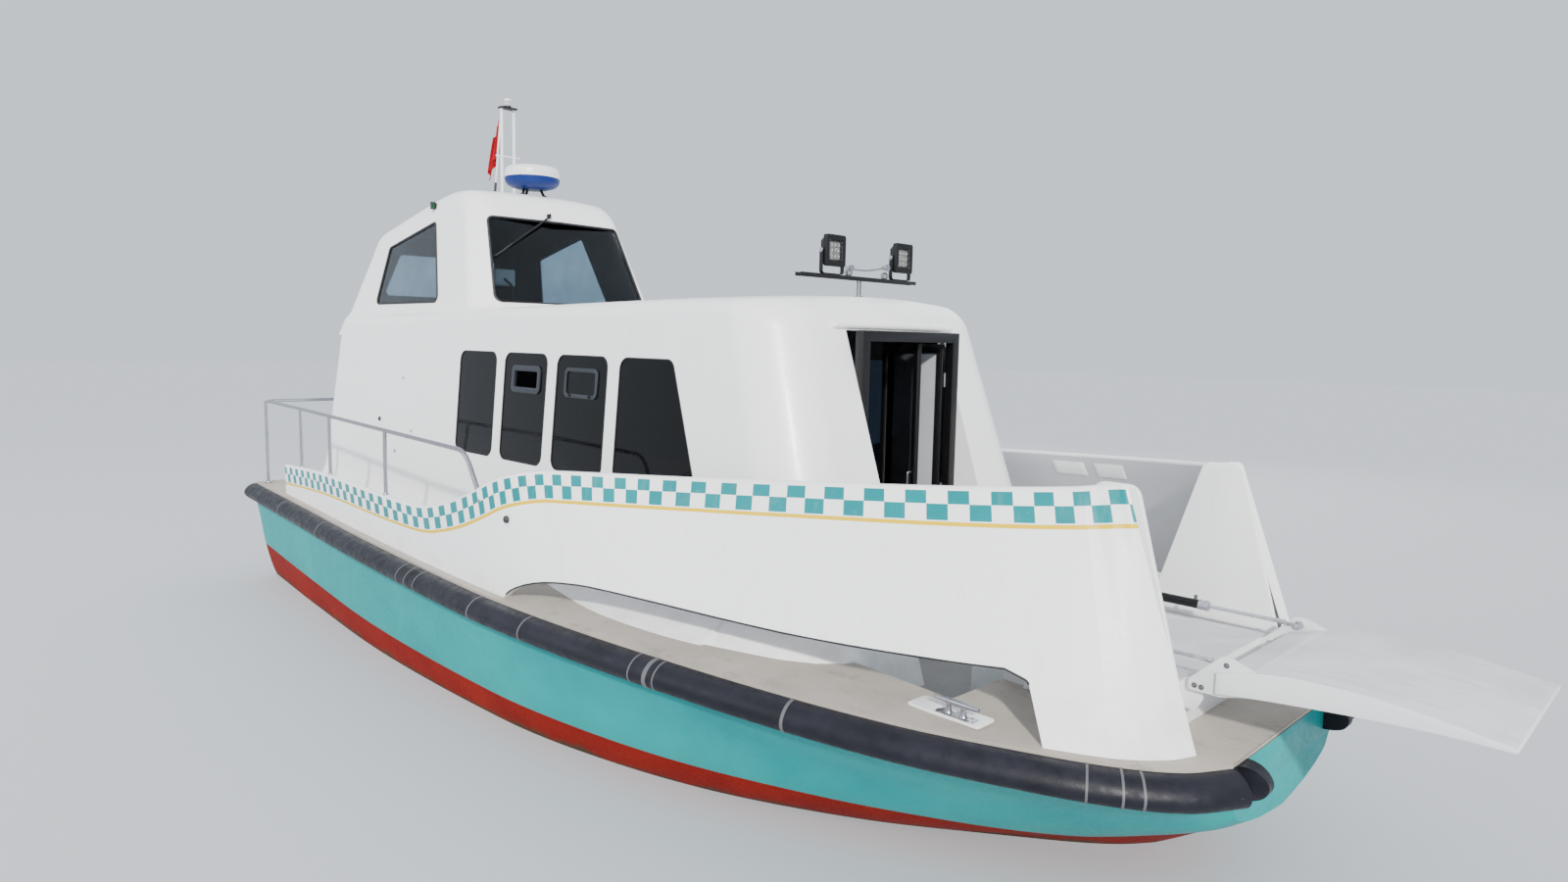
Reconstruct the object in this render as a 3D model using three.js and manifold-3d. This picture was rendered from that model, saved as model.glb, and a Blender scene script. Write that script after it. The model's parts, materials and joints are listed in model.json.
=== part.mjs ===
// Water taxi: a decked hull with high bulwarks, a long cabin with a wheelhouse on its after end, a folding
// cabin door and a hydraulic boarding ramp between two cheeks at the blunt bow.
// Millimetres, +X to the bow, +Y to port, +Z up. Places along the boat are counted from the transom, and
// the whole group is set back by half the hull, so that the origin lies amidships at the waterline.
import * as THREE from "three";
import { mergeVertices } from "three/addons/utils/BufferGeometryUtils.js";
import Module from "manifold-3d";

const wasm = await Module();
wasm.setup();

// Driving dimensions.
const HULL_LENGTH = 9130;
const SEAM = 0.3; // left between pieces that touch
const DECK_PLATE = 20;
const FENDER_BACK = 150; // height of the fender's flat back on the hull side
const SOLE = 620; // top of the cabin and foredeck sole
const WELL = { aft: 760, fore: 7980, half: 985 };
const BULWARK = { thickness: 45, aft: 860, fore: 9100, stands: 870, top: 2200 };
const WALL = 50; // cabin and wheelhouse shell
const RAKE = 0.333; // of the cabin front
const DOOR = { plane: 6920, half: 460, header: 2545, frame: 62, leaf: 30, fold: 6, open: 75 };
const RAMP = { hinge: 8880, height: 1020, half: 480, cheek: 460, plate: 12, up: 75, down: 10 };
const CYLINDER = { y: 441, aft: 8060, z: 1140, barrel: 24, bore: 11.4, rod: 11 };
const PLATFORM = { aft: 7990, fore: 8830, half: 570, top: 1030 };
const PROPELLER = { x: 760, z: -760, radius: 250, hub: 52 };
const RUDDER = { x: 330, boss: -440, top: -500, height: 520 };
const SHAFT_ANGLE = Math.atan2(200, 1090); // the propeller shaft climbs forward to the engine
const HELM = { x: 2500, y: -330, z: 2400, radius: 190, floor: 1550, tilt: 20 };

// The hull, from the transom to the bow. Half breadths and heights at the deck edge, the middle of the
// topside, the chine and the keel.
const STATIONS = [
  { x: 0, deck: 1680, sheer: 950, mid: 1610, midZ: 360, chine: 1460, chineZ: -120, keel: -400 },
  { x: 1500, deck: 1750, sheer: 930, mid: 1700, midZ: 320, chine: 1560, chineZ: -150, keel: -470 },
  { x: 3200, deck: 1840, sheer: 910, mid: 1785, midZ: 290, chine: 1620, chineZ: -180, keel: -530 },
  { x: 5000, deck: 1870, sheer: 880, mid: 1765, midZ: 260, chine: 1540, chineZ: -160, keel: -560 },
  { x: 5800, deck: 1820, sheer: 865, mid: 1680, midZ: 250, chine: 1410, chineZ: -130, keel: -560 },
  { x: 6600, deck: 1720, sheer: 850, mid: 1510, midZ: 240, chine: 1190, chineZ: -90, keel: -530 },
  { x: 7400, deck: 1570, sheer: 830, mid: 1230, midZ: 240, chine: 850, chineZ: -40, keel: -430 },
  { x: 8000, deck: 1400, sheer: 810, mid: 970, midZ: 260, chine: 560, chineZ: 30, keel: -260 },
  { x: 8450, deck: 1220, sheer: 800, mid: 790, midZ: 320, chine: 390, chineZ: 130, keel: -60 },
  { x: 8800, deck: 1040, sheer: 790, mid: 690, midZ: 400, chine: 330, chineZ: 270, keel: 160 },
  { x: 9020, deck: 850, sheer: 780, mid: 620, midZ: 470, chine: 310, chineZ: 380, keel: 320 },
  { x: 9130, deck: 650, sheer: 775, mid: 560, midZ: 530, chine: 300, chineZ: 455, keel: 420 },
];

const point = (x, y, z) => new THREE.Vector3(x, y, z);
const lerp = THREE.MathUtils.lerp;
const degrees = THREE.MathUtils.degToRad;

// A value of the station table between two stations, along a smooth curve.
function faired(key, x) {
  const last = STATIONS.length - 1;
  const i = Math.min(last - 1, Math.max(0, STATIONS.findIndex((row) => row.x > x) - 1));
  const k = x >= STATIONS[last].x ? last - 1 : i;
  const slope = (n) => {
    const a = STATIONS[Math.max(0, n - 1)];
    const b = STATIONS[Math.min(last, n + 1)];
    return (b[key] - a[key]) / (b.x - a.x);
  };
  const a = STATIONS[k];
  const b = STATIONS[k + 1];
  const span = b.x - a.x;
  const t = (x - a.x) / span;
  const t2 = t * t;
  const t3 = t2 * t;
  return (
    (2 * t3 - 3 * t2 + 1) * a[key] +
    (t3 - 2 * t2 + t) * span * slope(k) +
    (3 * t2 - 2 * t3) * b[key] +
    (t3 - t2) * span * slope(k + 1)
  );
}

// Places of the ribs that every long surface shares, closer together where the bow turns in.
const RIBS = [
  0, 750, 1500, 2350, 3200, 4100, 5000, 5400, 5800, 6200, 6600, 7000, 7400, 7700, 8000, 8230, 8450, 8630,
  8800, 8920, 9020, 9085, 9130,
];

function solidOf(geometry) {
  const bare = new THREE.BufferGeometry();
  bare.setAttribute("position", geometry.getAttribute("position"));
  bare.setIndex(geometry.index);
  const merged = mergeVertices(bare, 1e-3);
  const mesh = new wasm.Mesh({
    numProp: 3,
    vertProperties: merged.attributes.position.array,
    triVerts: new Uint32Array(merged.index.array),
  });
  return new wasm.Manifold(mesh);
}

function geometryOf(solid) {
  const mesh = solid.getMesh();
  const geometry = new THREE.BufferGeometry();
  geometry.setAttribute("position", new THREE.BufferAttribute(mesh.vertProperties, mesh.numProp));
  geometry.setIndex(new THREE.BufferAttribute(mesh.triVerts, 1));
  geometry.computeVertexNormals();
  return geometry;
}

// Signed area of a flat outline, by the two axes named.
function areaOf(outline, u, v) {
  return outline.reduce((sum, a, i) => {
    const b = outline[(i + 1) % outline.length];
    return sum + (a[u] * b[v] - b[u] * a[v]) / 2;
  }, 0);
}

// A closed body through rings of like point count, with a flat face on its first and last ring.
function loft(rings) {
  const count = rings[0].length;
  const positions = rings.flat().flatMap((p) => [p.x, p.y, p.z]);
  const faces = [];
  for (let r = 0; r < rings.length - 1; r++)
    for (let k = 0; k < count; k++) {
      const a = r * count + k;
      const b = r * count + ((k + 1) % count);
      faces.push(a, b, a + count, b, b + count, a + count);
    }
  const cap = (ring, first, flip) => {
    const axes = [
      ["x", "y"],
      ["y", "z"],
      ["z", "x"],
    ].sort((m, n) => Math.abs(areaOf(ring, ...n)) - Math.abs(areaOf(ring, ...m)))[0];
    const flat = ring.map((p) => new THREE.Vector2(p[axes[0]], p[axes[1]]));
    const turn = Math.sign(areaOf(ring, ...axes));
    for (const [a, b, c] of THREE.ShapeUtils.triangulateShape(flat, [])) {
      const same = Math.sign(areaOf([flat[a], flat[b], flat[c]], "x", "y")) === turn;
      if (same === flip) faces.push(first + a, first + c, first + b);
      else faces.push(first + a, first + b, first + c);
    }
  };
  cap(rings[0], 0, true);
  cap(rings[rings.length - 1], (rings.length - 1) * count, false);
  const geometry = new THREE.BufferGeometry();
  geometry.setAttribute("position", new THREE.Float32BufferAttribute(positions, 3));
  if (volumeOf(positions, faces) < 0)
    for (let i = 0; i < faces.length; i += 3) [faces[i], faces[i + 1]] = [faces[i + 1], faces[i]];
  geometry.setIndex(faces);
  return solidOf(geometry);
}

function volumeOf(positions, faces) {
  const corner = (i) => point(...positions.slice(3 * i, 3 * i + 3));
  let sum = 0;
  for (let i = 0; i < faces.length; i += 3)
    sum += corner(faces[i]).dot(corner(faces[i + 1]).cross(corner(faces[i + 2]))) / 6;
  return sum;
}

function block([x0, x1], [y0, y1], [z0, z1]) {
  const box = new THREE.BoxGeometry(x1 - x0, y1 - y0, z1 - z0);
  return solidOf(box.translate((x0 + x1) / 2, (y0 + y1) / 2, (z0 + z1) / 2));
}

function rod(from, to, radius, sides = 12) {
  const along = to.clone().sub(from);
  const bar = new THREE.CylinderGeometry(radius, radius, along.length(), sides);
  const turn = new THREE.Quaternion().setFromUnitVectors(point(0, 1, 0), along.clone().normalize());
  const middle = from.clone().lerp(to, 0.5);
  return solidOf(bar.applyQuaternion(turn).translate(middle.x, middle.y, middle.z));
}

function ball(centre, radius, across = 12) {
  const round = new THREE.SphereGeometry(radius, across, across / 2);
  return solidOf(round.translate(centre.x, centre.y, centre.z));
}

// Straight tubes from point to point with a round elbow at each bend.
function pipe(points, radius, sides = 10) {
  const runs = points.slice(1).map((p, i) => rod(points[i], p, radius, sides));
  const elbows = points.slice(1, -1).map((p) => ball(p, radius * 1.02, sides));
  return joined([...runs, ...elbows]);
}

const joined = (solids) => solids.reduce((all, solid) => all.add(solid));
const without = (solid, ...cutters) => cutters.reduce((left, cutter) => left.subtract(cutter), solid);

// An outline's corners turned into arcs, each row being [u, v, radius].
function rounded(rows, steps = 4) {
  return rows.flatMap(([u, v, radius = 0], i) => {
    const here = new THREE.Vector2(u, v);
    if (!radius) return [here];
    const toward = (row) => new THREE.Vector2(row[0], row[1]).sub(here).normalize();
    const before = toward(rows[(i + rows.length - 1) % rows.length]);
    const after = toward(rows[(i + 1) % rows.length]);
    const half = Math.acos(THREE.MathUtils.clamp(before.dot(after), -1, 1)) / 2;
    const start = here.clone().addScaledVector(before, radius / Math.tan(half));
    const end = here.clone().addScaledVector(after, radius / Math.tan(half));
    const bisector = before.clone().add(after).normalize();
    const centre = here.clone().addScaledVector(bisector, radius / Math.sin(half));
    const from = start.clone().sub(centre).angle();
    let sweep = end.clone().sub(centre).angle() - from;
    if (sweep > Math.PI) sweep -= 2 * Math.PI;
    if (sweep < -Math.PI) sweep += 2 * Math.PI;
    return Array.from({ length: steps + 1 }, (_, k) => {
      const angle = from + (sweep * k) / steps;
      return new THREE.Vector2(Math.cos(angle), Math.sin(angle)).multiplyScalar(radius).add(centre);
    });
  });
}

// An outline of x and z, given thickness across the boat.
function sidePlate(outline, [y0, y1]) {
  return loft([y0, y1].map((y) => outline.map((p) => point(p.x, y, p.y))));
}

// An outline of x and y, given height.
function flatPlate(outline, [z0, z1]) {
  return loft([z0, z1].map((z) => outline.map((p) => point(p.x, p.y, z))));
}

// An outline of y and z, given length along the boat.
function crossPlate(outline, [x0, x1]) {
  return loft([x0, x1].map((x) => outline.map((p) => point(x, p.x, p.y))));
}

// The same solid on the other side of the boat's middle plane.
function mirrored(solid) {
  const geometry = geometryOf(solid);
  const places = geometry.attributes.position;
  for (let i = 0; i < places.count; i++) places.setY(i, -places.getY(i));
  const faces = geometry.index.array;
  for (let i = 0; i < faces.length; i += 3) [faces[i], faces[i + 1]] = [faces[i + 1], faces[i]];
  return solidOf(geometry);
}

const FINISH = {
  gelcoat: { color: 0xf3f3f3, roughness: 0.25, metalness: 0 },
  topside: { color: 0x42b5b0, roughness: 0.3, metalness: 0 },
  bottom: { color: 0xb0301c, roughness: 0.6, metalness: 0 },
  rubber: { color: 0x1c1c20, roughness: 0.6, metalness: 0 },
  deck: { color: 0xa79c8e, roughness: 0.85, metalness: 0 },
  glass: { color: 0x10181f, roughness: 0.05, metalness: 0 },
  steel: { color: 0xc4c6c8, roughness: 0.25, metalness: 1 },
  black: { color: 0x18181a, roughness: 0.5, metalness: 0.2 },
  bronze: { color: 0xa97a3c, roughness: 0.4, metalness: 1 },
  cushion: { color: 0x24406a, roughness: 0.7, metalness: 0 },
  lining: { color: 0xb9b6ae, roughness: 0.7, metalness: 0 },
  cloth: { color: 0xd0161e, roughness: 0.8, metalness: 0 },
  engine: { color: 0x5c6a70, roughness: 0.6, metalness: 0.4 },
};

const boat = new THREE.Group();
boat.position.x = -HULL_LENGTH / 2;

function part(name, solid, finish, parent = boat) {
  const mesh = new THREE.Mesh(geometryOf(solid), new THREE.MeshStandardMaterial(FINISH[finish]));
  mesh.name = name;
  parent.add(mesh);
}

// Both hands of a piece that is drawn on the starboard side.
function pair(name, solid, finish) {
  part(name + "_starboard", solid, finish);
  part(name + "_port", mirrored(solid), finish);
}

// The hull's ring at one rib: deck edge, fender seat, topside, chine, bottom and keel, then to port.
function hullRing(x) {
  const at = (key) => faired(key, x);
  const deck = at("deck");
  const sheer = at("sheer");
  const seat = sheer - FENDER_BACK;
  const half = [
    [deck, sheer],
    [deck, seat],
    [lerp(deck, at("mid"), 0.55), lerp(seat, at("midZ"), 0.5)],
    [at("mid"), at("midZ")],
    [lerp(at("mid"), at("chine"), 0.42), lerp(at("midZ"), at("chineZ"), 0.55)],
    [at("chine"), at("chineZ")],
    [at("chine") * 0.5, lerp(at("chineZ"), at("keel"), 0.56)],
  ];
  const starboard = half.map(([y, z]) => point(x, -y, z));
  const port = half.map(([y, z]) => point(x, y, z)).reverse();
  return [...starboard, point(x, 0, at("keel")), ...port];
}

// Everything below the deck plate's upper face, raised by a given gap.
function belowDeck(gap) {
  const reach = 2400;
  const low = -1500;
  const ring = (x, rib) => {
    const z = faired("sheer", rib) + DECK_PLATE + gap;
    return [point(x, -reach, z), point(x, reach, z), point(x, reach, low), point(x, -reach, low)];
  };
  const ends = [ring(-400, 0), ring(HULL_LENGTH + 500, HULL_LENGTH)];
  return loft([ends[0], ...RIBS.map((x) => ring(x, x)), ends[1]]);
}

// The paint line between bottom and topside falls a little from the transom to midships.
const PAINT_LINE = [
  [-200, 340],
  [1500, 285],
  [3500, 235],
  [6000, 215],
  [9600, 205],
];

function makeHull() {
  const bow = new THREE.Vector2(9600, -2000);
  const stern = new THREE.Vector2(-200, -2000);
  const line = (gap) => PAINT_LINE.map(([x, z]) => new THREE.Vector2(x, z + gap));
  const under = (gap) => sidePlate([...line(gap), bow, stern], [-2500, 2500]);
  const hull = loft(RIBS.map(hullRing));
  const skeg = sidePlate(
    rounded([[1150, -380], [1150, -640], [2200, -780, 300], [5000, -780, 500], [6300, -480]]),
    [-45, 45],
  );
  const up = (x) => PROPELLER.z + (x - PROPELLER.x) * Math.tan(SHAFT_ANGLE);
  const shaftLine = (from, to, radius) => rod(point(from, 0, up(from)), point(to, 0, up(to)), radius);
  const sternTube = shaftLine(PROPELLER.x + 90, 2400, 46);
  const bore = shaftLine(PROPELLER.x, PROPELLER.x + 300, 24);
  const well = block([WELL.aft, WELL.fore], [-WELL.half, WELL.half], [SOLE - DECK_PLATE, 1400]);
  const engineBay = block([1000, 2400], [-430, 430], [370, 800]);
  const rudderBoss = rod(point(RUDDER.x, 0, -300), point(RUDDER.x, 0, RUDDER.boss), 42, 16);
  const bottom = joined([hull.intersect(under(0)), skeg, sternTube, rudderBoss]).subtract(bore);
  part("hull_bottom", bottom, "bottom");
  part("hull_topsides", without(hull, under(SEAM), well, engineBay), "topside");
}

function makeDeck() {
  const ring = (x) => {
    const half = faired("deck", x) - 6;
    const low = faired("sheer", x) + SEAM;
    const high = low + DECK_PLATE - SEAM;
    return [point(x, -half, low), point(x, half, low), point(x, half, high), point(x, -half, high)];
  };
  const plate = loft(RIBS.map((x, i) => ring(i === 0 ? 4 : i === RIBS.length - 1 ? x - 4 : x)));
  const well = block([WELL.aft, WELL.fore], [-WELL.half, WELL.half], [500, 1400]);
  part("side_deck", plate.subtract(well), "deck");
  const sole = block(
    [WELL.aft + 1, WELL.fore - 1],
    [1 - WELL.half, WELL.half - 1],
    [SOLE - DECK_PLATE + SEAM, SOLE],
  );
  part("cabin_sole", sole.subtract(block([990, 2410], [-440, 440], [500, 700])), "lining");
}

// The deck edge in plan as seen from above, starboard side from the stern forward, moved inboard.
function edgeCurve(inset, ribs) {
  const raw = ribs.map((x) => new THREE.Vector2(x, -faired("deck", x)));
  return raw.map((p, i) => {
    const a = raw[Math.max(0, i - 1)];
    const b = raw[Math.min(raw.length - 1, i + 1)];
    const along = b.clone().sub(a).normalize();
    const corner = i === 0 ? new THREE.Vector2(0, 1) : new THREE.Vector2(-along.y, along.x);
    const depth = typeof inset === "function" ? inset(ribs[i]) : inset;
    return { x: p.x + corner.x * depth, y: p.y + corner.y * depth, outward: corner.negate() };
  });
}

// The rubber fender: a D section with its flat back on the hull, round the transom and both sides.
function makeFender() {
  const bulge = [
    [0, 66],
    [48, 60],
    [92, 40],
    [112, 0],
    [92, -40],
    [48, -60],
    [0, -66],
  ];
  const section = (x, y, z, out) =>
    bulge.map(([off, up]) => point(x + out.x * (off + SEAM), y + out.y * (off + SEAM), z + up));
  const side = edgeCurve(0, RIBS.slice(1)).map((p) =>
    section(p.x, p.y, faired("sheer", p.x) - FENDER_BACK / 2, p.outward),
  );
  const z0 = faired("sheer", 0) - FENDER_BACK / 2;
  const corner = section(0, -faired("deck", 0), z0, new THREE.Vector2(-1, -1));
  const centre = section(0, 0, z0, new THREE.Vector2(-1, 0));
  const tip = side[side.length - 1].map((p, i) => {
    const [off, up] = bulge[i];
    return point(HULL_LENGTH + 2 + off, p.y + 40 + 0 * up, p.z);
  });
  const noseEnd = tip.map((p, i) => point(HULL_LENGTH + 1 + bulge[i][0], -500, p.z));
  const starboard = loft([centre, corner, ...side, tip, noseEnd]);
  part("fender", starboard.add(mirrored(starboard)), "rubber");
}

// The upper edge of the bulwark as x and z: low round the stern, then swept up abreast of the cabin.
const BULWARK_TOP = [
  [700, 1226],
  [2100, 1288],
  [3500, 1290],
  [4070, 1303],
  [4360, 1349],
  [4640, 1421],
  [4900, 1513],
  [5160, 1615],
  [5440, 1679],
  [5720, 1701],
  [6500, 1733],
  [7200, 1777],
  [8000, 1828],
  [8400, 1858],
  [8650, 1890],
];

// How far the bulwark's foot stands in from the deck edge, and how far the wall leans inboard and rakes aft
// for each metre of its height, by the rib at its foot.
const BULWARK_SET = [
  { x: 0, inset: 60, lean: 0, rake: 0.3 },
  { x: 5100, inset: 60, lean: 0, rake: 0.3 },
  { x: 5800, inset: 60, lean: 0.1, rake: 0.3 },
  { x: 6600, inset: 60, lean: 0.3, rake: 0.3 },
  { x: 7000, inset: 60, lean: 0.35, rake: 0.3 },
  { x: 7700, inset: 60, lean: 0.35, rake: 0.3 },
  { x: 8450, inset: 60, lean: 0.3, rake: 0.3 },
  { x: 8800, inset: 60, lean: 0.26, rake: 0.32 },
  { x: 8920, inset: 70, lean: 0.2, rake: 0.335 },
  { x: 9020, inset: 100, lean: 0.12, rake: 0.345 },
  { x: 9085, inset: 130, lean: 0.03, rake: 0.35 },
];

function bulwarkSet(x) {
  const k = Math.max(1, BULWARK_SET.findIndex((row) => row.x >= x));
  const [a, b] = [BULWARK_SET[k - 1], BULWARK_SET[k]];
  const t = (x - a.x) / (b.x - a.x);
  return {
    inset: lerp(a.inset, b.inset, t),
    lean: lerp(a.lean, b.lean, t),
    rake: lerp(a.rake, b.rake, t),
  };
}

// The long scupper cut in the foot of the bulwark, over the side deck.
const SCUPPER = [
  [5230, 860],
  [5330, 950],
  [5560, 1035],
  [5850, 1080],
  [6200, 1092],
  [7300, 1080],
  [8330, 1095],
  [8430, 1060],
  [8560, 780],
  [8560, 700],
  [5230, 700],
];

function makeBulwark() {
  const ribs = RIBS.filter((x) => x > 500 && x < BULWARK.fore);
  const outer = edgeCurve((x) => bulwarkSet(x).inset, ribs);
  const inner = edgeCurve((x) => bulwarkSet(x).inset + BULWARK.thickness, ribs);
  const rings = outer.map((p, i) => {
    const { lean, rake } = bulwarkSet(ribs[i]);
    const at = (q, z) => {
      const up = z - BULWARK.stands;
      return point(q.x - rake * up, q.y + lean * up, z);
    };
    return [at(p, 500), at(inner[i], 500), at(inner[i], BULWARK.top), at(p, BULWARK.top)];
  });
  const shell = loft(rings);
  const across = [-2400, -200];
  const scupper = sidePlate(SCUPPER.map(([x, z]) => new THREE.Vector2(x, z)), across);
  const stern = block([-200, BULWARK.aft], [-2400, 0], [0, 2600]);
  pair("bulwark", without(shell, bulwarkSky(0), scupper, stern, belowDeck(SEAM)), "gelcoat");
}

// The air over the starboard bulwark, raised by a given gap.
function bulwarkSky(gap) {
  const edge = [...BULWARK_TOP, [9500, 1945]].map(([x, z]) => [x, z + gap]);
  const sky = [...edge, [9500, 5000], [0, 5000], [0, 1226 + gap]];
  return sidePlate(sky.map(([x, z]) => new THREE.Vector2(x, z)), [-2400, -200]);
}

// A triangular cheek stands inboard of each bulwark's forward end, beside the ramp.
function makeCheeks() {
  const outline = rounded([[8080, 700], [8960, 700], [8640, 1880, 60], [8440, 1880, 60]]);
  const plate = sidePlate(outline, [-604, -580]);
  pair("bow_cheek", without(plate, belowDeck(SEAM)), "gelcoat");
}

function makePlatform() {
  const body = block([PLATFORM.aft, PLATFORM.fore], [-PLATFORM.half, PLATFORM.half], [600, PLATFORM.top]);
  const step = block([PLATFORM.aft - 290, PLATFORM.aft - 12], [-420, 420], [SOLE + SEAM, 830]);
  const eyeTop = RAMP.height + 26;
  const eyes = [-1, 1].map((side) => {
    const outline = rounded([
      [PLATFORM.fore - 20, 900],
      [RAMP.hinge, 900],
      [RAMP.hinge + 28, 950, 20],
      [RAMP.hinge + 28, eyeTop, 24],
      [RAMP.hinge - 26, eyeTop, 16],
      [PLATFORM.fore - 20, eyeTop - 20],
    ]);
    const y = side * 434;
    const hole = rod(point(RAMP.hinge, y - 20, RAMP.height), point(RAMP.hinge, y + 20, RAMP.height), 13);
    return sidePlate(outline, [y - 8, y + 8]).subtract(hole);
  });
  const feet = [-1, 1].map((side) => {
    const outline = rounded([
      [CYLINDER.aft - 45, PLATFORM.top - 10],
      [CYLINDER.aft + 45, PLATFORM.top - 10],
      [CYLINDER.aft + 22, CYLINDER.z + 24, 20],
      [CYLINDER.aft - 22, CYLINDER.z + 24, 20],
    ]);
    const y = side * (CYLINDER.y + 32);
    const pinEnd = side * (CYLINDER.y + 10 + SEAM);
    const pin = rod(point(CYLINDER.aft, y, CYLINDER.z), point(CYLINDER.aft, pinEnd, CYLINDER.z), 9);
    return sidePlate(outline, [y - 5, y + 5]).add(pin);
  });
  const platform = without(joined([body, ...eyes, ...feet]), belowDeck(SEAM));
  part("bow_platform", platform, "gelcoat");
  part("bow_step", step, "gelcoat");
}

// The ramp, drawn from its hinge pins, with a lug on each side for the cylinder rods.
function makeRamp() {
  const tree = new THREE.Group();
  tree.position.set(RAMP.hinge, 0, RAMP.height);
  boat.add(tree);
  const top = [
    [95, 82],
    [320, 132],
    [560, 143],
    [820, 128],
    [1130, 82],
  ];
  const bottom = [
    [1130, 64],
    [920, 64],
    [640, 48],
    [310, 18],
    [95, -10],
  ];
  const outline = [...top, ...bottom].map(([x, z]) => new THREE.Vector2(x, z));
  const slots = [-1, 1].map((side) => {
    const y = side * CYLINDER.y;
    return block([60, 165], [y - 16.5, y + 12], [-200, 300]);
  });
  const plate = without(sidePlate(outline, [-RAMP.half, RAMP.half]), ...slots);
  const cheek = rounded([
    [-26, -24, 18],
    [110, -24],
    [250, 10],
    [250, 118],
    [158, 152, 16],
    [104, 152, 22],
    [-26, 24, 18],
  ]);
  const sides = [-1, 1].map((side) => {
    const y = side * RAMP.cheek;
    const plateY = [y - RAMP.plate / 2, y + RAMP.plate / 2];
    const pin = rod(point(0, y, 0), point(0, side * 422, 0), 10);
    const washer = rod(point(0, y, 0), point(0, side * (442 + SEAM), 0), 20);
    const stub = rod(point(130, y, 120), point(130, side * (CYLINDER.y + 8 + SEAM), 120), 9);
    return joined([sidePlate(cheek, plateY), pin, washer, stub]);
  });
  part("ramp", joined([plate, ...sides]), "gelcoat", tree);
}

// One cylinder each side: barrel on the platform, rod to the ramp's lug.
function makeCylinders() {
  const lug = RAMP.hinge + 130;
  const mouth = 8560;
  for (const [hand, side] of [["starboard", -1], ["port", 1]]) {
    const y = side * CYLINDER.y;
    const z = CYLINDER.z;
    const eye = rod(point(CYLINDER.aft, y - 10, z), point(CYLINDER.aft, y + 10, z), 22);
    const tube = rod(point(CYLINDER.aft + 14, y, z), point(mouth, y, z), CYLINDER.barrel, 16);
    const gland = rod(point(mouth - 40, y, z), point(mouth + 12, y, z), CYLINDER.barrel + 4, 8);
    const bore = rod(point(CYLINDER.aft + 28, y, z), point(mouth + 30, y, z), CYLINDER.bore, 12);
    part("ramp_barrel_" + hand, without(joined([eye, tube, gland]), bore), "black");
    const piston = rod(point(mouth - 230, y, z), point(lug - 14, y, z), CYLINDER.rod, 12);
    const rodEye = rod(point(lug, y - 8, z), point(lug, y + 8, z), 20);
    part("ramp_rod_" + hand, piston.add(rodEye), "steel");
  }
}

// A house built of a loft of cross sections trimmed to a raked plan with round corners.
// Section rows are x and the height of the roof edge there. The wall leans in by one value per height.
function house(spec, inset, floor) {
  const section = (x, roof) => {
    const wall = (z) => spec.half - spec.lean * (z - spec.from) - inset;
    const top = roof - inset;
    const r = spec.edge;
    const half = [[wall(floor), floor]];
    for (let k = 0; k <= 4; k++) {
      const angle = degrees(22.5 * k);
      const y = wall(top - r) - r + r * Math.cos(angle);
      half.push([y, top - r + r * Math.sin(angle)]);
    }
    half.push([wall(top) * 0.5, top + spec.camber * 0.72]);
    const starboard = half.map(([y, z]) => point(x, -y, z));
    const port = half.map(([y, z]) => point(x, y, z)).reverse();
    return [...starboard, point(x, 0, top + spec.camber), ...port];
  };
  const body = loft(spec.roof.map(([x, roof]) => section(x, roof)));
  const plan = (z) => {
    const aft = spec.aft + spec.aftRake * (z - spec.from) + inset;
    const fore = spec.fore - spec.foreRake * (z - spec.from) - inset;
    const wall = spec.half - spec.lean * (z - spec.from) - inset;
    const outline = rounded(
      [
        [aft, -wall, Math.max(20, spec.aftCorner - inset)],
        [fore - spec.bow, -wall, Math.max(20, spec.foreCorner - inset)],
        [fore, 0, 0],
        [fore - spec.bow, wall, Math.max(20, spec.foreCorner - inset)],
        [aft, wall, Math.max(20, spec.aftCorner - inset)],
      ],
      6,
    );
    return outline.map((p) => point(p.x, p.y, z));
  };
  return body.intersect(loft([plan(floor), plan(spec.over)]));
}

const CABIN = {
  half: 1157,
  lean: 0.087,
  from: 1000,
  aft: 290,
  aftRake: 0.155,
  aftCorner: 120,
  fore: 7330,
  foreRake: RAKE,
  foreCorner: 330,
  bow: 70,
  edge: 75,
  camber: 55,
  over: 3000,
  roof: [
    [0, 2610],
    [1500, 2640],
    [3500, 2675],
    [5600, 2705],
    [6500, 2700],
    [6750, 2670],
    [7600, 2500],
  ],
};

const WHEELHOUSE = {
  half: 905,
  lean: 0.19,
  from: 2700,
  aft: 470,
  aftRake: 0.6,
  aftCorner: 90,
  fore: 3270,
  foreRake: 0.42,
  foreCorner: 210,
  bow: 60,
  edge: 90,
  camber: 35,
  over: 4100,
  roof: [
    [200, 3290],
    [900, 3430],
    [1600, 3580],
    [2150, 3690],
    [2450, 3712],
    [2680, 3680],
    [2900, 3590],
    [3600, 3200],
  ],
};

const windowOutline = (rows) => rounded(rows, 4);

// Side windows, from aft forward: left and right edge at the head, and at the sill.
const SIDE_WINDOWS = [
  { headAft: 3190, headFore: 3780, sillAft: 3195, sillFore: 3790 },
  { headAft: 3910, headFore: 4510, sillAft: 3915, sillFore: 4510 },
  { headAft: 4640, headFore: 5250, sillAft: 4640, sillFore: 5260 },
  { headAft: 5385, headFore: 5925, sillAft: 5390, sillFore: 6240 },
];
const SIDE_HEAD = 2350;
const SIDE_SILL = 1560;
const WHEELHOUSE_SIDE = [[1150, 2750], [2470, 2750], [2170, 3460], [1260, 3280]];

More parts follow.
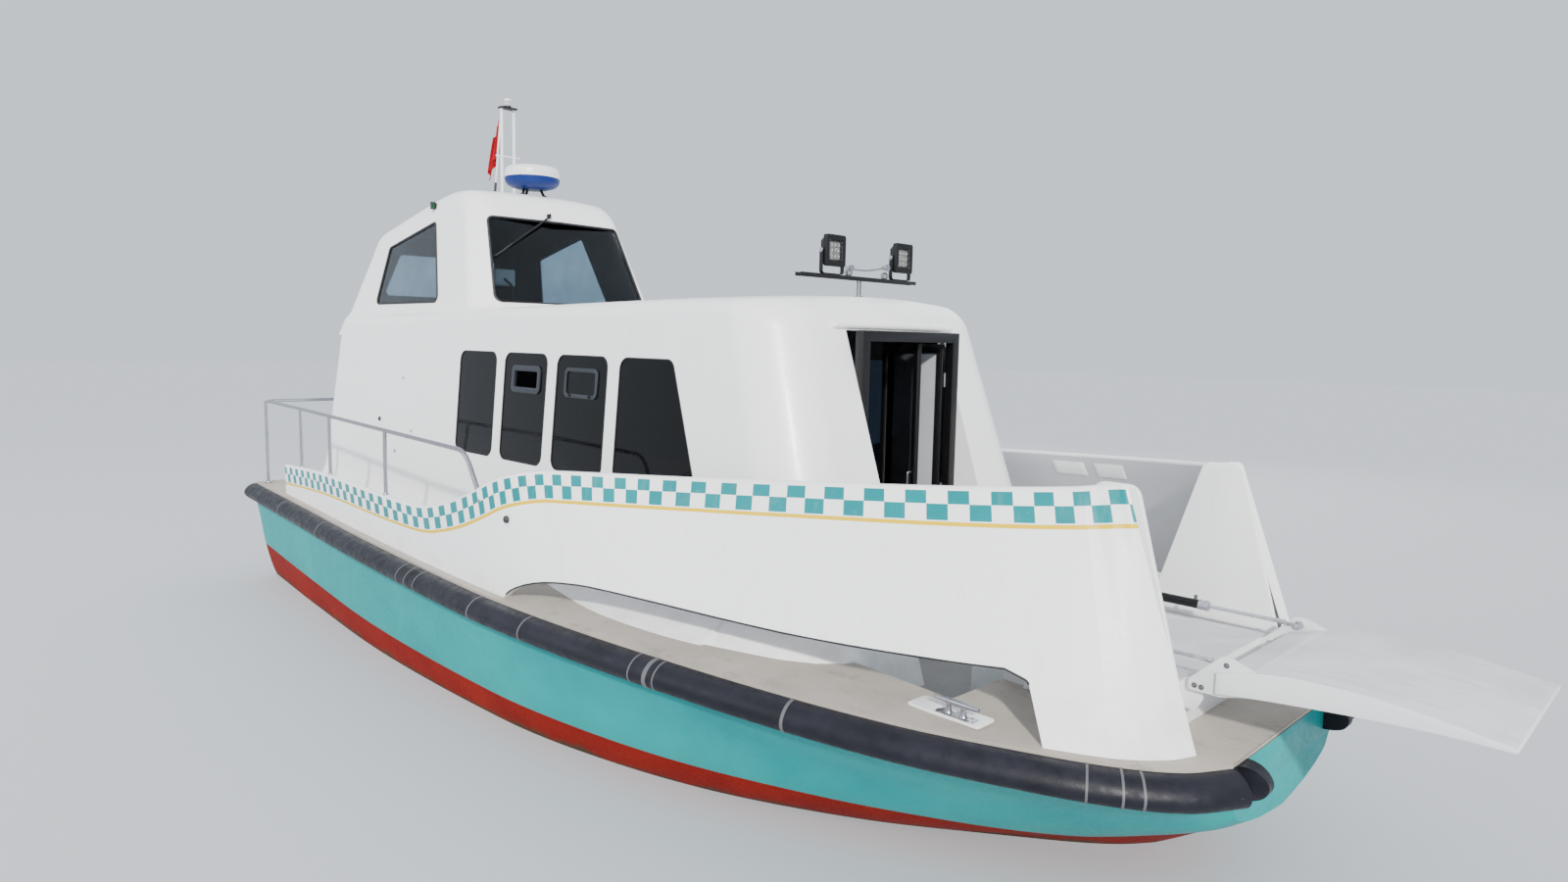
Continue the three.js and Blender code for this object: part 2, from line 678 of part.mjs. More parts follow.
function sideOutline(row, shrink) {
  const corner = 75 - shrink;
  return windowOutline([
    [row.headAft + shrink, SIDE_HEAD - shrink, corner],
    [row.headFore - shrink, SIDE_HEAD - shrink, corner],
    [row.sillFore - shrink * 1.35, SIDE_SILL + shrink, corner],
    [row.sillAft + shrink, SIDE_SILL + shrink, corner],
  ]);
}

// The windscreen and the rear window fill most of their walls.
const SCREEN = { half: 640, sillHalf: 745, head: 3470, sill: 2745 };
const screenOutline = (shrink) =>
  windowOutline([
    [-SCREEN.sillHalf + shrink, SCREEN.sill + shrink, 60 - shrink],
    [SCREEN.sillHalf - shrink, SCREEN.sill + shrink, 60 - shrink],
    [SCREEN.half - shrink, SCREEN.head - shrink, 50 - shrink],
    [-SCREEN.half + shrink, SCREEN.head - shrink, 50 - shrink],
  ]);
const rearOutline = (shrink) =>
  windowOutline([
    [-600 + shrink, 2850 + shrink, 60 - shrink],
    [600 - shrink, 2850 + shrink, 60 - shrink],
    [520 - shrink, 3270 - shrink, 60 - shrink],
    [-520 + shrink, 3270 - shrink, 60 - shrink],
  ]);
const helmOutline = (shrink) =>
  windowOutline([
    [WHEELHOUSE_SIDE[0][0] + shrink, WHEELHOUSE_SIDE[0][1] + shrink, 50 - shrink],
    [WHEELHOUSE_SIDE[1][0] - shrink * 1.4, WHEELHOUSE_SIDE[1][1] + shrink, 50 - shrink],
    [WHEELHOUSE_SIDE[2][0] - shrink, WHEELHOUSE_SIDE[2][1] - shrink, 50 - shrink],
    [WHEELHOUSE_SIDE[3][0] + shrink, WHEELHOUSE_SIDE[3][1] - shrink, 50 - shrink],
  ]);

const STARBOARD = [-2400, -300];

function makeCabin() {
  const foot = SOLE + SEAM;
  const outer = house(CABIN, 0, foot - 200);
  const inner = house(CABIN, WALL, foot - 300);
  const doorway = block(
    [DOOR.plane - 20, 7900],
    [-DOOR.half, DOOR.half],
    [0, DOOR.header],
  );
  const throughWall = block([6300, DOOR.plane], [-DOOR.half, DOOR.half], [0, DOOR.header]);
  const surround = block([DOOR.plane - 60, 7900], [-DOOR.half - 40, DOOR.half + 40], [0, DOOR.header + 40]);
  const lined = outer.subtract(inner).add(outer.intersect(surround));
  const glazed = SIDE_WINDOWS.map((row) => sidePlate(sideOutline(row, 0), STARBOARD));
  const shell = without(
    lined,
    doorway,
    throughWall,
    ...glazed,
    ...glazed.map(mirrored),
  );
  const opened = shell.subtract(house(WHEELHOUSE, WALL - 5, 2400));
  // In the well the shell stands on the sole, and outside it on the side deck.
  const wellFoot = block([-500, 9000], [-3000, 3000], [-500, foot]);
  const outsideWell = without(
    belowDeck(SEAM),
    block([WELL.aft + 1, WELL.fore - 1], [2 - WELL.half, WELL.half - 2], [-2000, 3000]),
  );
  const standing = without(opened, wellFoot, outsideWell);
  const seam = { z: 2480, aft: 770, fore: 6330 };
  const across = [-3000, 3000];
  const roof = block([-500, seam.fore - SEAM], across, [seam.z + SEAM, 4000]);
  const aft = block([-500, seam.aft], across, [0, seam.z]);
  const front = block([seam.fore, 9000], across, [0, 4000]);
  const side = block([seam.aft + SEAM, seam.fore - SEAM], [-3000, 0], [0, seam.z]);
  part("cabin_roof", standing.intersect(roof), "gelcoat");
  part("cabin_aft", standing.intersect(aft), "gelcoat");
  part("cabin_front", standing.intersect(front), "gelcoat");
  pair("cabin_side", standing.intersect(side), "gelcoat");
}

// The foot of the cabin spreads onto the side deck and turns in round the forward corners.
const SKIRT = [
  { x: 330, foot: 1270 },
  { x: 2000, foot: 1300 },
  { x: 4300, foot: 1330 },
  { x: 5200, foot: 1450 },
  { x: 5800, foot: 1540 },
  { x: 6300, foot: 1520 },
  { x: 6700, foot: 1440 },
  { x: 7050, foot: 1290 },
  { x: 7280, foot: 1080 },
  { x: 7400, foot: 860 },
];

function makeSkirt() {
  const reach = 1100;
  const rings = SKIRT.map(({ x, foot }) => [
    point(x, -foot, 700),
    point(x, -foot, 905),
    point(x, lerp(-foot, -reach, 0.55), 985),
    point(x, -reach, 1140),
    point(x, -reach + 300, 1140),
    point(x, -reach + 300, 700),
  ]);
  const grown = loft(rings);
  const wellSide = block([-500, 9000], [-WELL.half - 3, 1000], [0, 2000]);
  const body = without(grown, house(CABIN, -SEAM, 300), belowDeck(SEAM), wellSide);
  pair("cabin_skirt", body, "gelcoat");
}

function makeWheelhouse() {
  const floor = 2400;
  const outer = house(WHEELHOUSE, 0, floor);
  const inner = house(WHEELHOUSE, WALL, floor - 50);
  const screen = crossPlate(screenOutline(0), [2300, 4000]);
  const rear = crossPlate(rearOutline(0), [0, 1500]);
  const side = sidePlate(helmOutline(0), STARBOARD);
  const roofTop = house(CABIN, -SEAM, 600);
  const shell = without(outer, inner, screen, rear, side, mirrored(side), roofTop);
  part("wheelhouse", shell, "gelcoat");
}

// A pane lies in its opening with its face a little under the wall's outer face.
function paneOf(spec, cutter, depth, thick, floor) {
  return house(spec, depth, floor).subtract(house(spec, depth + thick, floor - 10)).intersect(cutter);
}

function makeWindows() {
  const gap = SEAM;
  const depth = 4;
  const thick = 8;
  const liner = { from: WALL + SEAM, thick: 8, overlap: 24 };
  const panes = SIDE_WINDOWS.map((row) => {
    const cutter = sidePlate(sideOutline(row, gap), STARBOARD);
    const hole = sidePlate(sideOutline(row, 22), STARBOARD);
    const pane = paneOf(CABIN, cutter, depth, thick, 1200);
    const reveal = paneOf(CABIN, cutter.subtract(hole), depth + thick - 0.5, WALL - thick, 1200);
    return pane.add(reveal);
  });
  const strip = rounded([
    [3150, SIDE_HEAD + 40, 60],
    [5960, SIDE_HEAD + 40, 60],
    [6270, SIDE_SILL - 40, 60],
    [3150, SIDE_SILL - 40, 60],
  ]);
  const holes = SIDE_WINDOWS.map((row) => sidePlate(sideOutline(row, 22), STARBOARD));
  const plate = without(
    paneOf(CABIN, sidePlate(strip, STARBOARD), liner.from, liner.thick, 1200),
    ...holes,
  );
  const bridge = SIDE_WINDOWS.map((row) => {
    const whole = sidePlate(sideOutline(row, gap), STARBOARD);
    const ring = whole.subtract(sidePlate(sideOutline(row, 22), STARBOARD));
    return paneOf(CABIN, ring, WALL - 6, 10, 1200);
  });
  pair("cabin_windows", joined([...panes, ...bridge, plate]), "glass");
  const glass = (cutter) => paneOf(WHEELHOUSE, cutter, depth, thick, 2500);
  part("windscreen", glass(crossPlate(screenOutline(gap), [2300, 4000])), "glass");
  part("rear_window", glass(crossPlate(rearOutline(gap), [0, 1500])), "glass");
  pair("wheelhouse_window", glass(sidePlate(helmOutline(gap), STARBOARD)), "glass");
}

// The cabin door folds in two: one leaf hangs on the port jamb, the other on the first leaf's free edge.
// It stands folded back, each leaf drawn closed in a group that is turned by the opening angle.
function makeDoor() {
  const outer = DOOR.half - SEAM;
  const clear = DOOR.half - DOOR.frame;
  const sill = SOLE + SEAM;
  const rim = block([DOOR.plane - 60, DOOR.plane], [-outer, outer], [sill, DOOR.header - SEAM]);
  const lintel = DOOR.header - DOOR.frame;
  const opening = block([DOOR.plane - 80, DOOR.plane + 20], [-clear, clear], [SOLE + 25, lintel]);
  const pivot = point(DOOR.plane - 56, clear - 4, 0);
  const hinges = (x, y, radius) =>
    joined([850, 1550, 2250].map((z) => rod(point(x, y, z), point(x, y, z + 90), radius, 16)));
  const notches = joined([850, 1550, 2250].map((z) => {
    const low = point(pivot.x, pivot.y, z - SEAM);
    return rod(low, point(pivot.x, pivot.y, z + 90 + SEAM), 8 + SEAM, 16);
  }));
  part("door_frame", without(rim, opening, notches), "black");
  const height = [SOLE + 35, lintel - 10];
  const width = clear - 6;
  const knuckle = DOOR.leaf + DOOR.fold;
  const jamb = new THREE.Group();
  jamb.position.copy(pivot);
  jamb.rotation.z = degrees(-DOOR.open);
  boat.add(jamb);
  const first = block([0, DOOR.leaf], [8 - width, -4], height).add(hinges(0, 0, 8));
  const clearance = rod(point(knuckle, -width, 0), point(knuckle, -width, 3000), 12 + SEAM, 32);
  part("door_leaf_jamb", first.subtract(clearance), "black", jamb);
  const meeting = new THREE.Group();
  meeting.position.set(knuckle, -width, 0);
  meeting.rotation.z = degrees(2 * DOOR.open);
  jamb.add(meeting);
  const free = block([-knuckle, DOOR.leaf - knuckle], [8 - width, -8], height).add(hinges(0, 0, 12));
  part("door_leaf_free", free, "black", meeting);
}

// Stainless rail round the stern, on posts that stand on the bulwark and, aft of it, on the deck.
const RAIL_TOP = [
  { x: 130, y: 1600, z: 1785 },
  { x: 1300, y: 1655, z: 1782 },
  { x: 2150, y: 1705, z: 1778 },
  { x: 3450, y: 1770, z: 1766 },
  { x: 4760, y: 1790, z: 1740 },
];

function makeRail() {
  const radius = 15;
  const spot = (p, side = -1) => point(p.x, side * p.y, p.z);
  const landing = point(4960, -1792, 1440);
  const starboard = pipe([...RAIL_TOP.map((p) => spot(p)), landing], radius);
  const posts = RAIL_TOP.slice(1, 4).map((p) => rod(spot(p), point(p.x, -p.y, 1100), radius, 10));
  const sky = bulwarkSky(SEAM);
  const onBulwark = joined([starboard, ...posts]).intersect(sky);
  const corner = RAIL_TOP[0];
  const stern = pipe([spot(corner), spot(corner, 1)], radius);
  const sternPosts = [-corner.y, -540, 540, corner.y].map((y) =>
    rod(point(corner.x, y, corner.z), point(corner.x, y, 900), radius, 10),
  );
  const elbows = [-1, 1].map((side) => ball(spot(corner, side), radius * 1.02, 10));
  const onDeck = without(joined([stern, ...sternPosts, ...elbows]), belowDeck(SEAM));
  part("stern_rail", joined([onDeck, onBulwark, mirrored(onBulwark)]), "steel");
}

// Twin-legged mast on the wheelhouse roof, with its lamp, crossbar and a raked flag staff.
const MAST = { x: 2060, foot: 3640, top: 4580, leg: 14, spread: 62 };
const STAFF = { foot: point(1880, -60, 3640), top: point(2042, -60, 4500) };

function makeMast() {
  const legs = [-1, 1].map((side) => {
    const y = side * MAST.spread;
    return rod(point(MAST.x, y, MAST.foot), point(MAST.x, y, MAST.top), MAST.leg, 10);
  });
  const plate = block([MAST.x - 45, MAST.x + 45], [-85, 85], [MAST.top - 5, MAST.top + 8]);
  const bar = rod(point(MAST.x, -120, 4140), point(MAST.x, 120, 4140), 10, 8);
  const lamp = rod(point(MAST.x, 0, MAST.top), point(MAST.x, 0, MAST.top + 95), 34, 14);
  const staff = rod(STAFF.foot, STAFF.top, 9, 8);
  const clamp = rod(point(1972, -60, 4140), point(MAST.x, -60, 4140), 8, 8);
  const roof = house(WHEELHOUSE, -SEAM, 2400);
  part("mast", without(joined([...legs, plate, bar, lamp, staff, clamp]), roof), "gelcoat");
}

// The flag hangs in folds from its staff, each strip of it lower than the one before.
function makeFlag() {
  const rake = (STAFF.top.x - STAFF.foot.x) / (STAFF.top.z - STAFF.foot.z);
  const luff = (z) => STAFF.foot.x + rake * (z - STAFF.foot.z) - 9.5;
  const [high, low] = [4485, 4185];
  const folds = [
    { reach: 0, drop: 0, thick: 4 },
    { reach: 55, drop: 45, thick: 24 },
    { reach: 115, drop: 130, thick: 28 },
    { reach: 165, drop: 235, thick: 20 },
  ];
  const ring = ({ reach, drop, thick }) => {
    const at = (z, side) => point(luff(z) - reach, STAFF.foot.y + side * thick, z - drop);
    return [at(high, -1), at(high, 1), at(low, 1), at(low, -1)];
  };
  part("flag", loft(folds.map(ring)), "cloth");
}

const RADAR = { x: 2500, radius: 245, low: 3800, high: 4020 };

function makeRadar() {
  const profile = [
    [0, 0],
    [150, 0],
    [215, 30],
    [240, 70],
    [245, 105],
    [240, 140],
    [205, 180],
    [130, 208],
    [0, 220],
  ].map(([r, z]) => new THREE.Vector2(r, z));
  const dome = new THREE.LatheGeometry(profile, 28);
  dome.rotateX(Math.PI / 2).translate(RADAR.x, 0, RADAR.low);
  const legs = [-1, 1].map((side) => {
    const foot = point(RADAR.x + 20, side * 110, 3640);
    return rod(foot, point(RADAR.x, side * 80, RADAR.low + 20), 13, 8);
  });
  const rear = rod(point(RADAR.x - 120, 0, 3640), point(RADAR.x - 90, 0, RADAR.low + 20), 13, 8);
  const roof = house(WHEELHOUSE, -SEAM, 2400);
  part("radar", without(joined([solidOf(dome), ...legs, rear]), roof), "gelcoat");
}

// Two floodlights on a bar over the cabin door.
const LIGHTS = { x: 6470, bar: 2872, half: 545, lamp: [172, 190, 74], at: [-255, 400], centre: 3025 };

function makeLightBar() {
  const { x, bar, lamp } = LIGHTS;
  const beam = block([x - 22, x + 22], [-LIGHTS.half, LIGHTS.half], [bar - 7, bar + 7]);
  const post = rod(point(x, 0, 2600), point(x, 0, bar), 19, 12);
  const heads = LIGHTS.at.flatMap((y) => {
    const [wide, high, deep] = lamp;
    const across = [y - wide / 2, y + wide / 2];
    const tall = [LIGHTS.centre - high / 2, LIGHTS.centre + high / 2];
    const head = block([x - deep / 2, x + deep / 2], across, tall);
    const arms = [across[0] - 10, across[1] + 2].map((edge) =>
      block([x - 14, x + 14], [edge, edge + 8], [bar + 16, LIGHTS.centre + 20]),
    );
    const yoke = block([x - 14, x + 14], [across[0] - 10, across[1] + 10], [bar + 12, bar + 20]);
    const bolts = rod(
      point(x, across[0] - 12, LIGHTS.centre),
      point(x, across[1] + 12, LIGHTS.centre),
      9,
      8,
    );
    const stem = rod(point(x, y, bar), point(x, y, bar + 20), 12, 8);
    return [head, ...arms, yoke, bolts, stem];
  });
  const whole = joined([beam, post, ...heads]);
  part("floodlight_bar", without(whole, house(CABIN, -SEAM, 600)), "black");
}

// The helm: a raised floor over the engine, its bulkhead, steps, console, seat and wheel.
function makeHelm() {
  const inside = house(CABIN, WALL + SEAM, 500);
  const floor = block([300, 3000], [-1100, 1100], [HELM.floor - 30, HELM.floor]).intersect(inside);
  const bulkhead = block([2960, 3000], [-975, 975], [SOLE + SEAM, HELM.floor - 10]);
  part("helm_floor", floor.add(bulkhead), "lining");
  const stepRise = (HELM.floor - SOLE) / 4;
  const steps = [3, 2, 1].map((count, i) =>
    block([3002, 3220 + 200 * i], [60, 560], [SOLE + SEAM, SOLE + stepRise * count]),
  );
  part("helm_steps", joined(steps), "lining");
  const tilt = degrees(HELM.tilt);
  const console = rounded([
    [2980, HELM.floor + SEAM],
    [2980, 2520, 40],
    [2800, 2600, 30],
    [2600, 2480, 30],
    [2640, 2240],
    [2780, HELM.floor + SEAM],
  ]);
  const along = (d) => point(HELM.x + d * Math.cos(tilt), HELM.y, HELM.z - d * Math.sin(tilt));
  const column = rod(along(24 + SEAM), along(220), 28);
  part("helm_console", sidePlate(console, [-820, 160]).add(column), "black");
  const seatX = 2020;
  const seatZ = 2080;
  const pedestal = rod(point(seatX, HELM.y, HELM.floor + SEAM), point(seatX, HELM.y, seatZ), 45, 12);
  const foot = rod(point(seatX, HELM.y, HELM.floor + SEAM), point(seatX, HELM.y, HELM.floor + 20), 170, 20);
  const pan = block([seatX - 200, seatX + 200], [HELM.y - 210, HELM.y + 210], [seatZ - 20, seatZ]);
  const spine = block([seatX - 226, seatX - 202], [HELM.y - 60, HELM.y + 60], [seatZ - 20, seatZ + 480]);
  const brace = block([seatX - 226, seatX - 190], [HELM.y - 60, HELM.y + 60], [seatZ - 20, seatZ - 2]);
  part("helm_seat_frame", joined([pedestal, foot, pan, spine, brace]), "steel");
  const seat = block([seatX - 190, seatX + 220], [HELM.y - 230, HELM.y + 230], [seatZ + SEAM, seatZ + 90]);
  const back = block([seatX - 200, seatX - 110], [HELM.y - 225, HELM.y + 225], [seatZ + 60, seatZ + 520]);
  part("helm_seat", seat.add(back), "cushion");
  makeHelmWheel();
}

function makeHelmWheel() {
  const wheel = new THREE.Group();
  wheel.position.set(HELM.x, HELM.y, HELM.z);
  wheel.rotation.y = degrees(HELM.tilt);
  boat.add(wheel);
  const rim = solidOf(new THREE.TorusGeometry(HELM.radius, 13, 8, 28).rotateY(Math.PI / 2));
  const spokes = [90, 210, 330].map((angle) => {
    const y = Math.cos(degrees(angle)) * HELM.radius;
    const z = Math.sin(degrees(angle)) * HELM.radius;
    return rod(point(12, 0, 0), point(0, y, z), 9, 8);
  });
  const hub = rod(point(-12, 0, 0), point(24, 0, 0), 34, 14);
  part("helm_wheel", joined([rim, ...spokes, hub]), "black", wheel);
}

// Benches along both sides of the cabin, each with one long cushion.
function makeBenches() {
  const run = { aft: 3700, fore: 6240, inner: 560, outer: 975, seat: 1010, cushion: 85 };
  const body = block([run.aft, run.fore], [-run.outer, -run.inner], [SOLE + SEAM, run.seat]);
  const toe = block([run.aft - 5, run.fore + 5], [-run.inner - 70, -run.inner + 5], [SOLE - 5, SOLE + 90]);
  pair("bench", body.subtract(toe), "lining");
  const top = run.seat + SEAM;
  const seatTop = [top, top + run.cushion];
  const cushion = block([run.aft + 5, run.fore - 5], [-run.outer, -run.inner + 15], seatTop);
  pair("bench_cushion", cushion, "cushion");
}

function makeDrive() {
  part("engine", block([1080, 2320], [-360, 360], [370 + SEAM, 1180]), "engine");
  const line = new THREE.Group();
  line.position.set(PROPELLER.x, 0, PROPELLER.z);
  line.rotation.y = -SHAFT_ANGLE;
  boat.add(line);
  const blades = [0, 90, 180, 270].map((angle) => {
    const blade = new THREE.SphereGeometry(1, 12, 8);
    blade.scale(9, 82, 118).rotateZ(degrees(32)).translate(0, 0, 132).rotateX(degrees(angle));
    return solidOf(blade);
  });
  const mouth = 90 / Math.cos(SHAFT_ANGLE) - SEAM;
  const hub = rod(point(-60, 0, 0), point(mouth, 0, 0), PROPELLER.hub, 16);
  const cone = solidOf(new THREE.SphereGeometry(PROPELLER.hub, 16, 8).translate(-60, 0, 0));
  const shaft = rod(point(60, 0, 0), point(240, 0, 0), 20, 12);
  part("propeller", joined([...blades, hub, cone, shaft]), "bronze", line);
  const rudder = new THREE.Group();
  rudder.position.set(RUDDER.x, 0, 0);
  boat.add(rudder);
  const foil = [
    [110, 0],
    [90, 18],
    [20, 27],
    [-120, 16],
    [-250, 3],
    [-250, -3],
    [-120, -16],
    [20, -27],
    [90, -18],
  ].map(([x, y]) => new THREE.Vector2(x, y));
  const blade = flatPlate(foil, [RUDDER.top - RUDDER.height, RUDDER.top]);
  const stock = rod(point(0, 0, RUDDER.top - 60), point(0, 0, RUDDER.boss - SEAM), 24, 14);
  part("rudder", blade.add(stock), "bronze", rudder);
}

// Mooring cleats on the side deck, by the ramp and at the stern quarters.
const CLEATS = [
  { name: "cleat_bow", x: 8120, y: 1150 },
  { name: "cleat_stern", x: 480, y: 1440 },
];

function makeCleats() {
  for (const { name, x, y } of CLEATS) {
    const deck = faired("sheer", x) + DECK_PLATE;
    const base = block([x - 105, x + 105], [-y - 32, -y + 32], [deck - 30, deck + 12]);
    const legs = [-38, 38].map((dx) => rod(point(x + dx, -y, deck), point(x + dx, -y, deck + 62), 13, 10));
    const horn = rod(point(x - 125, -y, deck + 66), point(x + 125, -y, deck + 66), 14, 10);
    pair(name, without(joined([base, ...legs, horn]), belowDeck(SEAM)), "steel");
  }
}

makeHull();
makeDeck();
makeFender();
makeBulwark();
makeCheeks();
makePlatform();
makeRamp();
makeCylinders();
makeCabin();
makeSkirt();
makeWheelhouse();
makeWindows();
makeDoor();
makeRail();
makeMast();
makeFlag();
makeRadar();
makeLightBar();
makeHelm();
makeBenches();
makeDrive();
makeCleats();

export default boat;
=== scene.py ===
# Looks of the water taxi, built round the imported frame.
# Places along the boat are counted in metres from the transom and moved amidships when a mesh is made.
import json
import math

import bmesh
import bpy
import numpy as np
from mathutils import Matrix, Vector

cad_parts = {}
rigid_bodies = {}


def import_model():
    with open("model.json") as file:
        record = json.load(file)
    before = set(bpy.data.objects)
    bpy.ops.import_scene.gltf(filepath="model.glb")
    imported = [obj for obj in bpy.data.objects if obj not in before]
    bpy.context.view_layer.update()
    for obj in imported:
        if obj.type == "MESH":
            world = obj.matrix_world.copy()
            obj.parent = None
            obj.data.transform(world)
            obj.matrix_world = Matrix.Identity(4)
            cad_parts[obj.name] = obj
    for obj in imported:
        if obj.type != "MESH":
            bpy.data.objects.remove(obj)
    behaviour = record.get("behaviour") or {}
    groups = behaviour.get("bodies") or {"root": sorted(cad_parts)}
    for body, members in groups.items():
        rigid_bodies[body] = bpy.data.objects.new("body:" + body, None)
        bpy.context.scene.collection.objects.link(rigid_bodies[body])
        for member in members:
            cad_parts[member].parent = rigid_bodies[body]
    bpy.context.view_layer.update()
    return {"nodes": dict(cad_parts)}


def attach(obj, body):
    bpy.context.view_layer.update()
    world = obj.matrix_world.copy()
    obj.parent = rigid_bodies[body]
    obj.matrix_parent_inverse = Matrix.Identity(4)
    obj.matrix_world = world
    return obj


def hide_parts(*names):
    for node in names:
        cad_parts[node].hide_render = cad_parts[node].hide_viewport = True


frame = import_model()
HALF_HULL = 4.565
# Which way Y runs on each hand.
SIDES = ((-1, "starboard"), (1, "port"))
# The hair of room left between pieces that would touch.
HAIR = 0.0003


# ---------------------------------------------------------------- camera, floor and light

def make_camera():
    yaw, pitch, roll = 2.36487, 0.10281, 0.02010
    forward = Vector((math.cos(pitch) * math.cos(yaw), math.cos(pitch) * math.sin(yaw), -math.sin(pitch)))
    level = Vector((math.sin(yaw), -math.cos(yaw), 0))
    upright = level.cross(forward)
    right = math.cos(roll) * level + math.sin(roll) * upright
    up = -math.sin(roll) * level + math.cos(roll) * upright
    turned = Matrix((right, up, -forward)).transposed().to_4x4()
    data = bpy.data.cameras.new("camera")
    data.lens, data.sensor_width = 22.137, 36.0
    data.clip_end = 500
    camera = bpy.data.objects.new("camera", data)
    camera.matrix_world = Matrix.Translation((5.952, -4.609, 2.472)) @ turned
    bpy.context.collection.objects.link(camera)
    bpy.context.scene.camera = camera


def make_studio():
    bpy.ops.mesh.primitive_plane_add(size=160)
    floor = bpy.context.object
    floor.name = "studio_floor"
    tone = bpy.data.materials.new("floor_tone")
    tone.use_nodes = True
    shader = tone.node_tree.nodes["Principled BSDF"]
    shader.inputs["Base Color"].default_value = (0.55, 0.57, 0.60, 1)
    shader.inputs["Roughness"].default_value = 0.7
    floor.data.materials.append(tone)
    world = bpy.data.worlds.new("studio")
    world.use_nodes = True
    world.node_tree.nodes["Background"].inputs["Color"].default_value = (0.84, 0.91, 1.0, 1)
    world.node_tree.nodes["Background"].inputs["Strength"].default_value = 1.05
    bpy.context.scene.world = world
    lamp("key_light", "SUN", (8, -7, 7), 5.0, (1.0, 0.97, 0.925), angle=math.radians(3))
    lamp("soft_fill", "AREA", (-6, -14, 9), 620, (0.9, 0.95, 1.0), size=9)
    lamp("back_fill", "AREA", (-4, 14, 9), 520, (0.95, 0.97, 1.0), size=9)


def lamp(name, kind, place, power, tint, size=1.0, angle=0.1):
    data = bpy.data.lights.new(name, kind)
    data.energy, data.color = power, tint
    if kind == "AREA":
        data.size = size
    else:
        data.angle = angle
    thing = bpy.data.objects.new(name, data)
    thing.location = place
    thing.rotation_euler = (Vector((0, 0, 1.2)) - Vector(place)).to_track_quat("-Z", "Y").to_euler()
    bpy.context.collection.objects.link(thing)


# ---------------------------------------------------------------- finishes

class Finish:
    """A node material under construction: each helper adds nodes and hands back an output socket."""

    def __init__(self, name, color, rough, metal=0.0, **fixed):
        self.material = bpy.data.materials.new(name)
        self.material.use_nodes = True
        self.tree = self.material.node_tree
        self.shader = self.tree.nodes["Principled BSDF"]
        self.shader.inputs["Base Color"].default_value = (*color, 1)
        self.shader.inputs["Roughness"].default_value = rough
        self.shader.inputs["Metallic"].default_value = metal
        for key, value in fixed.items():
            self.shader.inputs[key.replace("_", " ")].default_value = value
        self.where = self.tree.nodes.new("ShaderNodeTexCoord").outputs["Object"]

    def node(self, kind, inputs=(), **settings):
        made = self.tree.nodes.new(kind)
        for key, value in settings.items():
            setattr(made, key, value)
        for key, value in dict(inputs).items():
            if isinstance(value, bpy.types.NodeSocket):
                self.tree.links.new(value, made.inputs[key])
            else:
                made.inputs[key].default_value = value
        return made

    def stretched(self, x, y, z):
        return self.node("ShaderNodeMapping", {"Vector": self.where, "Scale": (x, y, z)}).outputs[0]

    def noise(self, scale, detail=4.0, rough=0.55, vector=None):
        inputs = {"Vector": vector or self.where, "Scale": scale, "Detail": detail, "Roughness": rough}
        return self.node("ShaderNodeTexNoise", inputs).outputs["Fac"]

    def cells(self, scale):
        return self.node("ShaderNodeTexVoronoi", {"Vector": self.where, "Scale": scale}).outputs["Distance"]

    def between(self, value, low, high, to_low=0.0, to_high=1.0):
        inputs = {"Value": value, "From Min": low, "From Max": high, "To Min": to_low, "To Max": to_high}
        return self.node("ShaderNodeMapRange", inputs, clamp=True).outputs[0]

    def math(self, operation, a, b=0.0):
        return self.node("ShaderNodeMath", {0: a, 1: b}, operation=operation).outputs[0]

    def axis(self, letter, source=None):
        return self.node("ShaderNodeSeparateXYZ", {0: source or self.where}).outputs[letter]

    def mixed(self, factor, a, b):
        made = self.tree.nodes.new("ShaderNodeMix")
        made.data_type = "RGBA"
        for socket, value in ((made.inputs[0], factor), (made.inputs[6], a), (made.inputs[7], b)):
            if isinstance(value, bpy.types.NodeSocket):
                self.tree.links.new(value, socket)
            elif socket is made.inputs[0]:
                socket.default_value = value
            else:
                socket.default_value = (*value, 1)
        return made.outputs[2]

    def color(self, socket):
        self.tree.links.new(socket, self.shader.inputs["Base Color"])

    def roughness(self, socket):
        self.tree.links.new(socket, self.shader.inputs["Roughness"])

    def relief(self, height, distance, strength=1.0):
        inputs = {"Height": height, "Distance": distance, "Strength": strength}
        if self.shader.inputs["Normal"].is_linked:
            inputs["Normal"] = self.shader.inputs["Normal"].links[0].from_socket
        made = self.node("ShaderNodeBump", inputs)
        self.tree.links.new(made.outputs[0], self.shader.inputs["Normal"])


WHITE = (0.94, 0.945, 0.95)


def gelcoat(name="white_gelcoat", white=WHITE, grime=(0.55, 0.52, 0.46), foot=0.0):
    f = Finish(name, white, 0.34, Coat_Weight=0.06, Coat_Roughness=0.15)
    cloudy = f.noise(0.9, 3)
    streaks = f.noise(3.2, 5, 0.6, f.stretched(5, 5, 0.6))
    specks = f.noise(60, 2)
    soft = f.between(cloudy, 0.35, 0.75, 0.0, 0.05)
    run = f.between(streaks, 0.56, 0.8, 0.0, 0.16)
    dirt = f.math("ADD", soft, run)
    if foot:
        low = f.between(f.axis("Z"), foot, foot + 0.35, 0.35, 0.0)
        dirt = f.math("ADD", dirt, f.math("MULTIPLY", low, f.between(f.noise(7, 5), 0.4, 0.7)))
    f.color(f.mixed(f.math("MINIMUM", dirt, 0.6), white, grime))
    f.roughness(f.math("ADD", f.between(specks, 0.3, 0.7, 0.29, 0.38), f.math("MULTIPLY", dirt, 0.5)))
    f.relief(f.noise(1.6, 2), 0.006, 0.25)
    f.relief(f.noise(300, 1), 0.0002, 0.15)
    return f.material


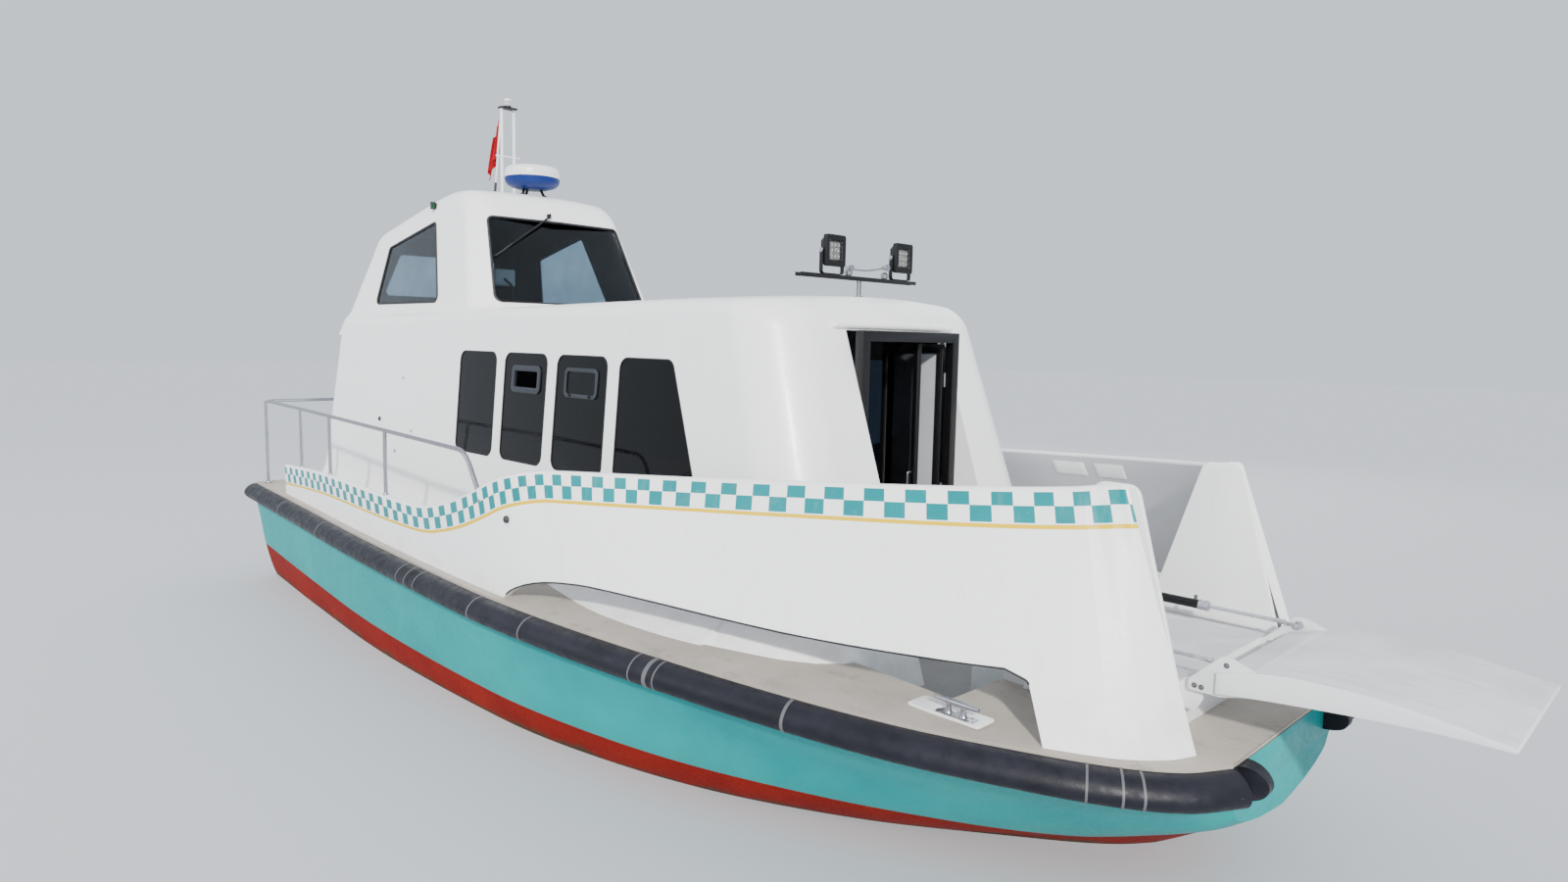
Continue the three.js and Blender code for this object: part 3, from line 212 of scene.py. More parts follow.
# Metres under the bulwark's top edge: where the two rows of squares and the line under them lie.
BAND = {"top": 0.008, "row": 0.0745, "foot": 0.157, "line_top": 0.163, "line_foot": 0.182}


def banded_gelcoat():
    """Bulwark outside: two rows of turquoise squares and a yellow line, laid along the top edge."""
    f = Finish("banded_gelcoat", WHITE, 0.40, Specular_IOR_Level=0.22)
    band = f.node("ShaderNodeUVMap", uv_map="band").outputs[0]
    along, below = f.axis("X", band), f.axis("Y", band)
    row = f.math("FLOOR", f.math("DIVIDE", f.math("SUBTRACT", below, BAND["top"]), BAND["row"]))
    odd = f.math("FLOORED_MODULO", f.math("ADD", row, f.math("FLOOR", along)), 2.0)
    squares = f.math("MULTIPLY", f.math("SUBTRACT", 1.0, odd), f.math("LESS_THAN", below, BAND["foot"]))
    squares = f.math("MULTIPLY", squares, f.math("GREATER_THAN", below, BAND["top"]))
    line_low = f.math("GREATER_THAN", below, BAND["line_top"])
    line = f.math("MULTIPLY", line_low, f.math("LESS_THAN", below, BAND["line_foot"]))
    worn = f.between(f.noise(45, 6, 0.7), 0.68, 0.74)
    turquoise = f.mixed(f.between(f.noise(3, 3), 0.3, 0.7), (0.0, 0.195, 0.215), (0.0, 0.235, 0.255))
    painted = f.mixed(f.math("MULTIPLY", squares, f.math("SUBTRACT", 1.0, worn)), WHITE, turquoise)
    painted = f.mixed(line, painted, (0.80, 0.52, 0.0))
    streaks = f.noise(3.2, 5, 0.6, f.stretched(5, 5, 0.6))
    dirt = f.between(streaks, 0.56, 0.8, 0.0, 0.16)
    low = f.between(f.axis("Z"), 0.86, 1.15, 0.30, 0.0)
    dirt = f.math("ADD", dirt, f.math("MULTIPLY", low, f.between(f.noise(6, 5), 0.42, 0.7)))
    f.color(f.mixed(dirt, painted, (0.50, 0.47, 0.41)))
    f.roughness(f.between(f.noise(60, 2), 0.3, 0.7, 0.32, 0.42))
    f.relief(f.noise(1.3, 2), 0.005, 0.25)
    f.relief(squares, 0.0003, 0.4)
    return f.material


def topside_paint():
    f = Finish("turquoise_topsides", (0.0, 0.27, 0.27), 0.4, Specular_IOR_Level=0.12)
    cloudy = f.between(f.noise(1.4, 5, 0.6), 0.3, 0.7)
    streaks = f.between(f.noise(2.6, 6, 0.7, f.stretched(1, 1, 0.35)), 0.52, 0.78)
    scuffs = f.between(f.noise(9, 8, 0.75, f.stretched(0.4, 0.4, 2.5)), 0.67, 0.73)
    base = f.mixed(cloudy, (0.0, 0.235, 0.245), (0.003, 0.31, 0.305))
    base = f.mixed(f.math("MULTIPLY", streaks, 0.22), base, (0.02, 0.40, 0.39))
    base = f.mixed(f.math("MULTIPLY", scuffs, 0.3), base, (0.20, 0.50, 0.48))
    low = f.between(f.axis("Z"), 0.2, 0.5, 0.4, 0.0)
    f.color(f.mixed(f.math("MULTIPLY", low, streaks), base, (0.04, 0.14, 0.11)))
    f.roughness(f.between(f.noise(40, 3), 0.3, 0.7, 0.34, 0.5))
    f.relief(f.noise(1.1, 2), 0.01, 0.35)
    f.relief(f.noise(35, 4), 0.0006, 0.2)
    return f.material


def bottom_paint():
    f = Finish("red_bottom_paint", (0.20, 0.008, 0.003), 0.7, Specular_IOR_Level=0.12)
    cloudy = f.between(f.noise(2.2, 6, 0.65), 0.3, 0.7)
    base = f.mixed(cloudy, (0.165, 0.004, 0.0015), (0.235, 0.009, 0.003))
    chalk = f.between(f.noise(12, 6, 0.7, f.stretched(0.5, 0.5, 2)), 0.60, 0.76)
    base = f.mixed(f.math("MULTIPLY", chalk, 0.3), base, (0.33, 0.05, 0.025))
    edge = f.math("ADD", f.axis("Z"), f.between(f.noise(6, 4), 0.3, 0.7, -0.03, 0.03))
    slime = f.between(edge, 0.0, 0.055, 0.85, 0.0)
    f.color(f.mixed(slime, base, (0.035, 0.042, 0.02)))
    f.roughness(f.between(f.noise(50, 3), 0.3, 0.7, 0.6, 0.8))
    f.relief(f.noise(60, 5), 0.001, 0.4)
    return f.material


def fender_rubber():
    f = Finish("fender_rubber", (0.004, 0.004, 0.007), 0.45, Specular_IOR_Level=0.28)
    run = f.node("ShaderNodeUVMap", uv_map="run").outputs[0]
    cloudy = f.between(f.noise(5, 5, 0.6), 0.3, 0.7)
    base = f.mixed(cloudy, (0.003, 0.003, 0.006), (0.010, 0.010, 0.017))
    # The upper half of the section is lightened toward blue-grey in patches: part dust, part painted sheen
    # along the lit top.
    dust_and_sheen = f.math(
        "MULTIPLY", f.between(f.axis("Y", run), 0.3, 0.9), f.between(f.noise(4, 6, 0.7), 0.42, 0.68)
    )
    base = f.mixed(f.math("MULTIPLY", dust_and_sheen, 0.3), base, (0.03, 0.03, 0.042))
    scrapes = f.between(f.noise(16, 8, 0.78, f.stretched(0.35, 0.35, 1.6)), 0.64, 0.72)
    base = f.mixed(f.math("MULTIPLY", scrapes, 0.5), base, (0.15, 0.15, 0.165))
    f.color(base)
    f.roughness(f.between(f.noise(20, 4), 0.3, 0.7, 0.34, 0.6))
    f.relief(f.noise(45, 6, 0.6), 0.0025, 0.35)
    f.relief(f.noise(9, 4), 0.004, 0.3)
    return f.material


def deck_coating(name="deck_coating", light=(0.43, 0.385, 0.335), dark=(0.30, 0.265, 0.225)):
    f = Finish(name, light, 0.8)
    base = f.mixed(f.between(f.noise(2.1, 6, 0.62), 0.32, 0.68), light, dark)
    stain = f.between(f.noise(5.5, 6, 0.7, f.stretched(1, 1.8, 1)), 0.56, 0.66)
    base = f.mixed(f.math("MULTIPLY", stain, 0.45), base, (0.15, 0.13, 0.11))
    grit = f.cells(420)
    f.color(f.mixed(f.between(grit, 0.1, 0.5, 0.0, 0.25), base, (0.55, 0.51, 0.46)))
    f.roughness(f.between(f.noise(30, 3), 0.3, 0.7, 0.72, 0.92))
    f.relief(grit, 0.0012, 0.55)
    f.relief(f.noise(25, 4), 0.001, 0.3)
    return f.material


def ramp_coating():
    f = Finish("ramp_coating", (0.66, 0.67, 0.69), 0.55)
    base = f.mixed(f.between(f.noise(3, 6, 0.6), 0.3, 0.7), (0.60, 0.61, 0.635), (0.74, 0.745, 0.76))
    smear = f.between(f.noise(6, 7, 0.7, f.stretched(0.5, 3, 1)), 0.5, 0.72)
    base = f.mixed(f.math("MULTIPLY", smear, 0.45), base, (0.42, 0.415, 0.40))
    grit = f.cells(300)
    f.color(base)
    f.roughness(f.between(f.noise(40, 3), 0.3, 0.7, 0.5, 0.75))
    f.relief(grit, 0.0009, 0.5)
    return f.material


def tinted_glass(name, tint, rough=0.02, clear=1.0):
    f = Finish(name, tint, rough, Transmission_Weight=clear, IOR=1.3, Specular_IOR_Level=0.3)
    f.roughness(f.between(f.noise(14, 4), 0.4, 0.7, rough, rough + 0.05))
    f.color(f.mixed(f.between(f.noise(2.5, 3), 0.3, 0.7), tint, tuple(0.8 * c for c in tint)))
    return f.material


def metal(name, color, rough, grain=0.12):
    f = Finish(name, color, rough, 1.0)
    brushed = f.noise(60, 4, 0.6, f.stretched(1, 1, 12))
    f.roughness(f.between(brushed, 0.3, 0.7, rough - grain / 2, rough + grain))
    dark = tuple(0.72 * c for c in color)
    f.color(f.mixed(f.between(f.noise(18, 5), 0.45, 0.75, 0.0, 0.6), color, dark))
    f.relief(brushed, 0.0002, 0.15)
    return f.material


def plain_coat(name, color, rough, grain=260.0, depth=0.0003, worn=None, **fixed):
    f = Finish(name, color, rough, **fixed)
    shade = tuple(0.8 * c for c in color)
    base = f.mixed(f.between(f.noise(7, 4), 0.3, 0.7, 0.0, 0.7), color, shade)
    if worn:
        base = f.mixed(f.between(f.noise(28, 7, 0.75), 0.66, 0.74, 0.0, 0.6), base, worn)
    f.color(base)
    f.roughness(f.between(f.noise(35, 3), 0.3, 0.7, rough * 0.85, min(1.0, rough * 1.2)))
    f.relief(f.noise(grain, 3), depth, 0.4)
    return f.material


def vinyl():
    f = Finish("seat_vinyl", (0.03, 0.07, 0.17), 0.42, Sheen_Weight=0.1)
    f.color(f.mixed(f.between(f.noise(5, 4), 0.3, 0.7), (0.022, 0.05, 0.13), (0.04, 0.085, 0.20)))
    grain = f.cells(260)
    f.roughness(f.between(grain, 0.0, 0.5, 0.34, 0.52))
    f.relief(grain, 0.0006, 0.5)
    return f.material


def flag_cloth():
    f = Finish("flag_cloth", (0.30, 0.0, 0.005), 0.8, Sheen_Weight=0.1, Specular_IOR_Level=0.2)
    cut = f.node("ShaderNodeUVMap", uv_map="cut").outputs[0]
    warp = f.node("ShaderNodeTexWave", {"Vector": cut, "Scale": 210.0}, bands_direction="X").outputs["Fac"]
    weft = f.node("ShaderNodeTexWave", {"Vector": cut, "Scale": 210.0}, bands_direction="Y").outputs["Fac"]
    weave = f.math("MULTIPLY", warp, weft)
    hem = f.math("LESS_THAN", f.axis("X", cut), 0.018)
    red = f.mixed(f.between(f.noise(9, 4), 0.3, 0.7), (0.24, 0.0, 0.005), (0.38, 0.0, 0.006))
    f.color(f.mixed(hem, red, (0.62, 0.60, 0.58)))
    f.roughness(f.between(weave, 0, 1, 0.72, 0.9))
    f.relief(weave, 0.0004, 0.4)
    return f.material


def lamp_reflector():
    """Rows of small bright cells behind the lamp's glass."""
    f = Finish("lamp_reflector", (0.62, 0.60, 0.52), 0.16, 0.35)
    cells = f.cells(60)
    f.color(f.mixed(f.between(cells, 0.1, 0.6), (0.80, 0.78, 0.70), (0.42, 0.40, 0.34)))
    f.roughness(f.between(cells, 0.0, 0.6, 0.12, 0.3))
    f.relief(cells, 0.002, 0.5)
    return f.material


FINISHES = {
    "gelcoat": gelcoat(foot=0.86),
    "band": banded_gelcoat(),
    # A grey copy of the white gelcoat for the bulwark's inner face: painted shade, for the darker look of the
    # shaded inner face.
    "inner_gelcoat": gelcoat("grey_inner_gelcoat", (0.55, 0.565, 0.60), (0.36, 0.35, 0.33), foot=0.8),
    "topside": topside_paint(),
    "bottom": bottom_paint(),
    "fender": fender_rubber(),
    "fender_band": plain_coat("fender_band", (0.11, 0.11, 0.12), 0.5, worn=(0.03, 0.03, 0.035)),
    "deck": deck_coating(),
    "sole": deck_coating("sole_coating", (0.33, 0.33, 0.33), (0.22, 0.22, 0.22)),
    "ramp": ramp_coating(),
    "ramp_white": gelcoat("ramp_white", (0.80, 0.805, 0.81), (0.45, 0.43, 0.39)),
    "dark_glass": tinted_glass("side_window_glass", (0.014, 0.020, 0.030)),
    "clear_glass": tinted_glass("wheelhouse_glass", (0.50, 0.62, 0.70)),
    "smoked_glass": tinted_glass("door_glass", (0.12, 0.12, 0.13)),
    "gasket": plain_coat("window_gasket", (0.012, 0.012, 0.014), 0.55, 120, 0.0006),
    "steel": metal("polished_rail", (0.40, 0.41, 0.44), 0.24),
    "dark_steel": metal("bolt_steel", (0.22, 0.22, 0.23), 0.34),
    "chrome": metal("cylinder_chrome", (0.72, 0.73, 0.75), 0.1, 0.05),
    "black": plain_coat(
        "black_frame_paint", (0.007, 0.007, 0.008), 0.45, worn=(0.04, 0.04, 0.04), Specular_IOR_Level=0.3
    ),
    "gloss_black": plain_coat(
        "black_powder_coat", (0.005, 0.005, 0.006), 0.35, worn=(0.035, 0.035, 0.035), Specular_IOR_Level=0.3
    ),
    "window_frame": plain_coat("window_frame_grey", (0.016, 0.020, 0.028), 0.45),
    # Opaque pale grey fill for the jamb leaf's panes, used in place of glass: a painted reflection of the
    # white wall.
    "door_pane_painted_reflection": plain_coat("door_panel_grey", (0.40, 0.415, 0.44), 0.3, 40, 0.0002, Coat_Weight=0.2),
    "console": plain_coat("console_moulding", (0.05, 0.052, 0.055), 0.55, 420, 0.0006),
    "bench": plain_coat("bench_moulding", (0.36, 0.35, 0.34), 0.5, 300, 0.0004),
    "dark_lining": plain_coat(
        "wheelhouse_lining", (0.008, 0.008, 0.012), 0.8, 380, 0.0005, Specular_IOR_Level=0.2
    ),
    "vinyl_piping": plain_coat("seat_piping", (0.10, 0.12, 0.16), 0.5, 300, 0.0003),
    "radar_white": plain_coat("radar_white", (0.86, 0.87, 0.88), 0.3, 400, 0.0002, Coat_Weight=0.2),
    "lamp_cup": metal("lamp_cups", (0.82, 0.80, 0.72), 0.14, 0.05),
    "black_plastic": plain_coat("black_moulding", (0.03, 0.03, 0.032), 0.5, 500, 0.0005),
    "bronze": metal("cast_bronze", (0.50, 0.31, 0.12), 0.38, 0.2),
    "vinyl": vinyl(),
    "lining": plain_coat("cabin_lining", (0.30, 0.295, 0.285), 0.62, 380, 0.0005),
    "mast_paint": gelcoat("mast_paint", (0.84, 0.85, 0.86), (0.5, 0.48, 0.45)),
    "radar_blue": plain_coat("radar_blue", (0.004, 0.022, 0.17), 0.4, Specular_IOR_Level=0.3),
    "flag": flag_cloth(),
    "lamp_face": lamp_reflector(),
    "lamp_glass": tinted_glass("lamp_glass", (0.93, 0.94, 0.95)),
    "screen": plain_coat("screen_glass", (0.16, 0.18, 0.19), 0.12, 30, 0.0001, Coat_Weight=0.6),
    "bezel": plain_coat("monitor_case", (0.46, 0.47, 0.48), 0.45),
    "engine": plain_coat("engine_paint", (0.10, 0.15, 0.18), 0.5, worn=(0.3, 0.2, 0.12)),
    "lens_red": plain_coat("port_lens", (0.11, 0.004, 0.004), 0.12, Transmission_Weight=0.3),
    "lens_green": plain_coat("starboard_lens", (0.004, 0.07, 0.025), 0.12, Transmission_Weight=0.3),
    "lens_white": plain_coat("mast_lens", (0.85, 0.86, 0.87), 0.1, Transmission_Weight=0.5),
}


# ---------------------------------------------------------------- mesh making

# Pieces are worked on in a small scene of their own, so that each step is quick, and moved over when
# finished.
WORKSHOP = bpy.data.scenes.new("workshop")


def new_object(name, verts, faces, edges=()):
    mesh = bpy.data.meshes.new(name)
    placed = [(v[0] - HALF_HULL, v[1], v[2]) for v in verts]
    mesh.from_pydata(placed, edges, faces)
    made = bpy.data.objects.new(name, mesh)
    WORKSHOP.collection.objects.link(made)
    return made


def outward(thing, merge=1e-5):
    work = bmesh.new()
    work.from_mesh(thing.data)
    bmesh.ops.remove_doubles(work, verts=work.verts, dist=merge)
    bmesh.ops.recalc_face_normals(work, faces=work.faces)
    work.to_mesh(thing.data)
    work.free()
    return thing


def smoothed(thing, angle=35):
    thing.data.shade_smooth()
    thing.data.set_sharp_from_angle(angle=math.radians(angle))
    return thing


def settled(thing):
    """The object with its modifiers turned into plain mesh."""
    layer = WORKSHOP.view_layers[0]
    layer.update()
    result = bpy.data.meshes.new_from_object(thing.evaluated_get(layer.depsgraph))
    thing.modifiers.clear()
    old = thing.data
    thing.data = result
    result.name = thing.name
    bpy.data.meshes.remove(old)
    return thing


def beveled(thing, width, segments=3, angle=35):
    edge = thing.modifiers.new("edge", "BEVEL")
    edge.width, edge.segments, edge.limit_method = width, segments, "ANGLE"
    edge.angle_limit = math.radians(angle)
    edge.use_clamp_overlap = True
    return settled(thing)


def combined(thing, tool, how="DIFFERENCE"):
    step = thing.modifiers.new("step", "BOOLEAN")
    step.object, step.operation, step.solver = tool, how, "MANIFOLD"
    settled(thing)
    bpy.data.objects.remove(tool)
    return thing


def coated(thing, *keys):
    """Gives a piece its coats; each face keeps its coat number, as far as there are that many coats."""
    numbers = [min(face.material_index, len(keys) - 1) for face in thing.data.polygons]
    thing.data.materials.clear()
    for key in keys:
        thing.data.materials.append(FINISHES[key])
    for face, number in zip(thing.data.polygons, numbers):
        face.material_index = number
    return thing


def numbered(thing, number, *keys):
    """Gives a tool's faces the coat number that its cut will carry."""
    for face in thing.data.polygons:
        face.material_index = number
    return coated(thing, *keys)


def shown(thing, finish, body="boat", replaces=(), angle=35):
    """Hands a finished piece to the frame: its coat, its body and the node that it stands for."""
    if finish:
        coated(thing, finish)
    if angle:
        smoothed(thing, angle)
    WORKSHOP.collection.objects.unlink(thing)
    bpy.context.collection.objects.link(thing)
    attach(thing, body)
    if replaces:
        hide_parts(*replaces)
    return thing


def skinned(rings, caps=True):
    """Verts and faces through closed rings of like length."""
    count = len(rings[0])
    verts = [p for ring in rings for p in ring]
    faces = []
    for r in range(len(rings) - 1):
        for k in range(count):
            a, b = r * count + k, r * count + (k + 1) % count
            faces.append((a, b, b + count, a + count))
    if caps:
        faces.append(tuple(reversed(range(count))))
        faces.append(tuple(range((len(rings) - 1) * count, len(rings) * count)))
    return verts, faces


def lofted(name, rings):
    return outward(new_object(name, *skinned(rings)))


def slab(name, outline, low, high, flat="y"):
    """A flat outline given thickness across the named axis."""
    place = {
        "x": lambda p, d: (d, p[0], p[1]),
        "y": lambda p, d: (p[0], d, p[1]),
        "z": lambda p, d: (p[0], p[1], d),
    }[flat]
    return lofted(name, [[place(p, d) for p in outline] for d in (low, high)])


def box(name, x, y, z):
    return slab(name, [(x[0], y[0]), (x[1], y[0]), (x[1], y[1]), (x[0], y[1])], z[0], z[1], "z")


def rounded_outline(corners, steps=6):
    """Corners as (u, v, radius), turned into arcs."""
    points = []
    for i, (u, v, radius) in enumerate(corners):
        here = Vector((u, v))
        if radius <= 0:
            points.append((u, v))
            continue
        before = (Vector(corners[i - 1][:2]) - here).normalized()
        after = (Vector(corners[(i + 1) % len(corners)][:2]) - here).normalized()
        half = math.acos(max(-1, min(1, before.dot(after)))) / 2
        middle = here + (before + after).normalized() * (radius / math.sin(half))
        start = here + before * (radius / math.tan(half)) - middle
        end = here + after * (radius / math.tan(half)) - middle
        first = math.atan2(start.y, start.x)
        sweep = (math.atan2(end.y, end.x) - first + math.pi) % (2 * math.pi) - math.pi
        for k in range(steps + 1):
            turn = first + sweep * k / steps
            points.append((middle.x + radius * math.cos(turn), middle.y + radius * math.sin(turn)))
    return points


def rectangle(u, v, corner, steps):
    """A rectangle with round corners, from its two spans."""
    return rounded_outline(
        [(u[0], v[0], corner), (u[1], v[0], corner), (u[1], v[1], corner), (u[0], v[1], corner)], steps
    )


def curve_through(points, steps=8):
    """A smooth curve through points of any dimension."""
    rows = [np.array(p, float) for p in points]
    rows = [2 * rows[0] - rows[1]] + rows + [2 * rows[-1] - rows[-2]]
    made = []
    for a, b, c, d in zip(rows, rows[1:], rows[2:], rows[3:]):
        for t in np.linspace(0, 1, steps, endpoint=False):
            made.append(
                0.5
                * (2 * b + (c - a) * t + (2 * a - 5 * b + 4 * c - d) * t**2 + (3 * b - a - 3 * c + d) * t**3)
            )
    made.append(rows[-2])
    return [tuple(p) for p in made]


def filleted_path(points, radius, steps=6):
    """A path of straight runs with round bends."""
    made = [Vector(points[0])]
    for a, b, c in zip(points, points[1:], points[2:]):
        a, b, c = Vector(a), Vector(b), Vector(c)
        back, ahead = (a - b), (c - b)
        reach = min(radius, back.length * 0.45, ahead.length * 0.45)
        start, end = b + back.normalized() * reach, b + ahead.normalized() * reach
        for k in range(steps + 1):
            t = k / steps
            made.append((1 - t) ** 2 * start + 2 * t * (1 - t) * b + t**2 * end)
    made.append(Vector(points[-1]))
    return [tuple(p) for p in made]


def turned_rings(rows, axis_from, axis_to, sides):
    """Rings round an axis, from rows of (distance along it, radius)."""
    start, along = Vector(axis_from), (Vector(axis_to) - Vector(axis_from)).normalized()
    side = along.orthogonal().normalized()
    other = along.cross(side)
    turns = [2 * math.pi * k / sides for k in range(sides)]
    return [
        [tuple(start + along * distance + radius * (math.cos(a) * side + math.sin(a) * other)) for a in turns]
        for distance, radius in rows
    ]


def turned_body(name, profile, axis_from, axis_to, sides=32):
    """A solid turned shape: rows of (distance along the axis, radius)."""
    return lofted(name, turned_rings(profile, axis_from, axis_to, sides))


def turned_loop(name, loop, axis_from, axis_to, sides=32):
    """A hollow turned shape whose section is a closed loop of (distance, radius)."""
    rows = [(distance, max(radius, 1e-6)) for distance, radius in loop + loop[:1]]
    made = new_object(name, *skinned(turned_rings(rows, axis_from, axis_to, sides), caps=False))
    work = bmesh.new()
    work.from_mesh(made.data)
    bmesh.ops.remove_doubles(work, verts=work.verts, dist=1e-5)
    bmesh.ops.dissolve_degenerate(work, dist=1e-6, edges=work.edges)
    bmesh.ops.recalc_face_normals(work, faces=work.faces)
    work.to_mesh(made.data)
    work.free()
    return made


def joined_pieces(name, things):
    """Several loose closed shapes kept in one mesh."""
    work = bmesh.new()
    for thing in things:
        work.from_mesh(thing.data)
        bpy.data.objects.remove(thing)
    mesh = bpy.data.meshes.new(name)
    work.to_mesh(mesh)
    work.free()
    made = bpy.data.objects.new(name, mesh)
    WORKSHOP.collection.objects.link(made)
    return made


def united(name, things):
    """Several closed shapes made one closed shape."""
    first = things[0]
    for other in things[1:]:
        combined(first, other, "UNION")
    first.name = name
    first.data.name = name
    return first


def node_copy(node, width, segments=2):
    """A merged copy of a frame node, with softened edges."""
    source = frame["nodes"][node]
    made = bpy.data.objects.new(node + "_finished", source.data.copy())
    WORKSHOP.collection.objects.link(made)
    work = bmesh.new()
    work.from_mesh(made.data)
    bmesh.ops.remove_doubles(work, verts=work.verts, dist=2e-5)
    bmesh.ops.dissolve_limit(work, angle_limit=math.radians(1.0), verts=work.verts, edges=work.edges)
    work.to_mesh(made.data)
    work.free()
    return beveled(made, width, segments, 40)


# ---------------------------------------------------------------- repeats and paths by geometry nodes

def node_group(name, **inputs):
    """A geometry node group with inputs of the given kinds and one shape out."""
    tree = bpy.data.node_groups.new(name, "GeometryNodeTree")
    for key, kind in {"Geometry": "Geometry", **inputs}.items():
        tree.interface.new_socket(key, in_out="INPUT", socket_type="NodeSocket" + kind)
    tree.interface.new_socket("Geometry", in_out="OUTPUT", socket_type="NodeSocketGeometry")
    return tree


def wired(tree, start, made, *sockets):
    """Joins the sockets in pairs; then the made shape becomes real, gets its coat and goes out."""
    real = tree.nodes.new("GeometryNodeRealizeInstances")
    coat = tree.nodes.new("GeometryNodeSetMaterial")
    end = tree.nodes.new("NodeGroupOutput").inputs
    sockets += (made, real.inputs[0], real.outputs[0], coat.inputs["Geometry"])
    sockets += (start["Coat"], coat.inputs["Material"], coat.outputs[0], end[0])
    for a, b in zip(sockets[::2], sockets[1::2]):
        tree.links.new(a, b)
    return tree


def tube_tree():
    """Sweeps a round profile along a line of edges."""
    tree = node_group("tube_along_path", Radius="Float", Sides="Int", Coat="Material")
    start = tree.nodes.new("NodeGroupInput").outputs
    path = tree.nodes.new("GeometryNodeMeshToCurve")
    ring = tree.nodes.new("GeometryNodeCurvePrimitiveCircle")
    sweep = tree.nodes.new("GeometryNodeCurveToMesh")
    sweep.inputs["Fill Caps"].default_value = True
    return wired(
        tree, start, sweep.outputs[0],
        start["Geometry"], path.inputs["Mesh"],
        start["Radius"], ring.inputs["Radius"],
        start["Sides"], ring.inputs["Resolution"],
        path.outputs[0], sweep.inputs["Curve"],
        ring.outputs[0], sweep.inputs["Profile Curve"],
    )


def repeat_tree():
    """Sets one shape on every point, turned the way that the point faces."""
    tree = node_group("repeat_on_points", Shape="Object", Scale="Float", Coat="Material")
    start = tree.nodes.new("NodeGroupInput").outputs
    shape = tree.nodes.new("GeometryNodeObjectInfo")
    facing = tree.nodes.new("GeometryNodeInputNamedAttribute")
    facing.data_type = "FLOAT_VECTOR"
    facing.inputs["Name"].default_value = "facing"
    turn = tree.nodes.new("FunctionNodeAlignRotationToVector")
    turn.axis = "Z"
    spots = tree.nodes.new("GeometryNodeInstanceOnPoints")
    return wired(
        tree, start, spots.outputs[0],
        start["Shape"], shape.inputs["Object"],
        start["Geometry"], spots.inputs["Points"],
        shape.outputs["Geometry"], spots.inputs["Instance"],
        facing.outputs["Attribute"], turn.inputs["Vector"],
        turn.outputs[0], spots.inputs["Rotation"],
        start["Scale"], spots.inputs["Scale"],
    )


TUBE = tube_tree()
REPEAT = repeat_tree()


def with_inputs(thing, tree, **values):
    step = thing.modifiers.new("maker", "NODES")
    step.node_group = tree
    for item in tree.interface.items_tree:
        if item.in_out == "INPUT" and item.name in values:
            step[item.identifier] = values[item.name]
    return settled(thing)


def tube(name, path, radius, finish, sides=16, closed=False):
    """A round bar along a path, or round a closed ring."""
    count = len(path)
    edges = [(i, (i + 1) % count) for i in range(count if closed else count - 1)]
    line = new_object(name, path, [], edges)
    return outward(with_inputs(line, TUBE, Radius=radius, Sides=sides, Coat=FINISHES[finish]))


def repeated(name, shape, spots, finish, scale=1.0):
    """spots: rows of (place, facing)."""
    points = new_object(name, [p for p, _ in spots], [])
    way = points.data.attributes.new("facing", "FLOAT_VECTOR", "POINT")
    for i, (_, facing) in enumerate(spots):
        way.data[i].vector = Vector(facing).normalized()
    return with_inputs(points, REPEAT, Shape=shape, Scale=scale, Coat=FINISHES[finish])


def shape_for_repeats(name, profile, sides=16):
    """A small turned shape that stands on the origin, along Z. It isn't a piece itself."""
    made = turned_body(name, profile, (HALF_HULL, 0, 0), (HALF_HULL, 0, 1), sides)
    made.hide_render = True
    smoothed(made)
    return made


# ---------------------------------------------------------------- the boat's own curves

DECK_PLATE = 0.020
FENDER_BACK = 0.150
SOLE = 0.620
PROPELLER_AT = (0.760, 0, -0.760)
SHAFT_RISE, SHAFT_RUN = 200, 1090
WELL = {"aft": 0.760, "fore": 7.980, "half": 0.985}
HULL_LENGTH = 9.130

STATIONS = {
    "x": (0, 1.5, 3.2, 5.0, 5.8, 6.6, 7.4, 8.0, 8.45, 8.8, 9.02, 9.13),
    "deck": (1.68, 1.75, 1.84, 1.87, 1.82, 1.72, 1.57, 1.40, 1.22, 1.04, 0.85, 0.65),
    "sheer": (0.95, 0.93, 0.91, 0.88, 0.865, 0.85, 0.83, 0.81, 0.80, 0.79, 0.78, 0.775),
    "mid": (1.61, 1.70, 1.785, 1.765, 1.68, 1.51, 1.23, 0.97, 0.79, 0.69, 0.62, 0.56),
    "mid_z": (0.36, 0.32, 0.29, 0.26, 0.25, 0.24, 0.24, 0.26, 0.32, 0.40, 0.47, 0.53),
    "chine": (1.46, 1.56, 1.62, 1.54, 1.41, 1.19, 0.85, 0.56, 0.39, 0.33, 0.31, 0.30),
    "chine_z": (-0.12, -0.15, -0.18, -0.16, -0.13, -0.09, -0.04, 0.03, 0.13, 0.27, 0.38, 0.455),
    "keel": (-0.40, -0.47, -0.53, -0.56, -0.56, -0.53, -0.43, -0.26, -0.06, 0.16, 0.32, 0.42),
}
PAINT_LINE = [(-0.2, 0.340), (1.5, 0.285), (3.5, 0.235), (6.0, 0.215), (9.6, 0.205)]

BULWARK = {"thick": 0.045, "aft": 0.860, "stands": 0.870}
BULWARK_TOP = [
    (0.70, 1.226), (2.10, 1.288), (3.50, 1.290), (4.07, 1.303), (4.36, 1.349), (4.64, 1.421), (4.90, 1.513),
    (5.16, 1.615), (5.44, 1.679), (5.72, 1.701), (6.50, 1.733), (7.20, 1.777), (8.00, 1.828), (8.40, 1.858),
    (8.65, 1.890), (9.30, 1.930),
]
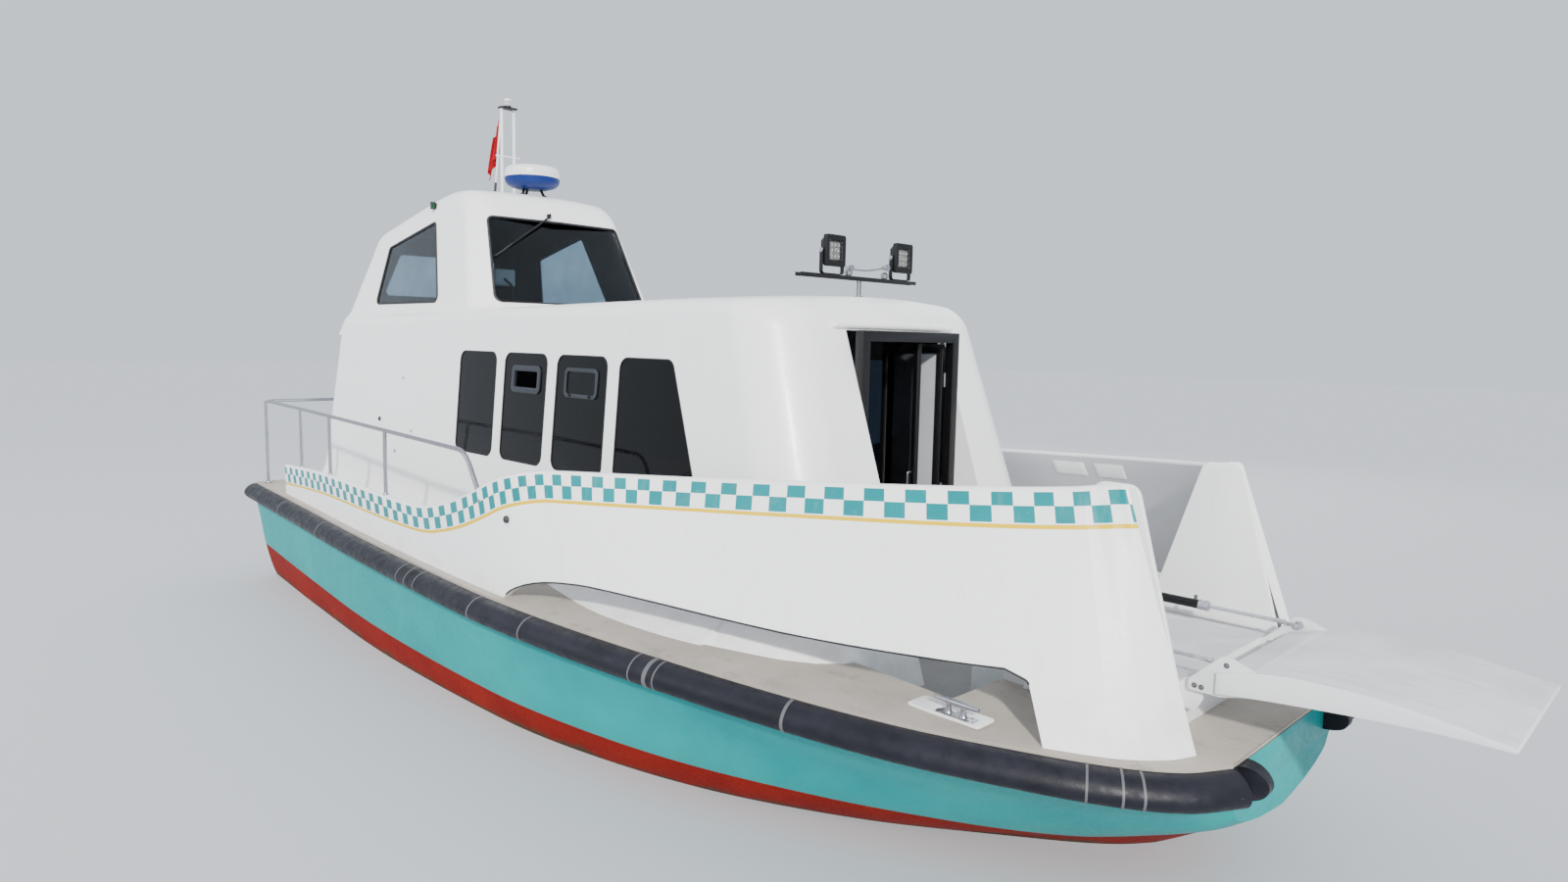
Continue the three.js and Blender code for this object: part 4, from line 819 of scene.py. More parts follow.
# How far the bulwark's foot stands in from the deck edge, and its lean inboard and rake aft for each metre
# of height, by the rib at its foot.
BULWARK_SET = {
    "x": (0, 2.5, 5.1, 5.8, 6.6, 7.0, 7.7, 8.45, 8.8, 8.92, 9.02, 9.085),
    "inset": (0.06, 0.06, 0.06, 0.06, 0.06, 0.06, 0.06, 0.062, 0.072, 0.090, 0.112, 0.13),
    "lean": (0, 0, 0, 0.1, 0.3, 0.35, 0.35, 0.3, 0.26, 0.2, 0.12, 0.03),
    "rake": (0.3, 0.3, 0.3, 0.3, 0.3, 0.3, 0.3, 0.3, 0.32, 0.335, 0.345, 0.35),
}
SCUPPER = [
    (5.23, 0.860), (5.33, 0.950), (5.56, 1.035), (5.85, 1.080), (6.20, 1.092), (7.30, 1.080), (8.33, 1.095),
    (8.43, 1.060), (8.56, 0.780),
]

CABIN = {
    "half": 1.157, "lean": 0.087, "base": 1.0, "aft": 0.290, "aft_rake": 0.155, "aft_corner": 0.12,
    "fore": 7.330, "fore_rake": 0.333, "fore_corner": 0.33, "bow": 0.070, "edge": 0.080, "brow": 0.13,
    "camber": 0.055,
    "roof": [(0, 2.61), (1.5, 2.64), (3.5, 2.675), (5.6, 2.705), (6.5, 2.70), (6.75, 2.67), (7.6, 2.50)],
    "low": 0.55, "high": 2.74,
}
WHEELHOUSE = {
    "half": 0.905, "lean": 0.19, "base": 2.7, "aft": 0.470, "aft_rake": 0.6, "aft_corner": 0.10,
    "fore": 3.270, "fore_rake": 0.42, "fore_corner": 0.21, "bow": 0.060, "edge": 0.09, "brow": 0.12,
    "camber": 0.035,
    "roof": [
        (0.2, 3.29), (0.9, 3.43), (1.6, 3.58), (2.15, 3.69), (2.45, 3.712), (2.68, 3.68), (2.9, 3.59),
        (3.6, 3.2),
    ],
    "low": 2.45, "high": 3.70,
}
# How far the cabin's foot spreads over the side deck.
SPREAD = [
    (0.33, 0.105), (2.0, 0.135), (4.3, 0.165), (5.2, 0.285), (5.8, 0.375), (6.3, 0.355), (6.7, 0.275),
    (7.05, 0.146), (7.3, 0.10), (7.6, 0.09),
]


def faired(key, x):
    """A value of the station table along the smooth curve through it."""
    xs, values = np.array(STATIONS["x"]), np.array(STATIONS[key])
    slope = np.empty(len(xs))
    slope[1:-1] = (values[2:] - values[:-2]) / (xs[2:] - xs[:-2])
    slope[0] = (values[1] - values[0]) / (xs[1] - xs[0])
    slope[-1] = (values[-1] - values[-2]) / (xs[-1] - xs[-2])
    x = np.asarray(x, float)
    k = np.clip(np.searchsorted(xs, x, side="right") - 1, 0, len(xs) - 2)
    span = xs[k + 1] - xs[k]
    t = (x - xs[k]) / span
    return (
        (2 * t**3 - 3 * t**2 + 1) * values[k]
        + (t**3 - 2 * t**2 + t) * span * slope[k]
        + (3 * t**2 - 2 * t**3) * values[k + 1]
        + (t**3 - t**2) * span * slope[k + 1]
    )


RIBS = np.concatenate(
    [np.arange(0, 7.4, 0.1), np.arange(7.4, 8.8, 0.05), np.arange(8.8, 9.13, 0.022), [9.13]]
)


def edge_curve(inset, ribs):
    """The deck edge to starboard in plan, moved inboard: places and the way outward."""
    raw = np.stack([ribs, -faired("deck", ribs)], 1)
    along = np.empty_like(raw)
    along[1:-1] = raw[2:] - raw[:-2]
    along[0], along[-1] = raw[1] - raw[0], raw[-1] - raw[-2]
    along /= np.linalg.norm(along, axis=1)[:, None]
    out = np.stack([along[:, 1], -along[:, 0]], 1)
    return raw - out * np.reshape(inset, (-1, 1)), out


def below_deck(gap, well=True):
    xs = np.concatenate([[-0.4], RIBS, [HULL_LENGTH + 0.5]])
    deck = faired("sheer", np.clip(xs, 0, HULL_LENGTH)) + DECK_PLATE + gap
    rings = [[(x, -2.4, z), (x, 2.4, z), (x, 2.4, -1.5), (x, -2.4, -1.5)] for x, z in zip(xs, deck)]
    solid = lofted("below_deck", rings)
    if well:
        room = box(
            "well", (WELL["aft"] + 0.001, WELL["fore"] - 0.001), (0.002 - WELL["half"], WELL["half"] - 0.002),
            (-2, 3)
        )
        combined(solid, room)
    return solid


def smooth_table(rows):
    line = np.array(curve_through(rows, 12))
    return lambda x: np.interp(x, line[:, 0], line[:, 1])


def round_corner(a, b, radius):
    """Distance to two walls that meet in a round corner."""
    reach = np.hypot(np.maximum(a + radius, 0), np.maximum(b + radius, 0))
    return np.minimum(np.maximum(a, b), -radius) + reach


def gentle(t):
    t = np.clip(t, 0, 1)
    return t * t * (3 - 2 * t)


class House:
    """The cabin's or the wheelhouse's moulded shape, as a distance to its outer face."""

    def __init__(self, spec, foot=None):
        self.spec = spec
        self.roof = smooth_table(spec["roof"])
        self.foot = foot

    def distance(self, p):
        s = self.spec
        x, y, z = p[:, 0], np.abs(p[:, 1]), p[:, 2]
        up = z - s["base"]
        wall = s["half"] - s["lean"] * up
        share = y / wall
        front = s["fore"] - s["fore_rake"] * up
        side = (y - wall) / math.hypot(1, s["lean"])
        fore = (x - front + s["bow"] * share) / math.hypot(1, s["fore_rake"])
        aft = (s["aft"] + s["aft_rake"] * up - x) / math.hypot(1, s["aft_rake"])
        roof = z - self.roof(x) - s["camber"] * (1 - share**2)
        plan = round_corner(round_corner(side, fore, s["fore_corner"]), aft, s["aft_corner"])
        near_front = gentle((x - front + 0.5) / 0.4)
        edge = s["edge"] + (s["brow"] - s["edge"]) * near_front
        return round_corner(plan, roof, edge) - (self.foot(p) if self.foot else 0)

    def toward(self, p):
        step = 1e-4
        parts = []
        for i in range(3):
            move = np.zeros(3)
            move[i] = step
            parts.append((self.distance(p + move) - self.distance(p - move)) / (2 * step))
        return np.stack(parts, 1)

    def settle(self, p, depth):
        for _ in range(14):
            way = self.toward(p)
            gap = self.distance(p) + depth
            p = p - (gap / np.maximum((way**2).sum(1), 0.2))[:, None] * way
        return p

    def block(self, name, depth, spacing=0.05):
        """The closed shape whose face lies at this depth under the outer face."""
        s = self.spec
        low, high = s["low"], s["high"]
        reach = lambda z: (
            s["aft"] + s["aft_rake"] * (z - s["base"]),
            s["fore"] - s["fore_rake"] * (z - s["base"]),
            s["half"] - s["lean"] * (z - s["base"]),
        )
        long = crowded(int((reach(low)[1] - reach(low)[0]) / spacing))
        wide = crowded(int(2 * s["half"] / spacing))
        tall = crowded(int((high - low) / spacing))
        verts, faces = [], []

        def sheet(us, vs, place):
            first = len(verts)
            verts.extend(place(u, v) for u in us for v in vs)
            n = len(vs)
            for i in range(len(us) - 1):
                for j in range(n - 1):
                    a = first + i * n + j
                    faces.append((a, a + 1, a + n + 1, a + n))

        def at(u, v, w):
            z = low + (high - low) * w
            aft, fore, half = reach(z)
            return (aft + (fore - aft) * u, half * (2 * v - 1), z)

        for v in (0, 1):
            sheet(long, tall, lambda a, b: at(a, v, b))
        for u in (0, 1):
            sheet(wide, tall, lambda a, b: at(u, a, b))
        for w in (0, 1):
            sheet(long, wide, lambda a, b: at(a, b, w))
        points = np.array(verts)
        flat = points[:, 2] < low + 1e-6
        points = self.settle(points, depth)
        points[flat, 2] = low
        return outward(new_object(name, [tuple(p) for p in points], faces), 2e-4)

    def last_inside(self, place, near, far, depth):
        """Where a line from near to far leaves the shape, the given depth under its face."""
        for _ in range(40):
            middle = (near + far) / 2
            inside = self.distance(place(middle)) < -depth
            near, far = np.where(inside, middle, near), np.where(inside, far, middle)
        return place(near)

    def on_side(self, rows, depth=0.0, hand=-1):
        """Points on the side wall over the given x and z."""
        rows = np.array(rows, float)
        near, far = np.full(len(rows), 0.2), np.full(len(rows), 2.2)
        place = lambda y: np.stack([rows[:, 0], y, rows[:, 1]], 1)
        return self.last_inside(place, near, far, depth) * (1, hand, 1)

    def on_end(self, rows, depth=0.0, forward=True):
        """Points on the front or after wall over the given y and z."""
        rows = np.array(rows, float)
        middle_x = (self.spec["fore"] + self.spec["aft"]) / 2
        near, far = np.full(len(rows), middle_x), np.full(len(rows), 9.0 if forward else -1.0)
        return self.last_inside(lambda x: np.stack([x, rows[:, 0], rows[:, 1]], 1), near, far, depth)

    def roof_height(self, x, y):
        near, far = np.full(1, self.spec["base"] + 0.1), np.full(1, 5.0)
        place = lambda z: np.stack([np.full(1, float(x)), np.full(1, float(y)), z], 1)
        return float(self.last_inside(place, near, far, 0.0)[0][2])

    def true_normals(self, thing):
        """Shades the outer face by the shape itself, so that cuts leave no trace on it."""
        mesh = thing.data
        count = len(mesh.loops)
        corner = np.empty(count, int)
        mesh.loops.foreach_get("vertex_index", corner)
        places = np.empty(len(mesh.vertices) * 3)
        mesh.vertices.foreach_get("co", places)
        places = places.reshape(-1, 3) + (HALF_HULL, 0, 0)
        way = self.toward(places)
        way /= np.linalg.norm(way, axis=1)[:, None]
        gap = self.distance(places)
        normals = np.empty(count * 3)
        mesh.corner_normals.foreach_get("vector", normals)
        normals = normals.reshape(-1, 3)
        for face in mesh.polygons:
            face.use_smooth = True
            loops = slice(face.loop_start, face.loop_start + face.loop_total)
            points = corner[loops]
            at_face = abs(gap[points]).max() < 2e-3 and way[points[0]] @ face.normal > 0.5
            if face.material_index == 0 and at_face:
                normals[loops] = way[points]
        mesh.normals_split_custom_set(normals.tolist())


def crowded(count):
    """Steps from 0 to 1 that crowd toward both ends."""
    t = np.linspace(0, 1, max(6, count) + 1)
    return t - 0.11 * np.sin(2 * math.pi * t)


deck_height = lambda x: faired("sheer", np.clip(x, 0, HULL_LENGTH)) + DECK_PLATE
spread_at = smooth_table(SPREAD)


def cabin_foot(p):
    t = np.clip((p[:, 2] - deck_height(p[:, 0])) / 0.25, 0, 1)
    return spread_at(p[:, 0]) * (1 - t) ** 2.2 * gentle((np.abs(p[:, 1]) - 0.82) / 0.2)


cabin_shape = House(CABIN, cabin_foot)
plain_cabin = House(CABIN)


def wheelhouse_foot(p):
    roof = plain_cabin.roof(p[:, 0]) + CABIN["camber"] * (1 - (p[:, 1] / 1.02) ** 2)
    t = np.clip((p[:, 2] - roof) / 0.05, 0, 1)
    return 0.03 * (1 - t) ** 2.2


wheelhouse_shape = House(WHEELHOUSE, wheelhouse_foot)


# ---------------------------------------------------------------- hull

def section_at(x):
    """The starboard half of the hull's section, from the deck edge to the keel."""
    at = {key: float(faired(key, x)) for key in STATIONS if key != "x"}
    seat = at["sheer"] - FENDER_BACK
    mix = lambda a, b, t: a + (b - a) * t
    flank = [
        (at["deck"], seat),
        (mix(at["deck"], at["mid"], 0.55), mix(seat, at["mid_z"], 0.5)),
        (at["mid"], at["mid_z"]),
        (mix(at["mid"], at["chine"], 0.42), mix(at["mid_z"], at["chine_z"], 0.55)),
        (at["chine"], at["chine_z"]),
    ]
    under = [
        (at["chine"], at["chine_z"]), (at["chine"] * 0.5, mix(at["chine_z"], at["keel"], 0.56)),
        (0.0, at["keel"])
    ]
    return [(at["deck"], at["sheer"])] + curve_through(flank, 5) + curve_through(under, 4)[1:]


def hull_solid():
    rings = []
    for x in RIBS:
        half = section_at(x)
        rings.append([(x, -y, z) for y, z in half] + [(x, y, z) for y, z in reversed(half[:-1])])
    return lofted("hull", rings)


def under_paint(gap):
    line = [(x, z + gap) for x, z in curve_through(PAINT_LINE, 6)]
    return slab("under_paint", line + [(9.7, -2.0), (-0.3, -2.0)], -2.5, 2.5)


def make_hull():
    topsides = combined(hull_solid(), under_paint(HAIR))
    combined(
        topsides,
        box("well", (WELL["aft"], WELL["fore"]), (-WELL["half"], WELL["half"]), (SOLE - DECK_PLATE, 1.4))
    )
    combined(topsides, box("engine_bay", (1.0, 2.4), (-0.43, 0.43), (0.37, 0.8)))
    topsides.name = "topsides"
    shown(topsides, "topside", replaces=["hull_topsides"], angle=30)
    bottom = combined(hull_solid(), under_paint(0.0), "INTERSECT")
    skeg_line = [(1.15, -0.38, 0), (1.15, -0.64, 0.02), (2.2, -0.78, 0.3), (5.0, -0.78, 0.5), (6.3, -0.48, 0)]
    skeg = beveled(slab("skeg", rounded_outline(skeg_line, 10), -0.045, 0.045), 0.012, 3)
    slope = SHAFT_RISE / SHAFT_RUN
    up = lambda x: PROPELLER_AT[2] + (x - PROPELLER_AT[0]) * slope
    tube_body = turned_body(
        "stern_tube", [(0, 0.046), (0.01, 0.05), (1.6, 0.05)], (0.85, 0, up(0.85)), (2.4, 0, up(2.4))
    )
    boss = turned_body(
        "rudder_boss", [(0, 0.042), (0.01, 0.046), (0.2, 0.06)], (0.33, 0, -0.44), (0.33, 0, -0.1)
    )
    bore = turned_body("bore", [(0, 0.024), (0.4, 0.024)], (0.76, 0, up(0.76)), (1.06, 0, up(1.06)))
    whole = united("bottom", [bottom, skeg, tube_body, boss])
    combined(whole, bore)
    shown(whole, "bottom", replaces=["hull_bottom"], angle=30)


def make_deck():
    rings = []
    ribs = RIBS.copy()
    ribs[0], ribs[-1] = 0.004, HULL_LENGTH - 0.004
    for x in ribs:
        half = float(faired("deck", x)) - 0.006
        low = float(faired("sheer", x)) + HAIR
        high = low + DECK_PLATE - HAIR
        rings.append([(x, -half, low), (x, half, low), (x, half, high), (x, -half, high)])
    plate = lofted("deck_plate", rings)
    combined(plate, box("well", (WELL["aft"], WELL["fore"]), (-WELL["half"], WELL["half"]), (0.5, 1.4)))
    shown(plate, "deck", replaces=["side_deck"])
    sole = node_copy("cabin_sole", 0.003)
    shown(sole, "sole", replaces=["cabin_sole"])


# The clamping bands along the fender: place along the hull and width.
FENDER_BANDS = [
    (1.20, 0.008), (2.35, 0.008), (4.09, 0.007), (4.23, 0.007), (4.37, 0.007), (5.13, 0.009), (5.67, 0.009),
    (6.576, 0.007), (6.686, 0.024), (6.744, 0.007), (7.50, 0.015), (8.72, 0.008), (8.83, 0.008),
    (8.89, 0.008),
]
# Half a section from its top to its foot: how far it stands out and how high.
FENDER_SECTION = [
    (0, 0.082), (0.030, 0.080), (0.064, 0.068), (0.096, 0.040), (0.112, 0), (0.094, -0.040), (0.048, -0.060),
    (0, -0.066),
]


def fender_sections(x, inflate=0.0):
    """The fender's D section round the deck edge at places x, for starboard."""
    places, out = edge_curve(0.0, np.asarray(x, float))
    rows = []
    curve = curve_through(FENDER_SECTION, 3)
    for (px, py), (ox, oy), at in zip(places, out, x):
        z = float(faired("sheer", at)) - FENDER_BACK / 2
        ring = []
        for off, up in curve:
            grow = 1 + inflate / 0.08
            reach = off * grow + HAIR
            ring.append((px + ox * reach, py + oy * reach, z + up * grow))
        rows.append(ring)
    return rows


def make_fender():
    side = fender_sections(RIBS[1:])
    curve = [(math.hypot(p[0] - side[0][0][0], p[1] - side[0][0][1]), p[2]) for p in side[0]]
    z0 = float(faired("sheer", 0)) - FENDER_BACK / 2
    z1 = float(faired("sheer", RIBS[1])) - FENDER_BACK / 2
    deck0 = float(faired("deck", 0))
    corner = []
    for turn in (1.0, 0.72, 0.42, 0.15, 0.0):
        # the section swings from facing aft to facing outboard round the quarter
        angle = math.pi / 2 * turn
        out = (-math.sin(angle), -math.cos(angle))
        back = 0.035
        pivot = (back, -deck0 + back)
        corner.append([
            (pivot[0] + out[0] * (off + back + HAIR), pivot[1] + out[1] * (off + back + HAIR), z - z1 + z0)
            for off, z in curve
        ])
    centre = [[(-off - HAIR, y, z - z1 + z0) for off, z in curve] for y in (0.0, -0.5, -1.0, -1.45)]
    last = side[-1]
    tip = [(HULL_LENGTH + 0.002 + off, last[i][1] + 0.04, last[i][2]) for i, (off, _) in enumerate(curve)]
    nose = [(HULL_LENGTH + 0.001 + off, -0.5, last[i][2]) for i, (off, _) in enumerate(curve)]
    rings = centre + corner + side + [tip, nose]
    verts, faces = skinned(rings)
    made = new_object("fender_starboard", verts, faces)
    other = new_object("fender_port", [(x, -y, z) for x, y, z in verts], faces)
    whole = outward(joined_pieces("fender_rubber", [made, other]), 1e-4)
    layer = whole.data.uv_layers.new(name="run")
    for loop in whole.data.loops:
        place = whole.data.vertices[loop.vertex_index].co
        x = min(max(place.x + HALF_HULL, 0), HULL_LENGTH)
        rise = (place.z - float(faired("sheer", x)) + FENDER_BACK / 2) / 0.066
        layer.data[loop.index].uv = (x, rise)
    shown(whole, "fender", replaces=["fender"], angle=50)
    bands = []
    for x, width in FENDER_BANDS:
        for hand in (1, -1):
            half = width / 2
            outer = fender_sections([x - half, x + half], 0.0025)
            inner = fender_sections([x - half - 0.0008, x + half + 0.0008], 0.0005)
            rings = [inner[0], outer[0], outer[1], inner[1]]
            rings = [[(a, hand * b, c) for a, b, c in ring] for ring in rings]
            bands.append(lofted("band", rings))
    shown(joined_pieces("fender_bands", bands), "fender_band")


# ---------------------------------------------------------------- bulwarks

top_at = smooth_table(BULWARK_TOP)
lean_at = smooth_table(list(zip(BULWARK_SET["x"], BULWARK_SET["lean"])))
rake_at = smooth_table(list(zip(BULWARK_SET["x"], BULWARK_SET["rake"])))
inset_at = lambda x: np.interp(x, BULWARK_SET["x"], BULWARK_SET["inset"])


def wall_point(foot, rib, z, hand=1):
    """A place on the bulwark, above its foot at one rib. hand 1 is starboard, -1 port."""
    up = z - BULWARK["stands"]
    return (foot[0] - rake_at(rib) * up, hand * (foot[1] + lean_at(rib) * up), z)


def wall_top(foot, rib):
    z = 1.5
    for _ in range(30):
        z = float(top_at(wall_point(foot, rib, z)[0]))
    return z


def on_wall(x, z, inset=0.0):
    """The place on the starboard wall at this x and z."""
    ribs = np.arange(4.6, 9.085, 0.02)
    feet, _ = edge_curve(inset_at(ribs) + inset, ribs)
    spots = np.array([wall_point(f, r, z) for f, r in zip(feet, ribs)])
    return (x, float(np.interp(x, spots[:, 0], spots[:, 1])), z)


def make_bulwarks():
    ribs = np.concatenate(
        [np.arange(0.62, 7.4, 0.06), np.arange(7.4, 8.8, 0.05), np.arange(8.8, 9.08, 0.022), [9.085]]
    )
    outer, _ = edge_curve(inset_at(ribs), ribs)
    inner, _ = edge_curve(inset_at(ribs) + BULWARK["thick"], ribs)
    tops = np.array([wall_top(foot, rib) for foot, rib in zip(outer, ribs)])
    line = np.array([wall_point(foot, rib, z) for foot, rib, z in zip(outer, ribs, tops)])
    along = np.concatenate([[0], np.cumsum(np.linalg.norm(np.diff(line, axis=0), axis=1))])
    rings = []
    for po, pi, rib, top in zip(outer, inner, ribs, tops):
        low = 0.6
        levels = [low + (top - 0.02 - low) * t for t in (0, 0.35, 0.6, 0.8, 0.92, 1)]
        ring = [wall_point(po, rib, z) for z in levels]
        for k in range(1, 6):
            turn = math.pi * k / 6
            across = (1 - math.cos(turn)) / 2
            ring.append(wall_point(po + (pi - po) * across, rib, top - 0.02 + 0.02 * math.sin(turn)))
        ring += [wall_point(pi, rib, z) for z in reversed(levels)]
        rings.append(ring)
    sides = [0] * 5 + [2] * 6 + [1] * 5 + [2]
    for hand, name in ((1, "starboard"), (-1, "port")):
        mine = [[(x, hand * y, z) for x, y, z in ring] for ring in rings]
        wall = new_object("bulwark_wall_" + name, *skinned(mine))
        # The inner face takes the grey copy of the gelcoat, which is painted shade.
        coated(wall, "band", "inner_gelcoat", "gelcoat")
        for face in wall.data.polygons:
            face.material_index = sides[face.index % len(sides)] if len(face.vertices) == 4 else 2
        outward(wall)
        fore_run = rounded_outline([(8.33, 1.095, 0), (8.43, 1.06, 0.05), (8.56, 0.78, 0)], 6)
        cut = curve_through(SCUPPER[:7], 6)[:-1] + fore_run
        low_side, high_side = sorted((-2.4 * hand, -0.2 * hand))
        for tool in (
            slab("scupper", cut + [(8.56, 0.6), (5.23, 0.6)], low_side, high_side),
            box("stern", (-0.2, BULWARK["aft"]), (-2.4, 2.4), (0, 2.6)),
            below_deck(HAIR, well=False),
        ):
            combined(wall, numbered(tool, 2, "band", "inner_gelcoat", "gelcoat"))
        place_band(wall, ribs, along, outer, tops)
        shown(wall, None, replaces=["bulwark_" + name], angle=40)
        make_scupper_dark_edge(name, cut, hand)


# Columns of the band counted along the top edge, from the stern end of the wall.
BAND_COLUMNS = [
    (0.0, -43.3), (3.1, -8.9), (3.9, 0), (4.25, 4), (4.52, 8), (4.76, 12), (5.02, 16), (5.30, 20), (5.61, 24),
    (5.93, 28), (6.31, 32), (6.72, 36), (7.15, 40), (7.57, 44), (7.96, 48), (8.28, 52), (8.6, 56.4),
]
column_at = smooth_table(BAND_COLUMNS)


def place_band(wall, ribs, along, outer, tops):
    """Lays the band's map on the wall: columns along the top edge, metres below it."""
    mesh = wall.data
    layer = mesh.uv_layers.new(name="band")
    places = np.array([tuple(v.co) for v in mesh.vertices]) + (HALF_HULL, 0, 0)
    rib = places[:, 0].copy()
    for _ in range(12):
        rib = np.interp(places[:, 0] + rake_at(rib) * (places[:, 2] - BULWARK["stands"]), outer[:, 0], ribs)
    slope = np.gradient(tops, along)
    tilt = np.interp(rib, ribs, 1 / np.sqrt(1 + slope**2))
    depth = (np.interp(rib, ribs, tops) - places[:, 2]) * np.sqrt(1 + lean_at(rib) ** 2) * tilt
    columns = column_at(np.interp(rib, ribs, along))
    for loop in mesh.loops:
        v = loop.vertex_index
        layer.data[loop.index].uv = (columns[v], depth[v])


def make_scupper_dark_edge(name, path, hand):
    """A dark tube along the cut-out's upper edge: it stands for trim there and for painted shade under the
    edge.
    """
    points = []
    for x, z in path[::2]:
        if z > 0.9:
            x, y, z = on_wall(x, z, 0.001)
            points.append((x, hand * y, z))
    shown(tube("scupper_lip_" + name, points, 0.005, "gasket", 8), None)


def wall_patch(name, rib_from, rib_to, below, tall, finish, inset, hand):
    """A thin plate that lies on the wall just under its top edge."""
    rings = []
    for rib in np.linspace(rib_from, rib_to, 7):
        foot, _ = edge_curve(inset_at(rib) + inset, np.array([rib - 0.01, rib, rib + 0.01]))
        back, _ = edge_curve(
            inset_at(rib) + inset - math.copysign(0.004, inset - 0.02),
            np.array([rib - 0.01, rib, rib + 0.01])
        )
        top = wall_top(foot[1], rib) - below
        rings.append([
            wall_point(foot[1], rib, top, hand), wall_point(foot[1], rib, top - tall, hand),
            wall_point(back[1], rib, top - tall, hand), wall_point(back[1], rib, top, hand),
        ])
    return shown(beveled(lofted(name, rings), 0.0012, 2), finish)


def make_wall_fittings():
    for i, (aft, fore) in enumerate(((7.50, 7.77), (7.86, 8.09))):
        wall_patch(f"inner_pad_{i + 1}_port", aft, fore, 0.055, 0.085, "gelcoat", 0.049, -1)
    for hand, name in ((1, "starboard"), (-1, "port")):
        x, y, z = on_wall(5.28, 1.375)
        cap = [(0, 0.022), (0.006, 0.024), (0.016, 0.021), (0.022, 0.014), (0.024, 0.004)]
        vent = turned_body("wall_vent_" + name, cap, (x, hand * y, z), (x, hand * (y - 1), z), 24)
        shown(vent, "black_plastic")


# ---------------------------------------------------------------- cabin and wheelhouse

SIDE_WINDOWS = [
    ((3.190, 3.780), (3.195, 3.790)), ((3.910, 4.510), (3.915, 4.510)),
    ((4.640, 5.250), (4.640, 5.260)), ((5.385, 5.925), (5.390, 6.240)),
]
SIDE_HEAD, SIDE_SILL = 2.350, 1.560
DOOR = {"plane": 6.920, "half": 0.460, "header": 2.545, "frame": 0.062}


def side_outline(window, shrink):
    (head_aft, head_fore), (sill_aft, sill_fore) = window
    corner = 0.075 - shrink
    return rounded_outline([
        (head_aft + shrink, SIDE_HEAD - shrink, corner),
        (head_fore - shrink, SIDE_HEAD - shrink, corner),
        (sill_fore - shrink * 1.35, SIDE_SILL + shrink, corner),
        (sill_aft + shrink, SIDE_SILL + shrink, corner),
    ], 7)


def helm_outline(shrink):
    return rounded_outline([
        (1.150 + shrink, 2.750 + shrink, 0.05 - shrink),
        (2.470 - shrink * 1.4, 2.750 + shrink, 0.05 - shrink),
        (2.170 - shrink, 3.460 - shrink, 0.05 - shrink),
        (1.260 + shrink, 3.280 - shrink, 0.05 - shrink),
    ], 7)


def screen_outline(shrink):
    half, sill_half, head, sill = 0.640, 0.745, 3.470, 2.745
    return rounded_outline([
        (-sill_half + shrink, sill + shrink, 0.06 - shrink),
        (sill_half - shrink, sill + shrink, 0.06 - shrink),
        (half - shrink, head - shrink, 0.05 - shrink),
        (-half + shrink, head - shrink, 0.05 - shrink),
    ], 7)


def rear_outline(shrink):
    return rounded_outline([
        (-0.6 + shrink, 2.85 + shrink, 0.06 - shrink),
        (0.6 - shrink, 2.85 + shrink, 0.06 - shrink),
        (0.52 - shrink, 3.27 - shrink, 0.06 - shrink),
        (-0.52 + shrink, 3.27 - shrink, 0.06 - shrink),
    ], 7)


def marked(thing, number, inside="lining"):
    """A tool for the mouldings, which are white outside and lined inside."""
    return numbered(thing, number, "gelcoat", inside)


def make_cabin():
    shell = marked(cabin_shape.block("cabin_shell", 0.0), 0)
    inner = plain_cabin.block("cabin_inner", 0.05, 0.12)
    d = DOOR
    combined(
        inner,
        box(
            "surround", (d["plane"] - 0.06, 7.9), (-d["half"] - 0.04, d["half"] + 0.04),
            (0, d["header"] + 0.04)
        )
    )
    combined(shell, marked(inner, 1))
    combined(
        shell, marked(box("recess", (d["plane"] - 0.02, 7.9), (-d["half"], d["half"]), (0, d["header"])), 0)
    )
    combined(shell, marked(box("passage", (6.3, d["plane"]), (-d["half"], d["half"]), (0, d["header"])), 1))
    for window in SIDE_WINDOWS:
        for low, high in ((-2.4, -0.3), (0.3, 2.4)):
            combined(shell, marked(slab("window", side_outline(window, 0), low, high), 1))
    combined(shell, marked(wheelhouse_shape.block("stair_opening", 0.045, 0.2), 1))
    combined(shell, marked(box("well_foot", (-0.5, 9.0), (-3, 3), (-0.5, SOLE + HAIR)), 1))
    combined(shell, marked(below_deck(HAIR), 1))
    cabin_shape.true_normals(shell)
    stands_for = ["cabin_roof", "cabin_aft", "cabin_front"]
    stands_for += [f"cabin_{part}_{hand}" for part in ("side", "skirt") for hand in ("starboard", "port")]
    shown(shell, None, "boat", stands_for, 0)


def make_wheelhouse():
    shell = marked(wheelhouse_shape.block("wheelhouse_shell", 0.0, 0.04), 0, "dark_lining")
    combined(shell, marked(wheelhouse_shape.block("wheelhouse_inner", 0.05, 0.12), 1, "dark_lining"))
    combined(shell, marked(slab("screen", screen_outline(0), 2.3, 4.0, "x"), 1, "dark_lining"))
    combined(shell, marked(slab("rear", rear_outline(0), 0, 1.5, "x"), 1, "dark_lining"))
    for low, high in ((-2.4, -0.3), (0.3, 2.4)):
        combined(shell, marked(slab("helm_window", helm_outline(0), low, high), 1, "dark_lining"))
    combined(shell, marked(plain_cabin.block("roof_under", -HAIR, 0.12), 1, "dark_lining"))
    wheelhouse_shape.true_normals(shell)
    shown(shell, None, "boat", ["wheelhouse"], 0)


# How deep a pane's two faces lie under the moulding's.
PANE_FACES = (0.003, 0.011)


